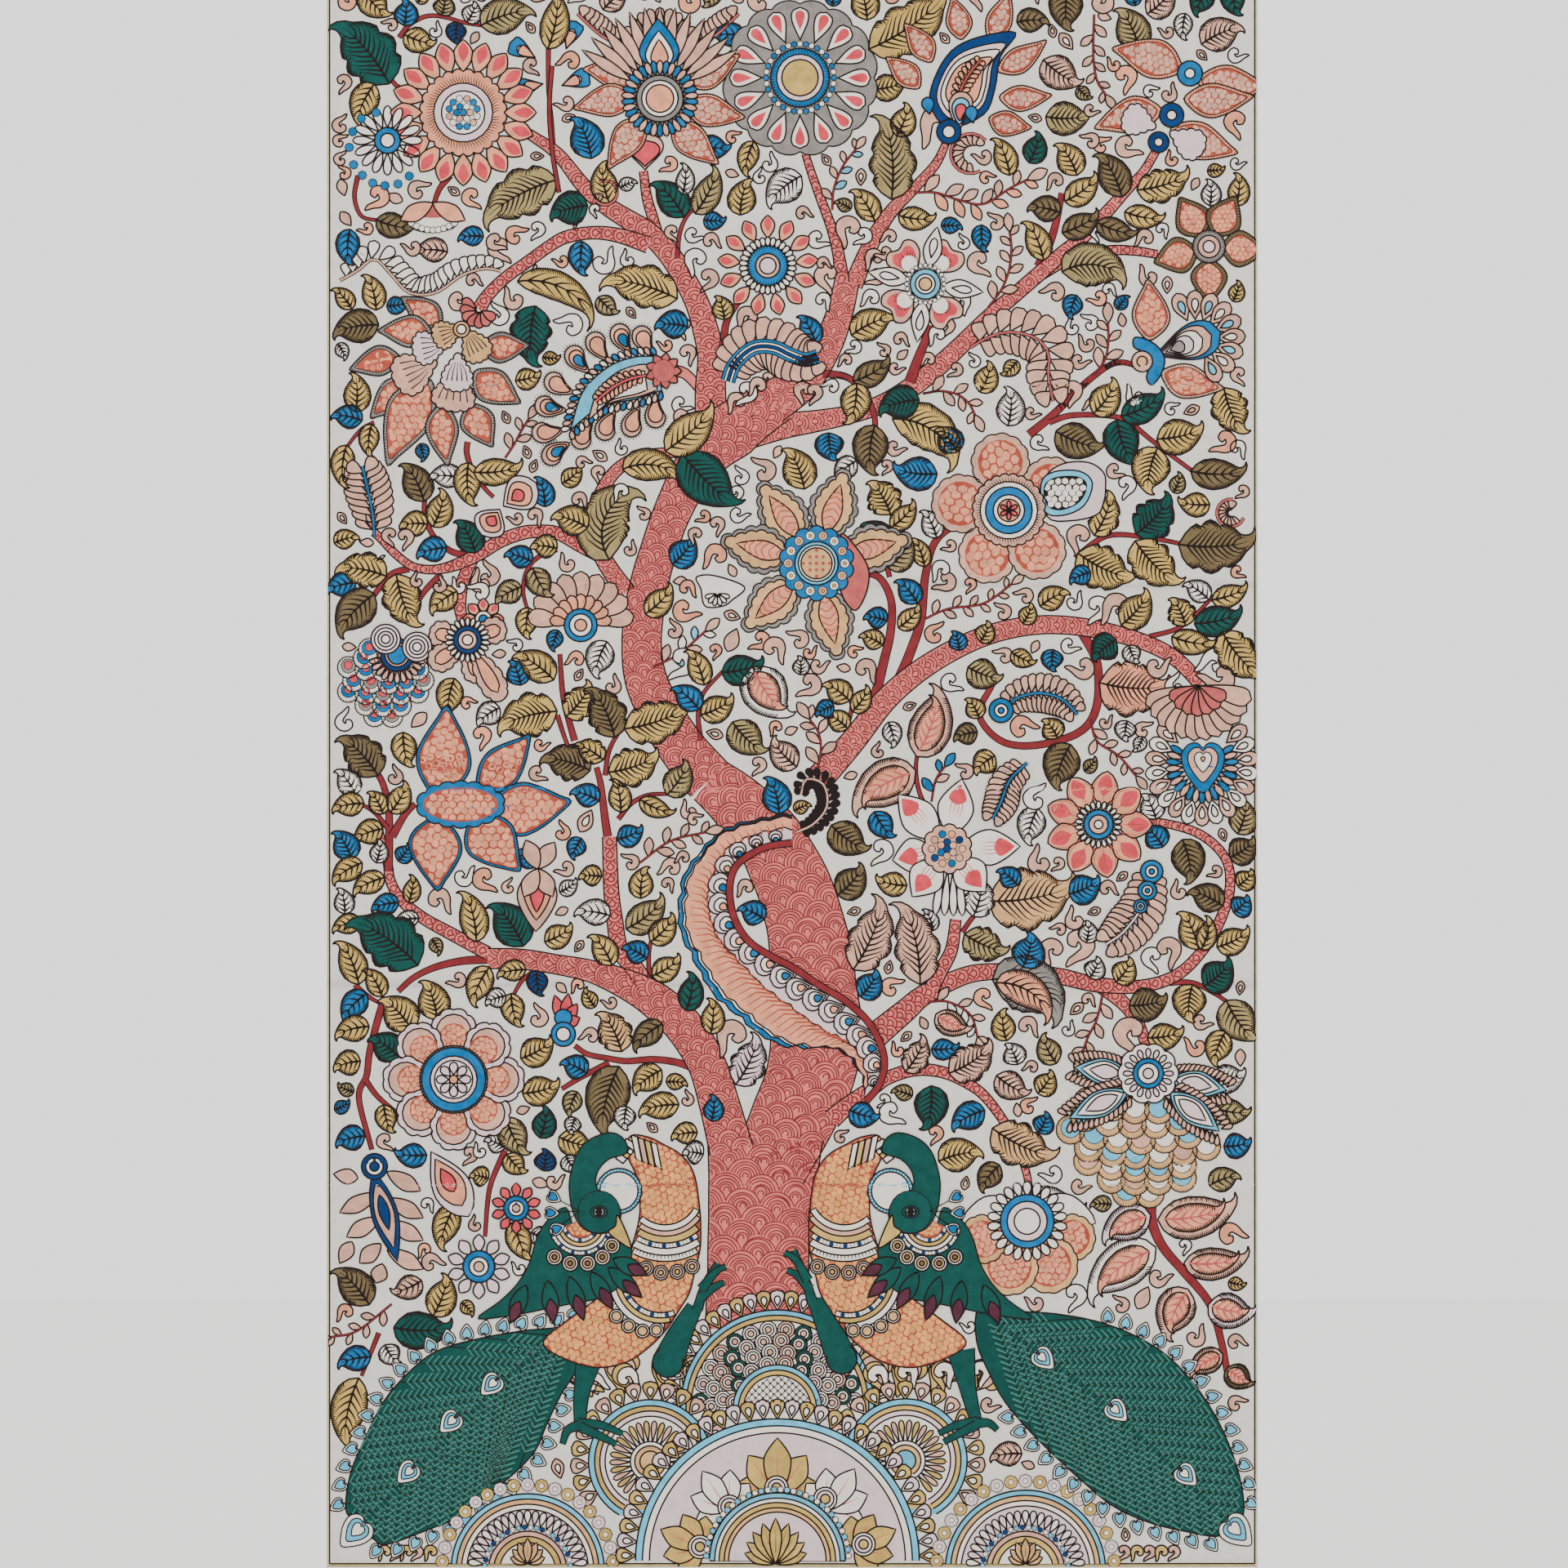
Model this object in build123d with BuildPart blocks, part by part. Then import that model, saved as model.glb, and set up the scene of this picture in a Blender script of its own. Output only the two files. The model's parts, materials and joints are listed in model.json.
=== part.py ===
"""A painted cotton wall panel, hemmed on all four sides and pressed into four sections.

Millimetres. The origin is on the back of the top hem, at the middle of the panel's width, where the panel
is held against a wall. +X is to the right as the painted side is seen, +Y points into the wall, +Z is up,
and the painted side faces -Y.

The panel is one woven sheet. It is divided here at its three pressed folds, because those are the lines on
which it folds away, and each section carries its own length of the side hems and of their sewing thread.
"""

import os

from build123d import *

# The sheet
panel_width = 1070.0
cloth_thickness = 0.4

# The panel was folded by hand, so its four sections, from the top down, are nearly but not quite equal
section_lengths = {"top": 471.0, "upper": 464.0, "lower": 455.0, "bottom": 440.0}

# A hem is the edge of the sheet turned over twice on to the back
hem_width = 8.0
hem_turns = 2
hem_edge_radius = 0.6

# The sewing thread lies in the furrow that it pulls into the hem, near the hem's inner edge
thread_width = 0.6
thread_depth = 0.3
thread_inset = 1.5

hem_thickness = hem_turns * cloth_thickness
panel_length = sum(section_lengths.values())
hem_inner_x = panel_width / 2 - hem_width

top_edge_z = hem_width / 2
bottom_edge_z = top_edge_z - panel_length
cloth_back_y = -hem_thickness

into_wall = Vector(0, 1, 0)


def write(builder, name):
    builder.part.label = name
    export_step(builder.part, f"parts/{name}.step")


def hem_plane(outward, middle):
    """The plane across a hem: x runs outwards from its inner edge, y runs back from the sheet."""
    return Plane(origin=middle, x_dir=outward, z_dir=outward.cross(into_wall))


os.makedirs("parts", exist_ok=True)

# Each run of hem: its name, the way out of the panel, the middle of its inner edge, and its length
hem_runs = [
    ("top", Vector(0, 0, 1), Vector(0, cloth_back_y, top_edge_z - hem_width), panel_width),
    ("bottom", Vector(0, 0, -1), Vector(0, cloth_back_y, bottom_edge_z + hem_width), panel_width),
]

section_bottom = top_edge_z
for section, section_length in section_lengths.items():
    section_top = section_bottom
    section_bottom = section_top - section_length

    # One section of the sheet
    with BuildPart() as cloth:
        with BuildSketch(Plane(origin=(0, cloth_back_y, section_top), z_dir=-into_wall, x_dir=(1, 0, 0))):
            Rectangle(panel_width, section_length, align=(Align.CENTER, Align.MAX))
        extrude(amount=cloth_thickness)
    write(cloth, f"cloth_{section}")

    # A side hem stops at the inner edge of the top or bottom hem
    hem_top = min(section_top, top_edge_z - hem_width)
    hem_bottom = max(section_bottom, bottom_edge_z + hem_width)
    for side, direction in (("left", -1), ("right", 1)):
        middle = Vector(direction * hem_inner_x, cloth_back_y, (hem_top + hem_bottom) / 2)
        hem_runs.append((f"{side}_{section}", Vector(direction, 0, 0), middle, hem_top - hem_bottom))

for run, outward, middle, length in hem_runs:
    # The turned edge, rolled where it folds over at the panel's edge
    with BuildPart() as hem:
        with BuildSketch(hem_plane(outward, middle)) as hem_section:
            Rectangle(hem_width, hem_thickness, align=(Align.MIN, Align.MIN))
            rolled_corner = hem_section.vertices().group_by(Axis.X)[-1].sort_by(Axis.Y)[-1]
            fillet(rolled_corner, hem_edge_radius)
            with Locations((thread_inset, hem_thickness)):
                Rectangle(thread_width, thread_depth, align=(Align.MIN, Align.MAX), mode=Mode.SUBTRACT)
        extrude(amount=length / 2, both=True)
    write(hem, f"hem_{run}")

    # The thread that holds it down
    with BuildPart() as thread:
        with BuildSketch(hem_plane(outward, middle)):
            with Locations((thread_inset, hem_thickness)):
                Rectangle(thread_width, thread_depth, align=(Align.MIN, Align.MAX))
        extrude(amount=length / 2, both=True)
    write(thread, f"hem_thread_{run}")
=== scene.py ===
"""Finishes the folding cotton wall panel: its cloth, hems and stitches, and the picture painted on it.

The picture is laid out in centimetres of cloth: x to the right from the middle of the panel, and h up from
its bottom edge. Every patch of dye and every pen line is a thin layer lying on the cloth, which waves a
little and is creased at its three pressed folds. Angles are in degrees, anticlockwise from x.
"""

import json
import math

import bpy
import numpy as np
from bpy.props import FloatProperty, FloatVectorProperty, IntProperty, PointerProperty
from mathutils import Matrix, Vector, geometry

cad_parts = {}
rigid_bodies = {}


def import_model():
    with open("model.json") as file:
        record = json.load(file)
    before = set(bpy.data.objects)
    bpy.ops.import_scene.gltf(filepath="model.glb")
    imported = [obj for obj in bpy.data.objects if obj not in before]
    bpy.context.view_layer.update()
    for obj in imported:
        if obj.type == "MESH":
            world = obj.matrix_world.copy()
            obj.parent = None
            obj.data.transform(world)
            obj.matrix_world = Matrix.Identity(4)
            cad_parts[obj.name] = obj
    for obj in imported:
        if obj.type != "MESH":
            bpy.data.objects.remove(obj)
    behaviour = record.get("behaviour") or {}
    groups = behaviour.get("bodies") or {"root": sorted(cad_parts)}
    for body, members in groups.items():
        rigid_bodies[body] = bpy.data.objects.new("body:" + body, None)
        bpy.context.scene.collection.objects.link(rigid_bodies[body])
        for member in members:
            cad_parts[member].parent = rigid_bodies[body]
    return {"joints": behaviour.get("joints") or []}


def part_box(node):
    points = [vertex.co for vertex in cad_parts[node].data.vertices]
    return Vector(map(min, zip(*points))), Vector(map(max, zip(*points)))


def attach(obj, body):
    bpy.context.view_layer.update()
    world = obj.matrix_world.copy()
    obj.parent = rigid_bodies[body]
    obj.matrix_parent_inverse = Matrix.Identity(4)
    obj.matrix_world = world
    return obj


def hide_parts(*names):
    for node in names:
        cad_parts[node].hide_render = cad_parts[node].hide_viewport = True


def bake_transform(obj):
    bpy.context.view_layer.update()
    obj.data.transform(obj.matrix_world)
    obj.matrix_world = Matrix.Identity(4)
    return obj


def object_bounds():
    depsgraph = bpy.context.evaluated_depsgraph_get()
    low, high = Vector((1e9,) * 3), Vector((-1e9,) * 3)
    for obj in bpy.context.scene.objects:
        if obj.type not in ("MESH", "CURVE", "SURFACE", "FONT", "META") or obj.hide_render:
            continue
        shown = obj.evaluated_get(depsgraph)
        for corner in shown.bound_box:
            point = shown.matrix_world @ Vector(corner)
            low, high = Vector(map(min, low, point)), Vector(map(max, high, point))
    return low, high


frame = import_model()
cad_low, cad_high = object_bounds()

bl_info = {
    "name": "Painted Tree Panel",
    "version": (1, 0, 0),
    "blender": (4, 5, 0),
    "location": "View3D > Sidebar > Panel",
    "description": "Finishes a folding cotton wall panel painted with a tree of life and two peacocks",
    "category": "Object",
}

CM = 0.01
MM = 0.001

sheet_low, sheet_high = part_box("cloth_top")
TOP_Z = sheet_high[2]
FRONT_Y = sheet_low[1]
BACK_Y = sheet_high[1]
HALF_W = sheet_high[0] / CM
PANEL_H = (cad_high[2] - cad_low[2]) / CM

# The pressed folds, from the top down: joint, the bodies above and below, and height on the cloth in cm
FOLDS = sorted(
    ((j["name"], j["parent"], j["child"], (j["pos_m"][2] - TOP_Z) / CM + PANEL_H) for j in frame["joints"]),
    key=lambda fold: -fold[3],
)
# 1 where the fold stands towards the viewer, -1 where it sinks back
FOLD_SENSE = (1, -1, 1)
# The cloth is made in one strip for each fold, and the strips meet halfway between folds
STRIP_EDGES = [PANEL_H, (FOLDS[0][3] + FOLDS[1][3]) / 2, (FOLDS[1][3] + FOLDS[2][3]) / 2, 0.0]


# ---------------------------------------------------------------------------------------------- settings

def dye(name, text, r, g, b):
    """A colour setting, given as it looks in daylight, 0 to 255."""
    return FloatVectorProperty(name=name, description=text, default=(r / 255, g / 255, b / 255),
                               subtype="COLOR_GAMMA", size=3, min=0.0, max=1.0)


class PanelCloth(bpy.types.PropertyGroup):
    """The cloth itself"""
    wave: FloatProperty(name="Wave", description="How far the hung cloth waves in and out, each way",
                        default=0.7 * MM, unit="LENGTH")
    fold_depth: FloatProperty(name="Fold depth", description="How far a pressed fold stands out or sinks",
                              default=1.3 * MM, unit="LENGTH")
    fold_reach: FloatProperty(name="Fold reach", description="How far from a fold the cloth still tilts",
                              default=12.0 * MM, unit="LENGTH")
    stitch_length: FloatProperty(name="Stitch length", description="Length of one hem stitch",
                                 default=3.0 * MM, unit="LENGTH")
    stitch_gap: FloatProperty(name="Stitch gap", description="Gap between hem stitches", default=0.9 * MM,
                              unit="LENGTH")


class PanelPen(bpy.types.PropertyGroup):
    """The pen"""
    line: FloatProperty(name="Pen line", description="Width of a drawn line", default=1.9 * MM, unit="LENGTH")
    seed: IntProperty(name="Seed", description="Seed for the unevenness of the hand", default=7)


class PanelDyes(bpy.types.PropertyGroup):
    """The dyes, as colours on the cloth"""
    cloth: dye("Cloth", "Cotton steeped in milk and myrobalan", 208, 203, 192)
    hem: dye("Hem", "Turned edge, a little darker than the cloth", 203, 193, 172)
    thread: dye("Thread", "Sewing thread", 206, 190, 160)
    line: dye("Line", "Iron black of the pen", 30, 23, 22)
    border: dye("Border", "Khaki edge band", 170, 152, 100)
    rose: dye("Rose", "Brick-rose madder of the trunk", 176, 84, 80)
    scale: dye("Scale", "Rose of the trunk's scales", 198, 106, 98)
    twig: dye("Twig", "Dark rose of the thin branches", 120, 40, 44)
    ochre: dye("Ochre", "Ochre of the leaves", 184, 152, 84)
    sand: dye("Sand", "Warm pale ochre", 198, 154, 104)
    olive: dye("Olive", "Olive of the broad leaves", 146, 128, 84)
    brown: dye("Brown", "Olive brown of the leaves", 104, 88, 60)
    green: dye("Green", "Dark green", 16, 70, 64)
    jade: dye("Jade", "Paler green of the feathers", 54, 108, 98)
    blue: dye("Blue", "Indigo blue", 16, 100, 152)
    navy: dye("Navy", "Deep indigo", 14, 52, 100)
    sky: dye("Sky", "Thin indigo", 92, 172, 200)
    beige: dye("Beige", "Pinkish beige of the curls", 198, 152, 130)
    salmon: dye("Salmon", "Salmon of the petals", 214, 142, 110)
    brick: dye("Brick", "Red-brown of the honeycomb lines", 158, 70, 54)
    red: dye("Red", "Madder red of the petal tips", 196, 66, 74)
    mauve: dye("Mauve", "Pale mauve", 208, 184, 186)
    cream: dye("Cream", "Bare cloth within a flower", 222, 214, 202)
    grey: dye("Grey", "Grey of petal borders", 126, 120, 114)
    orange: dye("Orange", "Yellow orange of the peacocks", 214, 150, 88)
    maroon: dye("Maroon", "Maroon of the wing tips", 78, 38, 52)


GROUPS = {"panel_cloth": PanelCloth, "panel_pen": PanelPen, "panel_dyes": PanelDyes}


def cloth_settings():
    return bpy.context.scene.panel_cloth


def pen_cm():
    return bpy.context.scene.panel_pen.line / CM


# ------------------------------------------------------------------------------------- the cloth's surface

def surface_y(x, h):
    """The cloth's front, in metres: slow waves, and a tilt into each pressed fold."""
    cloth = cloth_settings()
    drift = (np.sin(x * 0.21 + 0.6 * np.sin(h * 0.07)) + 0.8 * np.sin(h * 0.16 + x * 0.05 + 1.3)
             + 0.5 * np.sin(x * 0.09 - h * 0.24))
    y = FRONT_Y - cloth.wave * drift / 2.3
    for sense, (_, _, _, fold_h) in zip(FOLD_SENSE, FOLDS):
        away = np.abs(h - fold_h) * CM / cloth.fold_reach
        y = y - sense * cloth.fold_depth * np.exp(-np.sqrt(away ** 2 + 0.02))
    return y


def lay_on_cloth(points, lift_mm):
    """Places on the cloth, and lifts off it, as points in the frame."""
    x = points[:, 0]
    h = points[:, 1]
    y = surface_y(x, h) - lift_mm * MM
    return np.column_stack([x * CM, y, TOP_Z + (h - PANEL_H) * CM])


def near_a_fold(h, reach=2.0):
    return np.min([np.abs(h - fold[3]) for fold in FOLDS], axis=0) < reach


def split_faces(points, extra, faces, wanted):
    """Cuts each wanted triangle into four."""
    keep = faces[~wanted]
    cut = faces[wanted]
    edges = np.sort(np.vstack([cut[:, [0, 1]], cut[:, [1, 2]], cut[:, [2, 0]]]), axis=1)
    unique, inverse = np.unique(edges, axis=0, return_inverse=True)
    inverse = inverse.reshape(-1)
    middle = (points[unique[:, 0]] + points[unique[:, 1]]) / 2
    middle_extra = (extra[unique[:, 0]] + extra[unique[:, 1]]) / 2
    ab, bc, ca = np.split(inverse + len(points), 3)
    a, b, c = cut.T
    new = np.vstack([np.column_stack(t) for t in ((a, ab, ca), (ab, b, bc), (ca, bc, c), (ab, bc, ca))])
    return np.vstack([points, middle]), np.vstack([extra, middle_extra]), np.vstack([keep, new])


def fit_to_cloth(points, extra, faces):
    """Cuts triangles that are too long to follow the cloth's waves, and shorter ones beside a fold."""
    for _ in range(6):
        corners = points[faces]
        tall = np.ptp(corners[:, :, 1], axis=1)
        wide = np.ptp(corners[:, :, 0], axis=1)
        beside = near_a_fold(corners[:, :, 1].mean(axis=1))
        wanted = (np.maximum(tall, wide) > 2.4) | (beside & (tall > 0.45))
        if not wanted.any():
            break
        points, extra, faces = split_faces(points, extra, faces, wanted)
    return points, extra, faces


# ------------------------------------------------------------------------------------------ lines and shapes

def curve(points, closed=False, per=6):
    """A smooth line through the points."""
    p = np.asarray(points, float)
    if closed:
        p = np.vstack([p[-1], p, p[:2]])
    else:
        p = np.vstack([2 * p[0] - p[1], p, 2 * p[-1] - p[-2]])
    t = np.linspace(0, 1, per, endpoint=False)[:, None]
    spans = [
        0.5 * (2 * b + (c - a) * t + (2 * a - 5 * b + 4 * c - d) * t ** 2 + (3 * b - a - 3 * c + d) * t ** 3)
        for a, b, c, d in zip(p, p[1:], p[2:], p[3:])
    ]
    if not closed:
        spans.append(p[-2:-1])
    return np.vstack(spans)


def lengths(path):
    """Distance along a line at each of its points."""
    return np.concatenate([[0], np.cumsum(np.hypot(*np.diff(path, axis=0).T))])


def evenly(path, step=None, count=None):
    """The same line with its points evenly spaced."""
    s = lengths(path)
    if count is None:
        count = max(2, int(round(s[-1] / step)) + 1)
    at = np.linspace(0, s[-1], count)
    return np.column_stack([np.interp(at, s, path[:, 0]), np.interp(at, s, path[:, 1])])


def normals(path):
    """The direction to the left of a line at each of its points."""
    along = np.gradient(path, axis=-2)
    along = along / np.maximum(np.linalg.norm(along, axis=-1, keepdims=True), 1e-9)
    return np.stack([-along[..., 1], along[..., 0]], axis=-1)


def arc(r, start=0, end=360, count=None, x=0, h=0, squash=1.0):
    """Points on a circle, or on part of one."""
    if count is None:
        count = max(5, int(abs(end - start) / 360 * (10 + 7 * r ** 0.5)) + 1)
    a = np.radians(np.linspace(start, end, count))
    return np.column_stack([x + r * np.cos(a), h + r * squash * np.sin(a)])


def disc_outline(r, count=None, x=0, h=0, squash=1.0):
    return arc(r, 0, 360, count, x, h, squash)[:-1]


def bud(length, width, fat=0.6, tip=0.0, count=13):
    """A teardrop from the origin along x. fat is where it is widest, and tip draws its far end to a point."""
    t = np.linspace(0, 1, count)
    rise = np.where(t < fat, np.sin(np.pi / 2 * (t / fat) ** (1.2 - 0.4 * tip)),
                    np.sqrt(np.clip(1 - ((t - fat) / (1 - fat)) ** 2, 0, 1)))
    point = np.where(t < fat, 1, 1 - (np.maximum(t - fat, 0) / (1 - fat)) ** 1.5)
    half = width / 2 * (rise * (1 - tip) + np.minimum(rise, point) * tip)
    upper = np.column_stack([t * length, half])
    lower = np.column_stack([t * length, -half])
    return np.vstack([lower, upper[-2:0:-1]])


def moved(points, x=0, h=0, turn=0, size=1.0):
    a = math.radians(turn)
    c, s = math.cos(a) * size, math.sin(a) * size
    points = np.asarray(points, float)
    return np.stack([x + points[..., 0] * c - points[..., 1] * s,
                     h + points[..., 0] * s + points[..., 1] * c], axis=-1)


def inside(points, outline):
    """Which points lie within a closed outline."""
    x, h = points[..., 0], points[..., 1]
    result = np.zeros(x.shape, bool)
    for (x0, h0), (x1, h1) in zip(outline, np.roll(outline, -1, axis=0)):
        crosses = (h0 > h) != (h1 > h)
        with np.errstate(divide="ignore", invalid="ignore"):
            result ^= crosses & (x < (x1 - x0) * (h - h0) / (h1 - h0) + x0)
    return result


def shrunk(outline, by):
    """A closed outline drawn in by a distance, for an anticlockwise outline."""
    before = np.roll(outline, 1, axis=0)
    after = np.roll(outline, -1, axis=0)
    along = after - before
    along = along / np.maximum(np.linalg.norm(along, axis=1, keepdims=True), 1e-9)
    return outline + by * np.column_stack([-along[:, 1], along[:, 0]])


def anticlockwise(outline):
    x, h = outline[:, 0], outline[:, 1]
    area = np.sum(x * np.roll(h, -1) - np.roll(x, -1) * h)
    return outline if area > 0 else outline[::-1]


def scalloped(outline, bumps, depth):
    """A closed outline with rounded lobes standing out along it."""
    even = evenly(np.vstack([outline, outline[:1]]), count=bumps * 6 + 1)[:-1]
    even = anticlockwise(even)
    lobe = np.abs(np.sin(np.pi * np.arange(len(even)) / 6)) ** 0.7
    return shrunk(even, 0.0) - (shrunk(even, 1.0) - even) * (lobe * depth)[:, None]


# ------------------------------------------------------------------------------------------- the painting

BOLD = 0.17  # cm, the width of a bold outline
CELL = 0.4  # cm, the side of one cell of COVER
COVER = np.zeros((int(2 * HALF_W / CELL) + 2, int(PANEL_H / CELL) + 2), bool)


def mark_cover(points, faces):
    """Notes which cells of the panel are painted, for the curls that fill what is left."""
    a, b, c = (points[faces[:, k]] for k in range(3))
    longest = max(np.abs(b - a).max(), np.abs(c - a).max(), np.abs(c - b).max())
    steps = min(40, int(np.ceil(longest / CELL)) + 1)
    for i in range(steps + 1):
        for j in range(steps + 1 - i):
            spot = a + (b - a) * (i / steps) + (c - a) * (j / steps)
            column, row = ((spot + (HALF_W, 0)) / CELL).astype(int).T
            COVER[column.clip(0, COVER.shape[0] - 1), row.clip(0, COVER.shape[1] - 1)] = True


def refined(points, faces, tone, limit=1.3):
    """Halves the longest side of each triangle until all are short, so that dye follows the cloth."""
    while True:
        corners = points[faces]
        sides = np.linalg.norm(corners - np.roll(corners, -1, axis=1), axis=2)
        long = sides.max(axis=1) > limit
        if not long.any():
            return points, faces, tone
        rows = np.arange(long.sum())
        split, k = faces[long], sides.argmax(axis=1)[long]
        a, b, c = (split[rows, (k + i) % 3] for i in range(3))
        middle = len(points) + rows
        points = np.vstack([points, (points[a] + points[b]) / 2])
        tone = np.append(tone, (tone[a] + tone[b]) / 2)
        faces = np.vstack([faces[~long], np.column_stack([a, middle, c]), np.column_stack([middle, b, c])])


class Painting:
    """One group of motifs. Each dye of the group, and its pen lines, gather in a mesh of their own."""

    LEVELS = 10
    LEVEL_MM = 0.02

    def __init__(self, group, lift_mm):
        self.group = group
        self.floor = lift_mm
        self.level = 0
        self.lift = lift_mm
        self.mirror = None
        self.dyes = {}
        self.random = np.random.default_rng(bpy.context.scene.panel_pen.seed + len(group))
        self.at()

    def at(self, x=0, h=0, turn=0, size=1.0, flip=False):
        """Sets the axes in which what follows is drawn."""
        a = math.radians(turn)
        c, s = math.cos(a) * size, math.sin(a) * size
        self.matrix = np.array([[c, -s], [s, c]])
        if flip:
            self.matrix = self.matrix @ np.diag([1, -1])
        self.origin = np.array([x, h])
        return self

    def start(self, height=None):
        """Starts a motif on the next layer up, or at its own height over the group's lowest."""
        self.level = (self.level + 1) % self.LEVELS
        self.lift = self.floor + (self.level * self.LEVEL_MM if height is None else height)

    def put(self, dye_name, points, faces, tone):
        """Adds triangles to a dye. tone is 0 where the dye is thin and 1 where it has pooled."""
        points = np.asarray(points, float) @ self.matrix.T + self.origin
        turned_over = np.linalg.det(self.matrix) < 0
        if self.mirror is not None:
            points = np.column_stack([2 * self.mirror - points[:, 0], points[:, 1]])
            turned_over = not turned_over
        points = points.clip((-HALF_W + 0.15, 0.1), (HALF_W - 0.15, PANEL_H - 0.1))
        faces = np.asarray(faces)
        a, b, c = (points[faces[:, k]] for k in range(3))
        u, v = b - a, c - a
        faces = faces[np.abs(u[:, 0] * v[:, 1] - u[:, 1] * v[:, 0]) > 1e-7]
        if not len(faces):
            return
        mark_cover(points, faces)
        if turned_over:
            faces = faces[:, ::-1]
        points, faces, tone = refined(points, faces, np.broadcast_to(tone, len(points)))
        store = self.dyes.setdefault(dye_name, {"points": [], "extra": [], "faces": [], "count": 0})
        store["points"].append(points)
        store["extra"].append(np.column_stack([np.full(len(points), self.lift), tone]))
        store["faces"].append(faces + store["count"])
        store["count"] += len(points)

    def patch(self, outline, dye_name, tone=None):
        """A filled shape."""
        outline = anticlockwise(np.asarray(outline, float))
        ring = list(range(len(outline)))
        points, _, faces, *_ = geometry.delaunay_2d_cdt(
            [Vector(p) for p in outline], [], [ring], 1, 1e-5)
        triangles = [(f[0], f[i], f[i + 1]) for f in faces for i in range(1, len(f) - 1)]
        if not triangles:
            return
        triangles = np.array(triangles)
        points = np.array([(p.x, p.y) for p in points])
        a, b, c = (points[triangles[:, i]] for i in range(3))
        u, v = b - a, c - a
        clockwise = u[:, 0] * v[:, 1] < u[:, 1] * v[:, 0]
        triangles[clockwise] = triangles[clockwise][:, ::-1]
        self.put(dye_name, points, triangles, self.random.random() if tone is None else tone)
        self.lift += 0.004

    def line(self, path, width=None, dye_name="line"):
        """A pen line, or many at once: path is one line's points, or a stack of lines of equal count."""
        paths = np.asarray(path, float)
        if paths.ndim == 2:
            paths = paths[None]
        lines, count, _ = paths.shape
        width = pen_cm() if width is None else width
        half = np.broadcast_to(width, (lines, count)) / 2
        side = normals(paths) * half[..., None]
        points = np.concatenate([paths + side, paths - side], axis=1).reshape(-1, 2)
        i = np.arange(count - 1)
        one = np.vstack([np.column_stack([count + i, count + i + 1, i + 1]),
                         np.column_stack([count + i, i + 1, i])])
        faces = (one[None] + (np.arange(lines) * 2 * count)[:, None, None]).reshape(-1, 3)
        self.lift += 0.002
        self.put(dye_name, points, faces, 0.5)
        self.lift += 0.002

    def ring(self, outline, width=None, dye_name="line"):
        """A closed pen line."""
        outline = np.asarray(outline, float)
        self.line(np.vstack([outline, outline[:2]]), width, dye_name)

    def drawn(self, outline, dye_name, width=None, tone=None):
        """A filled shape with a pen line round it."""
        self.patch(outline, dye_name, tone)
        self.ring(outline, width)

    def disc(self, r, dye_name, x=0, h=0, width=None, count=None, squash=1.0):
        self.drawn(disc_outline(r, count, x, h, squash), dye_name, width)

    def beads(self, centres, r, dyes, eye=None, width=0.1):
        """Round beads along a line of centres, in turn of the dyes."""
        for i, (x, h) in enumerate(centres):
            self.drawn(disc_outline(r, 9, x, h), dyes[i % len(dyes)], width)
            if eye:
                self.drawn(disc_outline(r * 0.42, 7, x, h), eye, width * 0.8)

    def hatch(self, path, length, spacing=0.28, width=0.1, lean=0.35, side=1, uneven=0.25):
        """Short strokes that start on a line and run off it to one side, thinning to nothing."""
        feet = evenly(path, step=spacing)
        out = normals(feet) * side
        along = np.column_stack([out[:, 1], -out[:, 0]]) * side
        reach = length * (1 + uneven * (self.random.random(len(feet)) - 0.5))
        tips = feet + out * reach[:, None] + along * (lean * reach)[:, None]
        middle = (feet + tips) / 2 + along * (0.12 * reach)[:, None]
        self.line(np.stack([feet, middle, tips], axis=1), np.array([width, width * 0.8, width * 0.15]))

    def finish(self):
        """Makes the meshes: one for each dye and fold of the cloth."""
        made = []
        for dye_name, store in self.dyes.items():
            points = np.vstack(store["points"])
            extra = np.vstack(store["extra"])
            faces = np.vstack(store["faces"])
            points, extra, faces = fit_to_cloth(points, extra, faces)
            middle = points[faces][:, :, 1].mean(axis=1)
            for (fold, above, below, fold_h), high, low in zip(FOLDS, STRIP_EDGES, STRIP_EDGES[1:]):
                chosen = faces[(middle <= high + (high == PANEL_H)) & (middle > low - (low == 0))]
                if not len(chosen):
                    continue
                used, index = np.unique(chosen, return_inverse=True)
                name = f"{self.group}_{dye_name}_{fold}"
                piece = make_mesh(name, lay_on_cloth(points[used], extra[used, 0]), index.reshape(-1, 3),
                                  points[used], extra[used, 1])
                piece.data.materials.append(dye_material(dye_name))
                bend(piece, above, below, fold_h)
                made.append(piece)
        return made


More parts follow.
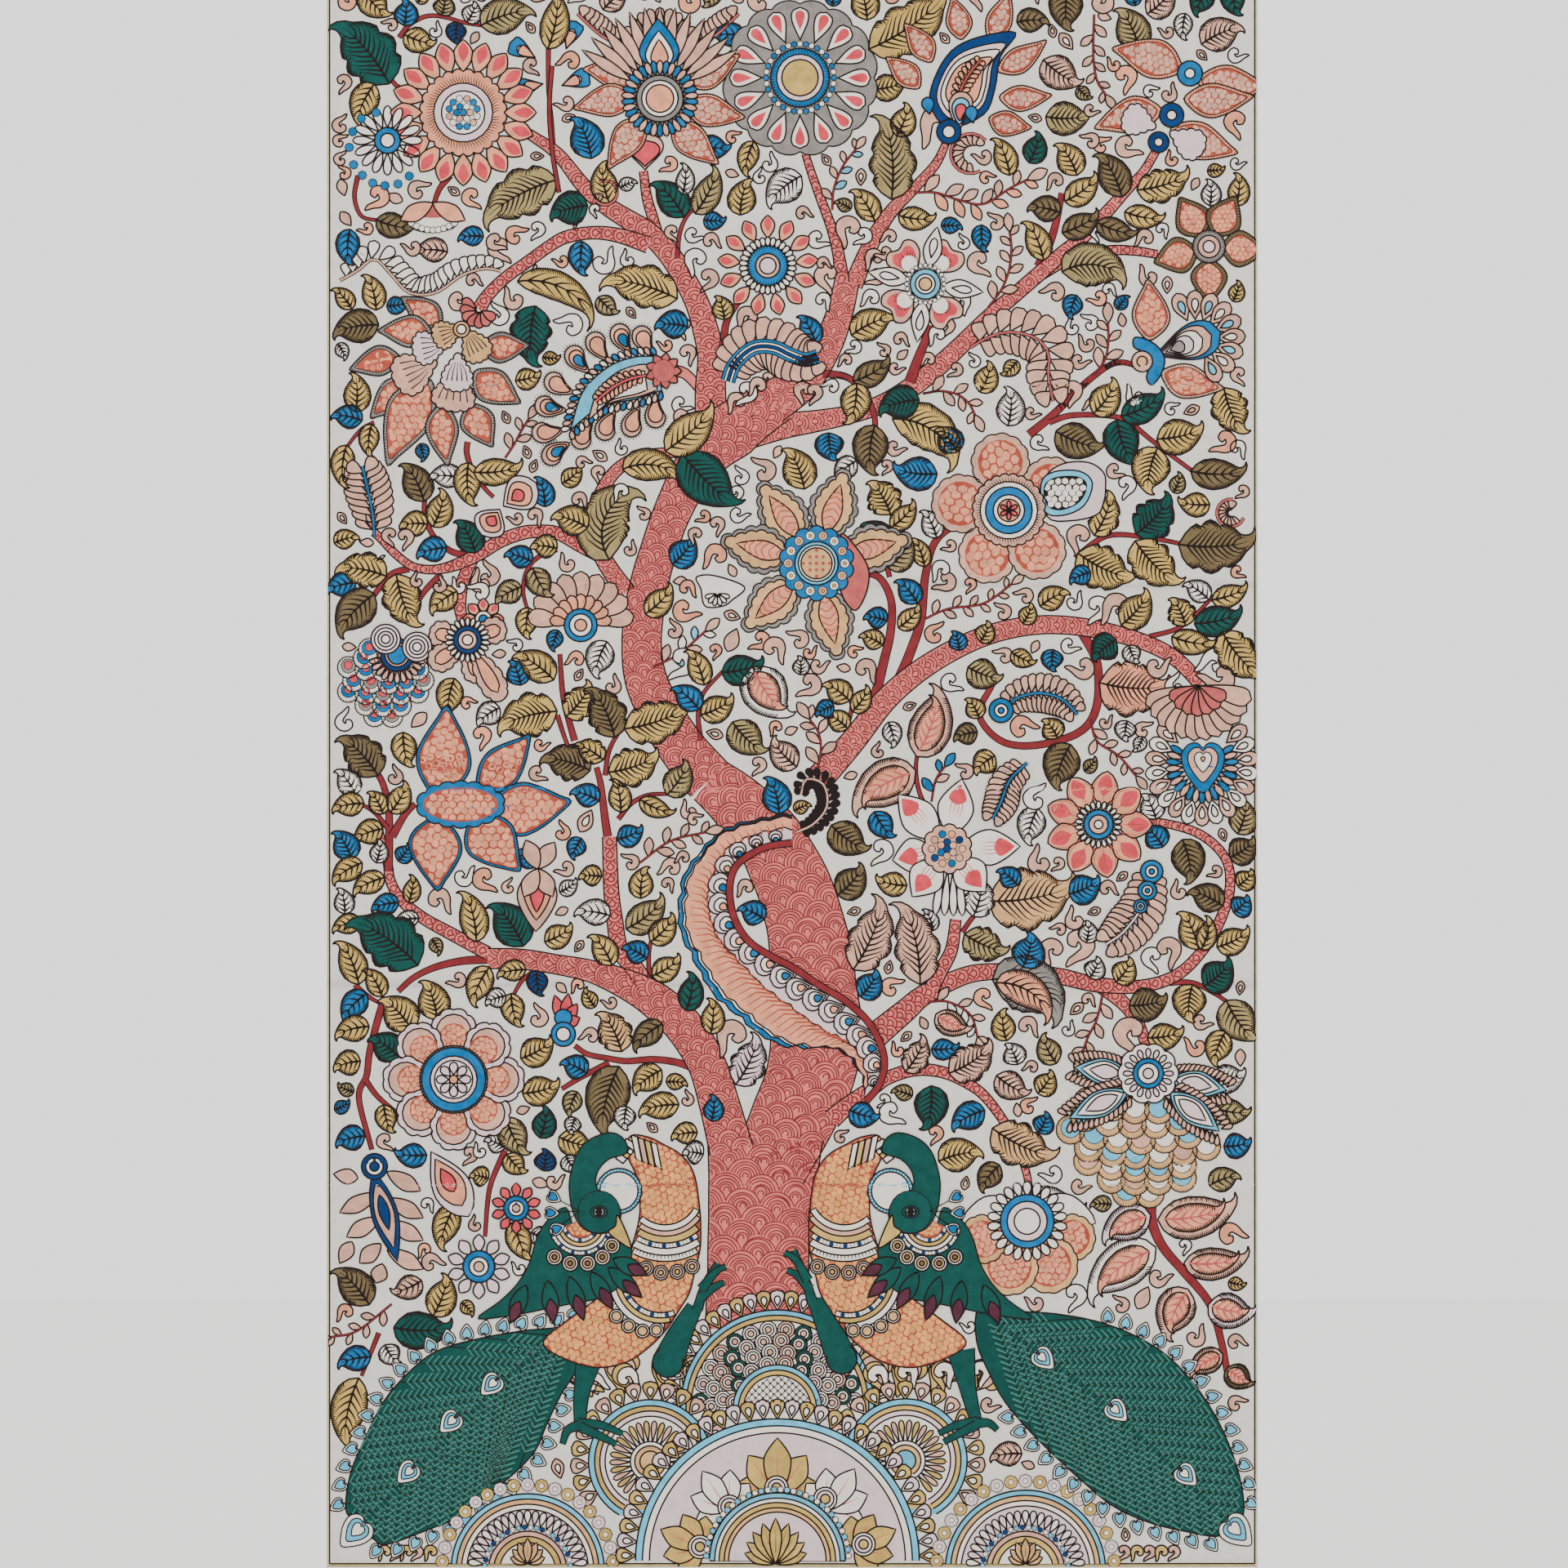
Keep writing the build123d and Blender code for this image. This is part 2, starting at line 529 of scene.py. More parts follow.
def make_mesh(name, points, faces, on_cloth=None, tone=None):
    """A mesh object of triangles or quads, with its place on the cloth as a UV map and the dye's tone."""
    mesh = bpy.data.meshes.new(name)
    mesh.vertices.add(len(points))
    mesh.vertices.foreach_set("co", np.asarray(points, np.float32).ravel())
    sides = faces.shape[1]
    mesh.loops.add(faces.size)
    mesh.loops.foreach_set("vertex_index", faces.astype(np.int32).ravel())
    mesh.polygons.add(len(faces))
    mesh.polygons.foreach_set("loop_start", np.arange(0, faces.size, sides, dtype=np.int32))
    mesh.update(calc_edges=True)
    if on_cloth is not None:
        uv = mesh.uv_layers.new(name="cloth")
        uv.data.foreach_set("uv", (np.asarray(on_cloth)[faces.ravel()] * CM).astype(np.float32).ravel())
    if tone is not None:
        attribute = mesh.attributes.new("tone", "FLOAT", "POINT")
        attribute.data.foreach_set("value", np.asarray(tone, np.float32))
    mesh.validate()
    piece = bpy.data.objects.new(name, mesh)
    bpy.context.collection.objects.link(piece)
    return piece


def bend(piece, above, below, fold_h):
    """Bakes the piece's placement into its mesh."""
    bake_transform(piece)


# --------------------------------------------------------------------------------------------- materials

SLOTS = {name: "dye_pink" for name in PanelDyes.__annotations__}
SLOTS |= {"cloth": "cloth", "hem": "hem", "thread": "thread", "cream": "cloth", "mauve": "cloth",
          "line": "outline", "rose": "dye_rose",
          "scale": "dye_rose", "twig": "dye_rose", "red": "dye_rose", "brick": "dye_rose",
          "ochre": "dye_ochre",
          "sand": "dye_ochre", "orange": "dye_ochre", "border": "dye_ochre", "brown": "dye_brown",
          "olive": "dye_brown",
          "maroon": "dye_brown", "grey": "dye_brown", "green": "dye_green", "jade": "dye_green",
          "blue": "dye_blue", "navy": "dye_blue", "sky": "dye_blue"}


def linear(rgb):
    return [c / 12.92 if c <= 0.04045 else ((c + 0.055) / 1.055) ** 2.4 for c in rgb]


def tinted(rgb, factor):
    return [min(1.0, c * factor) for c in rgb]


class Nodes:
    """A material's node tree, built one node at a time."""

    def __init__(self, name):
        self.material = bpy.data.materials.new(name)
        self.material.use_nodes = True
        self.tree = self.material.node_tree
        self.shader = self.tree.nodes["Principled BSDF"]

    def add(self, kind, links=None, **settings):
        node = self.tree.nodes.new(kind)
        for key, value in settings.items():
            setattr(node, key, value)
        for socket, source in (links or {}).items():
            if hasattr(source, "links"):
                self.tree.links.new(source, node.inputs[socket])
            else:
                node.inputs[socket].default_value = source
        return node

    def link(self, source, socket):
        self.tree.links.new(source, self.shader.inputs[socket])


def woven_bump(nodes, place, depth):
    """Threads both ways, uneven in thickness, as a bump."""
    heights = []
    for stretch in ((260.0, 1500.0, 1.0), (1500.0, 260.0, 1.0)):
        along = nodes.add("ShaderNodeMapping", {"Vector": place, "Scale": stretch})
        threads = nodes.add("ShaderNodeTexNoise", {"Vector": along.outputs[0], "Scale": 1.0, "Detail": 2.0},
                            noise_dimensions="2D")
        heights.append(threads.outputs[0])
    both = nodes.add("ShaderNodeMath", {0: heights[0], 1: heights[1]}, operation="ADD")
    creases = nodes.add("ShaderNodeTexNoise", {"Vector": place, "Scale": 24.0, "Detail": 3.0,
                                               "Distortion": 0.6},
                        noise_dimensions="2D")
    slack = nodes.add("ShaderNodeMath", {0: creases.outputs[0], 1: 6.0, 2: both.outputs[0]},
                      operation="MULTIPLY_ADD")
    return nodes.add("ShaderNodeBump", {"Height": slack.outputs[0], "Strength": 0.55, "Distance": depth})


def dye_material(dye_name):
    """Cotton carrying a dye: a brushed wash that pools and thins, over threads that show through it."""
    name = f"{dye_name}_on_cotton"
    if name in bpy.data.materials:
        return bpy.data.materials[name]
    rgb = linear(getattr(bpy.context.scene.panel_dyes, dye_name))
    nodes = Nodes(name)
    nodes.shader.inputs["Roughness"].default_value = 0.9
    nodes.shader.inputs["Specular IOR Level"].default_value = 0.12
    if dye_name in ("line", "thread"):
        nodes.shader.inputs["Base Color"].default_value = (*rgb, 1)
        return nodes.material
    place = nodes.add("ShaderNodeUVMap", uv_map="cloth").outputs[0]
    wash = nodes.add("ShaderNodeTexNoise", {"Vector": place, "Scale": 75.0, "Detail": 4.0, "Roughness": 0.6},
                     noise_dimensions="2D")
    grain = nodes.add("ShaderNodeTexNoise", {"Vector": place, "Scale": 620.0, "Detail": 2.0},
                      noise_dimensions="2D")
    tone = nodes.add("ShaderNodeAttribute", attribute_name="tone")
    half_tone = nodes.add("ShaderNodeMath", {0: tone.outputs["Fac"], 1: 0.35, 2: -0.35},
                          operation="MULTIPLY_ADD")
    uneven = nodes.add("ShaderNodeMath", {0: wash.outputs[0], 1: 1.3, 2: half_tone.outputs[0]},
                       operation="MULTIPLY_ADD")
    speckled = nodes.add("ShaderNodeMath", {0: grain.outputs[0], 1: 0.5, 2: uneven.outputs[0]},
                         operation="MULTIPLY_ADD")
    ramp = nodes.add("ShaderNodeValToRGB", {"Fac": speckled.outputs[0]})
    spread = {"cloth": 0.05, "cream": 0.05, "mauve": 0.06}.get(dye_name, 0.2)
    ramp.color_ramp.elements[0].position = 0.35
    ramp.color_ramp.elements[0].color = (*tinted(rgb, 1 + spread), 1)
    ramp.color_ramp.elements[1].position = 1.1 - 0.1
    ramp.color_ramp.elements[1].color = (*tinted(rgb, 1 - spread), 1)
    nodes.link(ramp.outputs[0], "Base Color")
    nodes.link(woven_bump(nodes, place, 0.05 * MM).outputs[0], "Normal")
    return nodes.material


# ------------------------------------------------------------------------------------ motifs of the painter

def rib_line(length, bend, tip, count=17):
    """The middle line of a leaf from the origin: bend turns it steadily, tip hooks its end. In radians."""
    t = np.linspace(0, 1, count)
    heading = bend * (t - 0.3) + tip * np.clip((t - 0.7) / 0.3, 0, 1) ** 2
    step = length / (count - 1)
    x = np.concatenate([[0], np.cumsum(np.cos(heading[1:]) * step)])
    h = np.concatenate([[0], np.cumsum(np.sin(heading[1:]) * step)])
    return t, np.column_stack([x, h])


LEAF_T = (0, 0.05, 0.17, 0.36, 0.55, 0.7, 0.8, 0.9, 1)
LEAF_HALF = (0, 0.42, 0.84, 1, 0.86, 0.56, 0.27, 0.11, 0)


def leaf(p, x, h, turn, length, width, dye_name="ochre", bend=0.5, tip=1.3, lobes=0, vein="line"):
    """A leaf from its stalk: hatched edges, a hooked tip, and a feathered black vein."""
    p.start()
    p.at(x, h, turn, flip=bend < 0)
    t, rib = rib_line(length, abs(bend), tip)
    half = width / 2 * np.interp(t, LEAF_T, LEAF_HALF)
    if lobes:
        half = half * (0.88 + 0.2 * np.abs(np.sin(np.pi * lobes * t)) ** 0.6)
    out = normals(rib)
    sides = np.array([-1, -0.55, 0, 0.55, 1])
    points = (rib[:, None] + out[:, None] * (half[:, None] * sides)[..., None]).reshape(-1, 2)
    i, j = np.meshgrid(np.arange(len(t) - 1), np.arange(4), indexing="ij")
    a = (i * 5 + j).ravel()
    faces = np.vstack([np.column_stack([a, a + 5, a + 6]), np.column_stack([a, a + 6, a + 1])])
    thin = p.random.random() * 0.5
    p.put(dye_name, points, faces, np.tile(thin + 0.5 * np.abs(sides) ** 2, len(t)))
    p.lift += 0.005
    left = rib + out * half[:, None]
    right = rib - out * half[:, None]
    p.line(np.stack([left, right]), pen_cm() * 1.05)
    if vein:
        leaf_veins(p, t, rib, out, half, vein)
    nib = min(0.6, width * 0.16)
    p.hatch(left[2:-4], nib, 0.28, 0.19, 0.5, side=-1)
    p.hatch(right[2:-4], nib, 0.28, 0.19, 0.5, side=1)


def leaf_veins(p, t, rib, out, half, dye_name):
    """A thick middle vein that thins, with curved barbs to both sides."""
    middle = t <= 0.82
    p.line(rib[middle], np.interp(t[middle], (0, 0.25, 0.82), (0.22, 0.28, 0.05)), dye_name)
    count = int(np.clip(half.max() * 3.2, 4, 9))
    starts = np.linspace(0.1, 0.62, count)
    barbs = []
    for side in (-1, 1):
        for start in starts:
            steps = np.array([0, 0.06, 0.13, 0.19]) + start
            reach = np.array([0, 0.3, 0.58, 0.74]) * side
            base = np.column_stack([np.interp(steps, t, rib[:, k]) for k in (0, 1)])
            away = np.column_stack([np.interp(steps, t, out[:, k]) for k in (0, 1)])
            barbs.append(base + away * (reach * np.interp(steps, t, half))[:, None])
    p.line(np.array(barbs), np.array([0.24, 0.2, 0.12, 0.03]), dye_name)


CURL = ((0, 0), (0.25, 0.16), (0.52, 0.36), (0.84, 0.38), (1.06, 0.12), (1.02, -0.2), (0.78, -0.38),
        (0.55, -0.26), (0.58, -0.05), (0.73, -0.07), (0.64, 0.08), (0.42, 0.02), (0.2, -0.06))


def curl(p, x, h, turn, length, dye_name="beige", flip=False, fat=1.0):
    """A comma: a tail that swells into a head and curls in on itself."""
    p.at(x, h, turn, length, flip)
    shape = np.array(CURL) * (1, fat)
    pen = pen_cm() / length
    p.drawn(curve(shape, closed=True, per=4), dye_name, pen)


def bud_at(p, x, h, turn, length, width, dye_name, fat=0.6, tip=0.0, line=None, eye=None, tone=None):
    """One bud within a motif, with a smaller one inside it if eye names a dye."""
    p.drawn(moved(bud(length, width, fat, tip), x, h, turn), dye_name, line, tone)
    if eye:
        inner = moved(bud(length * 0.5, width * 0.42, 0.62), x + length * 0.22 * math.cos(math.radians(turn)),
                      h + length * 0.22 * math.sin(math.radians(turn)), turn)
        p.drawn(inner, eye, line)


def sprig(p, points, size=1.6, width=0.8, dyes=("beige",), spacing=1.1, stem="twig", splay=48, tip=0.7):
    """A thin stem with buds to both sides and one at its end."""
    p.start()
    p.at()
    stalk = evenly(curve(points), 0.4)
    s = lengths(stalk)
    away = np.arange(spacing, s[-1], spacing)
    side = 1
    for i, d in enumerate(away):
        k = np.searchsorted(s, d)
        along = stalk[min(k + 1, len(stalk) - 1)] - stalk[k - 1]
        heading = math.degrees(math.atan2(along[1], along[0]))
        shrink = 1 - 0.35 * i / max(1, len(away))
        bud_at(p, *stalk[k], heading + side * splay, size * shrink, width * shrink, dyes[i % len(dyes)],
               tip=tip)
        side = -side
    along = stalk[-1] - stalk[-2]
    bud_at(p, *stalk[-1], math.degrees(math.atan2(along[1], along[0])), size, width, dyes[0], tip=tip)
    p.line(stalk, 0.3)
    p.line(stalk, 0.14, stem)


def cells(p, outline, size, ground, cell_dye, slant=0.0, stretch=1.0, margin=0.12):
    """A shape filled with rounded scales: its ground shows between them as lines."""
    outline = anticlockwise(np.asarray(outline, float))
    p.patch(outline, ground)
    low, high = outline.min(axis=0), outline.max(axis=0)
    centre = (low + high) / 2
    reach = np.hypot(*(high - low)) / 2 + size
    rows = int(reach / (size * 0.82)) + 1
    columns = int(reach / (size * stretch)) + 1
    i, j = np.meshgrid(np.arange(-rows, rows + 1), np.arange(-columns, columns + 1), indexing="ij")
    lattice = np.stack([(j + 0.5 * (i % 2)) * size * stretch, i * size * 0.82], axis=-1).reshape(-1, 2)
    lattice = moved(lattice + (p.random.random(lattice.shape) - 0.5) * size * 0.16, turn=slant) + centre
    lattice = lattice[inside(lattice, shrunk(outline, margin))]
    if not len(lattice):
        return
    angles = np.radians(np.arange(6) * 60 + 30)
    corner = np.column_stack([np.cos(angles) * stretch, np.sin(angles)]) * size * 0.49
    shapes = lattice[:, None] + moved(corner, turn=slant)[None]
    shapes = shapes + (p.random.random(shapes.shape) - 0.5) * size * 0.1
    for nearer in (0.45, 0.3):
        kept = inside(shapes.reshape(-1, 2), shrunk(outline, 0.05)).reshape(len(shapes), -1)
        drawn_in = lattice[:, None] + (shapes - lattice[:, None]) * nearer
        shapes = np.where(kept[..., None], shapes, drawn_in)
    shapes = shapes[inside(shapes.reshape(-1, 2), outline).reshape(len(shapes), -1).all(axis=1)]
    first = (np.arange(len(shapes)) * 6)[:, None, None]
    faces = (np.array([(0, 1, 2), (0, 2, 3), (0, 3, 4), (0, 4, 5)])[None] + first).reshape(-1, 3)
    p.put(cell_dye, shapes.reshape(-1, 2), faces, np.repeat(p.random.random(len(shapes)), 6))
    p.lift += 0.005


SCALE_ROW = 0.88


def scale_arcs(r, rings):
    """The part of a scale's arcs that the scales in front of it leave showing."""
    pieces = []
    covers = np.array([(r, -SCALE_ROW * r), (-r, -SCALE_ROW * r), (0, -2 * SCALE_ROW * r)])
    for ring in range(rings):
        radius = r * (1 - ring / rings)
        points = arc(radius, 212, -32, max(9, int(radius * 14)))
        hidden = (np.hypot(*(points[:, None] - covers[None]).transpose(2, 0, 1)) < r * 0.98).any(axis=1)
        pieces.append((points, ~hidden))
    return pieces


def limb(p, points, widths, r, rings=4, line_dye="twig", fill="scale"):
    """A trunk or branch: its ends are points, its width is given at each, and its bark is rows of scales."""
    p.start()
    p.at()
    centre = curve(points, per=8)
    marks = lengths(centre)[:: 8]
    centre_even = evenly(centre, 0.5 if r < 1 else 0.8)
    s = lengths(centre_even)
    half = np.interp(s, marks, np.asarray(widths, float)) / 2
    out = normals(centre_even)
    across = np.linspace(-1, 1, 7 if max(widths) > 4 else 3)
    grid = centre_even[:, None] + out[:, None] * (half[:, None] * across)[..., None]
    k = len(across)
    i, j = np.meshgrid(np.arange(len(s) - 1), np.arange(k - 1), indexing="ij")
    a = (i * k + j).ravel()
    faces = np.vstack([np.column_stack([a, a + k, a + k + 1]), np.column_stack([a, a + k + 1, a + 1])])
    p.put(fill, grid.reshape(-1, 2), faces, np.tile(0.3 + 0.6 * across ** 2, len(s)))
    p.lift += 0.006
    if r > 0:
        bark(p, centre_even, s, half, r, rings, line_dye)
    p.line(np.stack([grid[:, 0], grid[:, -1]]), BOLD)


def bark(p, centre, s, half, r, rings, line_dye):
    """Rows of scales along a limb, each row over the one beyond it."""
    template = scale_arcs(r, rings)
    rows = np.arange(-r, s[-1] + r, SCALE_ROW * r)
    reach = half.max() + r
    for points, shown in template:
        strokes = []
        for i, row in enumerate(rows):
            columns = np.arange(-int(reach / (2 * r)) - 1, int(reach / (2 * r)) + 2)
            for column in columns:
                shift = p.random.normal(0, 0.03 * r, 2)
                place = points @ np.array([[0, 1], [1, 0]]) + (row + shift[0],
                                                               (column + 0.5 * (i % 2)) * 2 * r
                                                              + shift[1])
                limit = np.interp(place[:, 0], s, half)
                along, across = place.T
                within = shown & (np.abs(across) < limit - 0.05) & (along > 0) & (along < s[-1])
                strokes += runs(place, within)
        draw_along(p, strokes, centre, s, line_dye, 0.44 * r / rings)


def runs(points, within):
    """The unbroken stretches of a line that lie within."""
    result = []
    start = None
    for i, good in enumerate(np.append(within, False)):
        if good and start is None:
            start = i
        elif not good and start is not None:
            if i - start > 1:
                result.append(points[start:i])
            start = None
    return result


def draw_along(p, strokes, centre, s, dye_name, width):
    """Draws strokes given as distance along a line and distance to its left."""
    out = normals(centre)
    by_count = {}
    for stroke in strokes:
        by_count.setdefault(len(stroke), []).append(stroke)
    for group in by_count.values():
        group = np.array(group)
        base = np.stack([np.interp(group[..., 0], s, centre[:, k]) for k in (0, 1)], axis=-1)
        away = np.stack([np.interp(group[..., 0], s, out[:, k]) for k in (0, 1)], axis=-1)
        lift = p.lift
        p.line(base + away * group[..., 1:], width, dye_name)
        p.lift = lift
    p.lift += 0.006


# ---------------------------------------------------------------------------- where the tree and leaves are

# Each limb: its middle line, its width along it, the radius of its scales and the rings drawn in a scale
LIMBS = [
    ([(-3.8, 27.5), (-3.9, 34), (-3.8, 40), (-3.4, 45), (-3.1, 49.5)], [12.4, 11.6, 11.6, 12.4, 13.3], 2.0,
     6),
    ([(-2.6, 46), (0, 51.5), (1.9, 56), (2.8, 61), (2.2, 66), (2.2, 70), (1.5, 74), (.3, 78), (-1.1, 81),
      (-3, 84.3), (-6.5, 88), (-9.5, 90.5)], [8.6, 9.6, 10, 10.6, 10.6, 9.6, 8.9, 8.6, 8.2, 7.6, 6.6, 5.6],
     1.7, 5),
    ([(-7, 48), (-8.3, 53), (-9.8, 57.8), (-12.3, 62), (-15.5, 65), (-19, 67), (-23, 68.5), (-27, 69.3),
      (-31, 69.9), (-35, 70)], [5, 4.6, 4.3, 4.4, 4.2, 3.4, 2.5, 2.2, 2.3, 2.3], 1.3, 4),
    ([(-9.5, 90.5), (-12.5, 94), (-15, 98), (-16.8, 102), (-17.3, 106), (-17, 110), (-16.2, 114),
      (-15.3, 117), (-14.3, 120), (-13, 123), (-11.5, 125.8), (-9.5, 128.4), (-7, 130.6), (-4.5, 132.4),
     (-1.5, 134.2)], [5.7, 5.4, 5, 4.8, 4.5, 4.5, 4.3, 4.2, 4.2, 4.4, 4.8, 5.6, 6.6, 5.8, 5], 1.3, 4),
    ([(-9.3, 130), (-9.4, 135), (-9.3, 139), (-9.9, 142), (-10.8, 145), (-12.3, 148), (-14.2, 151),
      (-16.5, 153.4), (-19, 155), (-21.5, 156.6), (-24, 158.8), (-27, 162.5), (-30.3, 164.8)],
     [3.6, 3.5, 3.1, 2.9, 2.7, 2.5, 2.5, 2.4, 2.2, 2, 1.7, 1.4, 1.1], 1.1, 3),
    ([(-2.5, 133.8), (1, 136.2), (3.8, 140), (5.4, 144), (6.3, 147.8)], [5, 4.2, 3.4, 3, 2.8], 1.2, 4),
    ([(5.8, 147.5), (5.3, 151), (4.5, 154), (3.2, 157.5), (2.3, 160), (1.5, 162.5)],
     [1.6, 1.3, 1.1, 1, .9, .8], 0.8, 2),
    ([(7, 147.3), (8.3, 150.5), (9.8, 153.5), (11.5, 156), (14, 158.5), (16.5, 161.3), (17.8, 164)],
     [2.1, 1.9, 1.7, 1.5, 1.2, 1, .8], 0.9, 3),
    ([(-5, 130.3), (-1, 131.2), (3, 131.8), (7, 132.6), (10.5, 133.8), (13.5, 135.5), (16.5, 137.8),
      (19.5, 140.6), (22.5, 143.6), (25.5, 146.2), (28.5, 148.8), (31, 151), (33.5, 153), (36, 155.6),
     (38.5, 158.4), (40.3, 160.3), (41.8, 162.8)], [3.4, 2.9, 2.4, 2, 2.1, 2.3, 2.2, 2, 1.8, 1.7, 1.7, 1.6,
                                                    1.5, 1.4, 1.2, 1, .9], 1.0, 3),
    ([(28.5, 148.6), (31.5, 150.2), (34.5, 151), (37, 151.4), (39.5, 151.3), (42, 150.9)],
     [1.4, 1.2, 1.2, 1.1, 1, .9], 0.8, 2),
    ([(-16.5, 152), (-20, 153.1), (-23, 153.4), (-26, 152.9), (-28, 151.8), (-30.5, 150), (-33, 148.2),
      (-35, 146.2), (-36, 144.6)], [1.9, 1.6, 1.4, 1.4, 1.3, 1.3, 1.3, 1.4, 1.6], 0.8, 2),
    ([(-15.2, 151.8), (-16, 155), (-16.7, 157.5), (-17.1, 160.5)], [1.5, 1.2, 1.1, .9], 0.8, 2),
    ([(-10.6, 135.4), (-12.3, 137.2), (-14.2, 137.6)], [1, 1.2, 1.4], 0, 2),
    ([(-12, 127.9), (-15, 128.1), (-18, 127.5), (-20.3, 126), (-21.8, 123.8), (-22.5, 121.3), (-22.6, 119),
      (-22.1, 116.8), (-20.8, 114.5), (-19, 112)], [.8, 1.1, 1.3, 1.4, 1.5, 1.6, 1.7, 1.9, 2, 2.2], 0.9, 3),
    ([(-22.2, 116.5), (-24.5, 117.6), (-27, 118.9), (-29, 119.1), (-31, 118.9), (-33.5, 118), (-36, 116.5),
      (-38.5, 115.3), (-41, 114.7), (-43.5, 115), (-45.5, 116.4), (-47.2, 118.2), (-48.1, 119)],
     [1.8, 1.6, 1.4, 1.4, 1.5, 1.5, 1.5, 1.3, 1.0, .9, .9, .9, .9], 0.8, 2),
    ([(-36.6, 116.2), (-37.8, 113.5), (-38.2, 111), (-37.9, 109), (-36.8, 106.6)], [1.3, 1.4, 1.4, 1.2, 1],
     0.8, 2),
    ([(6.5, 58.5), (10, 61.5), (13, 64), (15, 65.7), (18.5, 67.5), (21, 68.3), (24, 68.5), (27, 68.4),
      (31, 67.9), (35, 67), (40, 66.8), (44, 68), (46.8, 70.5), (49, 74), (50.3, 78), (49.8, 81.5),
     (47, 84.2), (43, 85.5), (39.5, 85.8)], [3.4, 2.9, 2.6, 2.3, 2, 1.9, 1.8, 1.8, 1.8, 1.7, 1.4, 1.3, 1.2,
                                             1.2, 1.1, 1, 1, .9, .9], 0.8, 2),
    ([(35.5, 67), (38.3, 64.6), (40, 62), (41, 58.6)], [1.9, 1.5, 1.3, 1], 0.8, 2),
    ([(16, 66.5), (17, 68.5), (18.3, 71), (18.8, 74.5)], [1.7, 1.6, 1.4, 1.2], 0.8, 2),
    ([(4.5, 51.5), (7, 53.6), (9.5, 55.3), (11, 56.3), (14, 57.2), (17, 57), (19.5, 56), (22, 54.3),
      (24.5, 51), (26, 48), (27, 45), (27.3, 42)], [2.2, 1.8, 1.6, 1.5, 1.4, 1.3, 1.2, 1.1, 1, .9, .8, .8],
     0.8, 2),
    ([(3, 90.5), (7, 95), (11, 100), (16, 104), (22, 107), (28, 108.3), (34, 108), (40, 106.5), (44, 104.5),
      (47, 101.5)], [3.2, 2.8, 2.6, 2.4, 2.2, 2.1, 2, 1.8, 1.7, 1.6], 1.0, 3),
    ([(-21, 84), (-20.8, 78), (-20.4, 74.5), (-19.8, 71), (-18.2, 69), (-16.8, 67)],
     [1.6, 1.7, 1.8, 1.9, 2, 2], 0.8, 2),
    ([(-35, 70.6), (-39.5, 73), (-42.5, 74.7), (-45, 76.8), (-46.2, 79), (-46.5, 81), (-47.6, 85)],
     [1.5, 1.4, 1.3, 1.2, 1.1, 1, .9], 0.8, 2)]

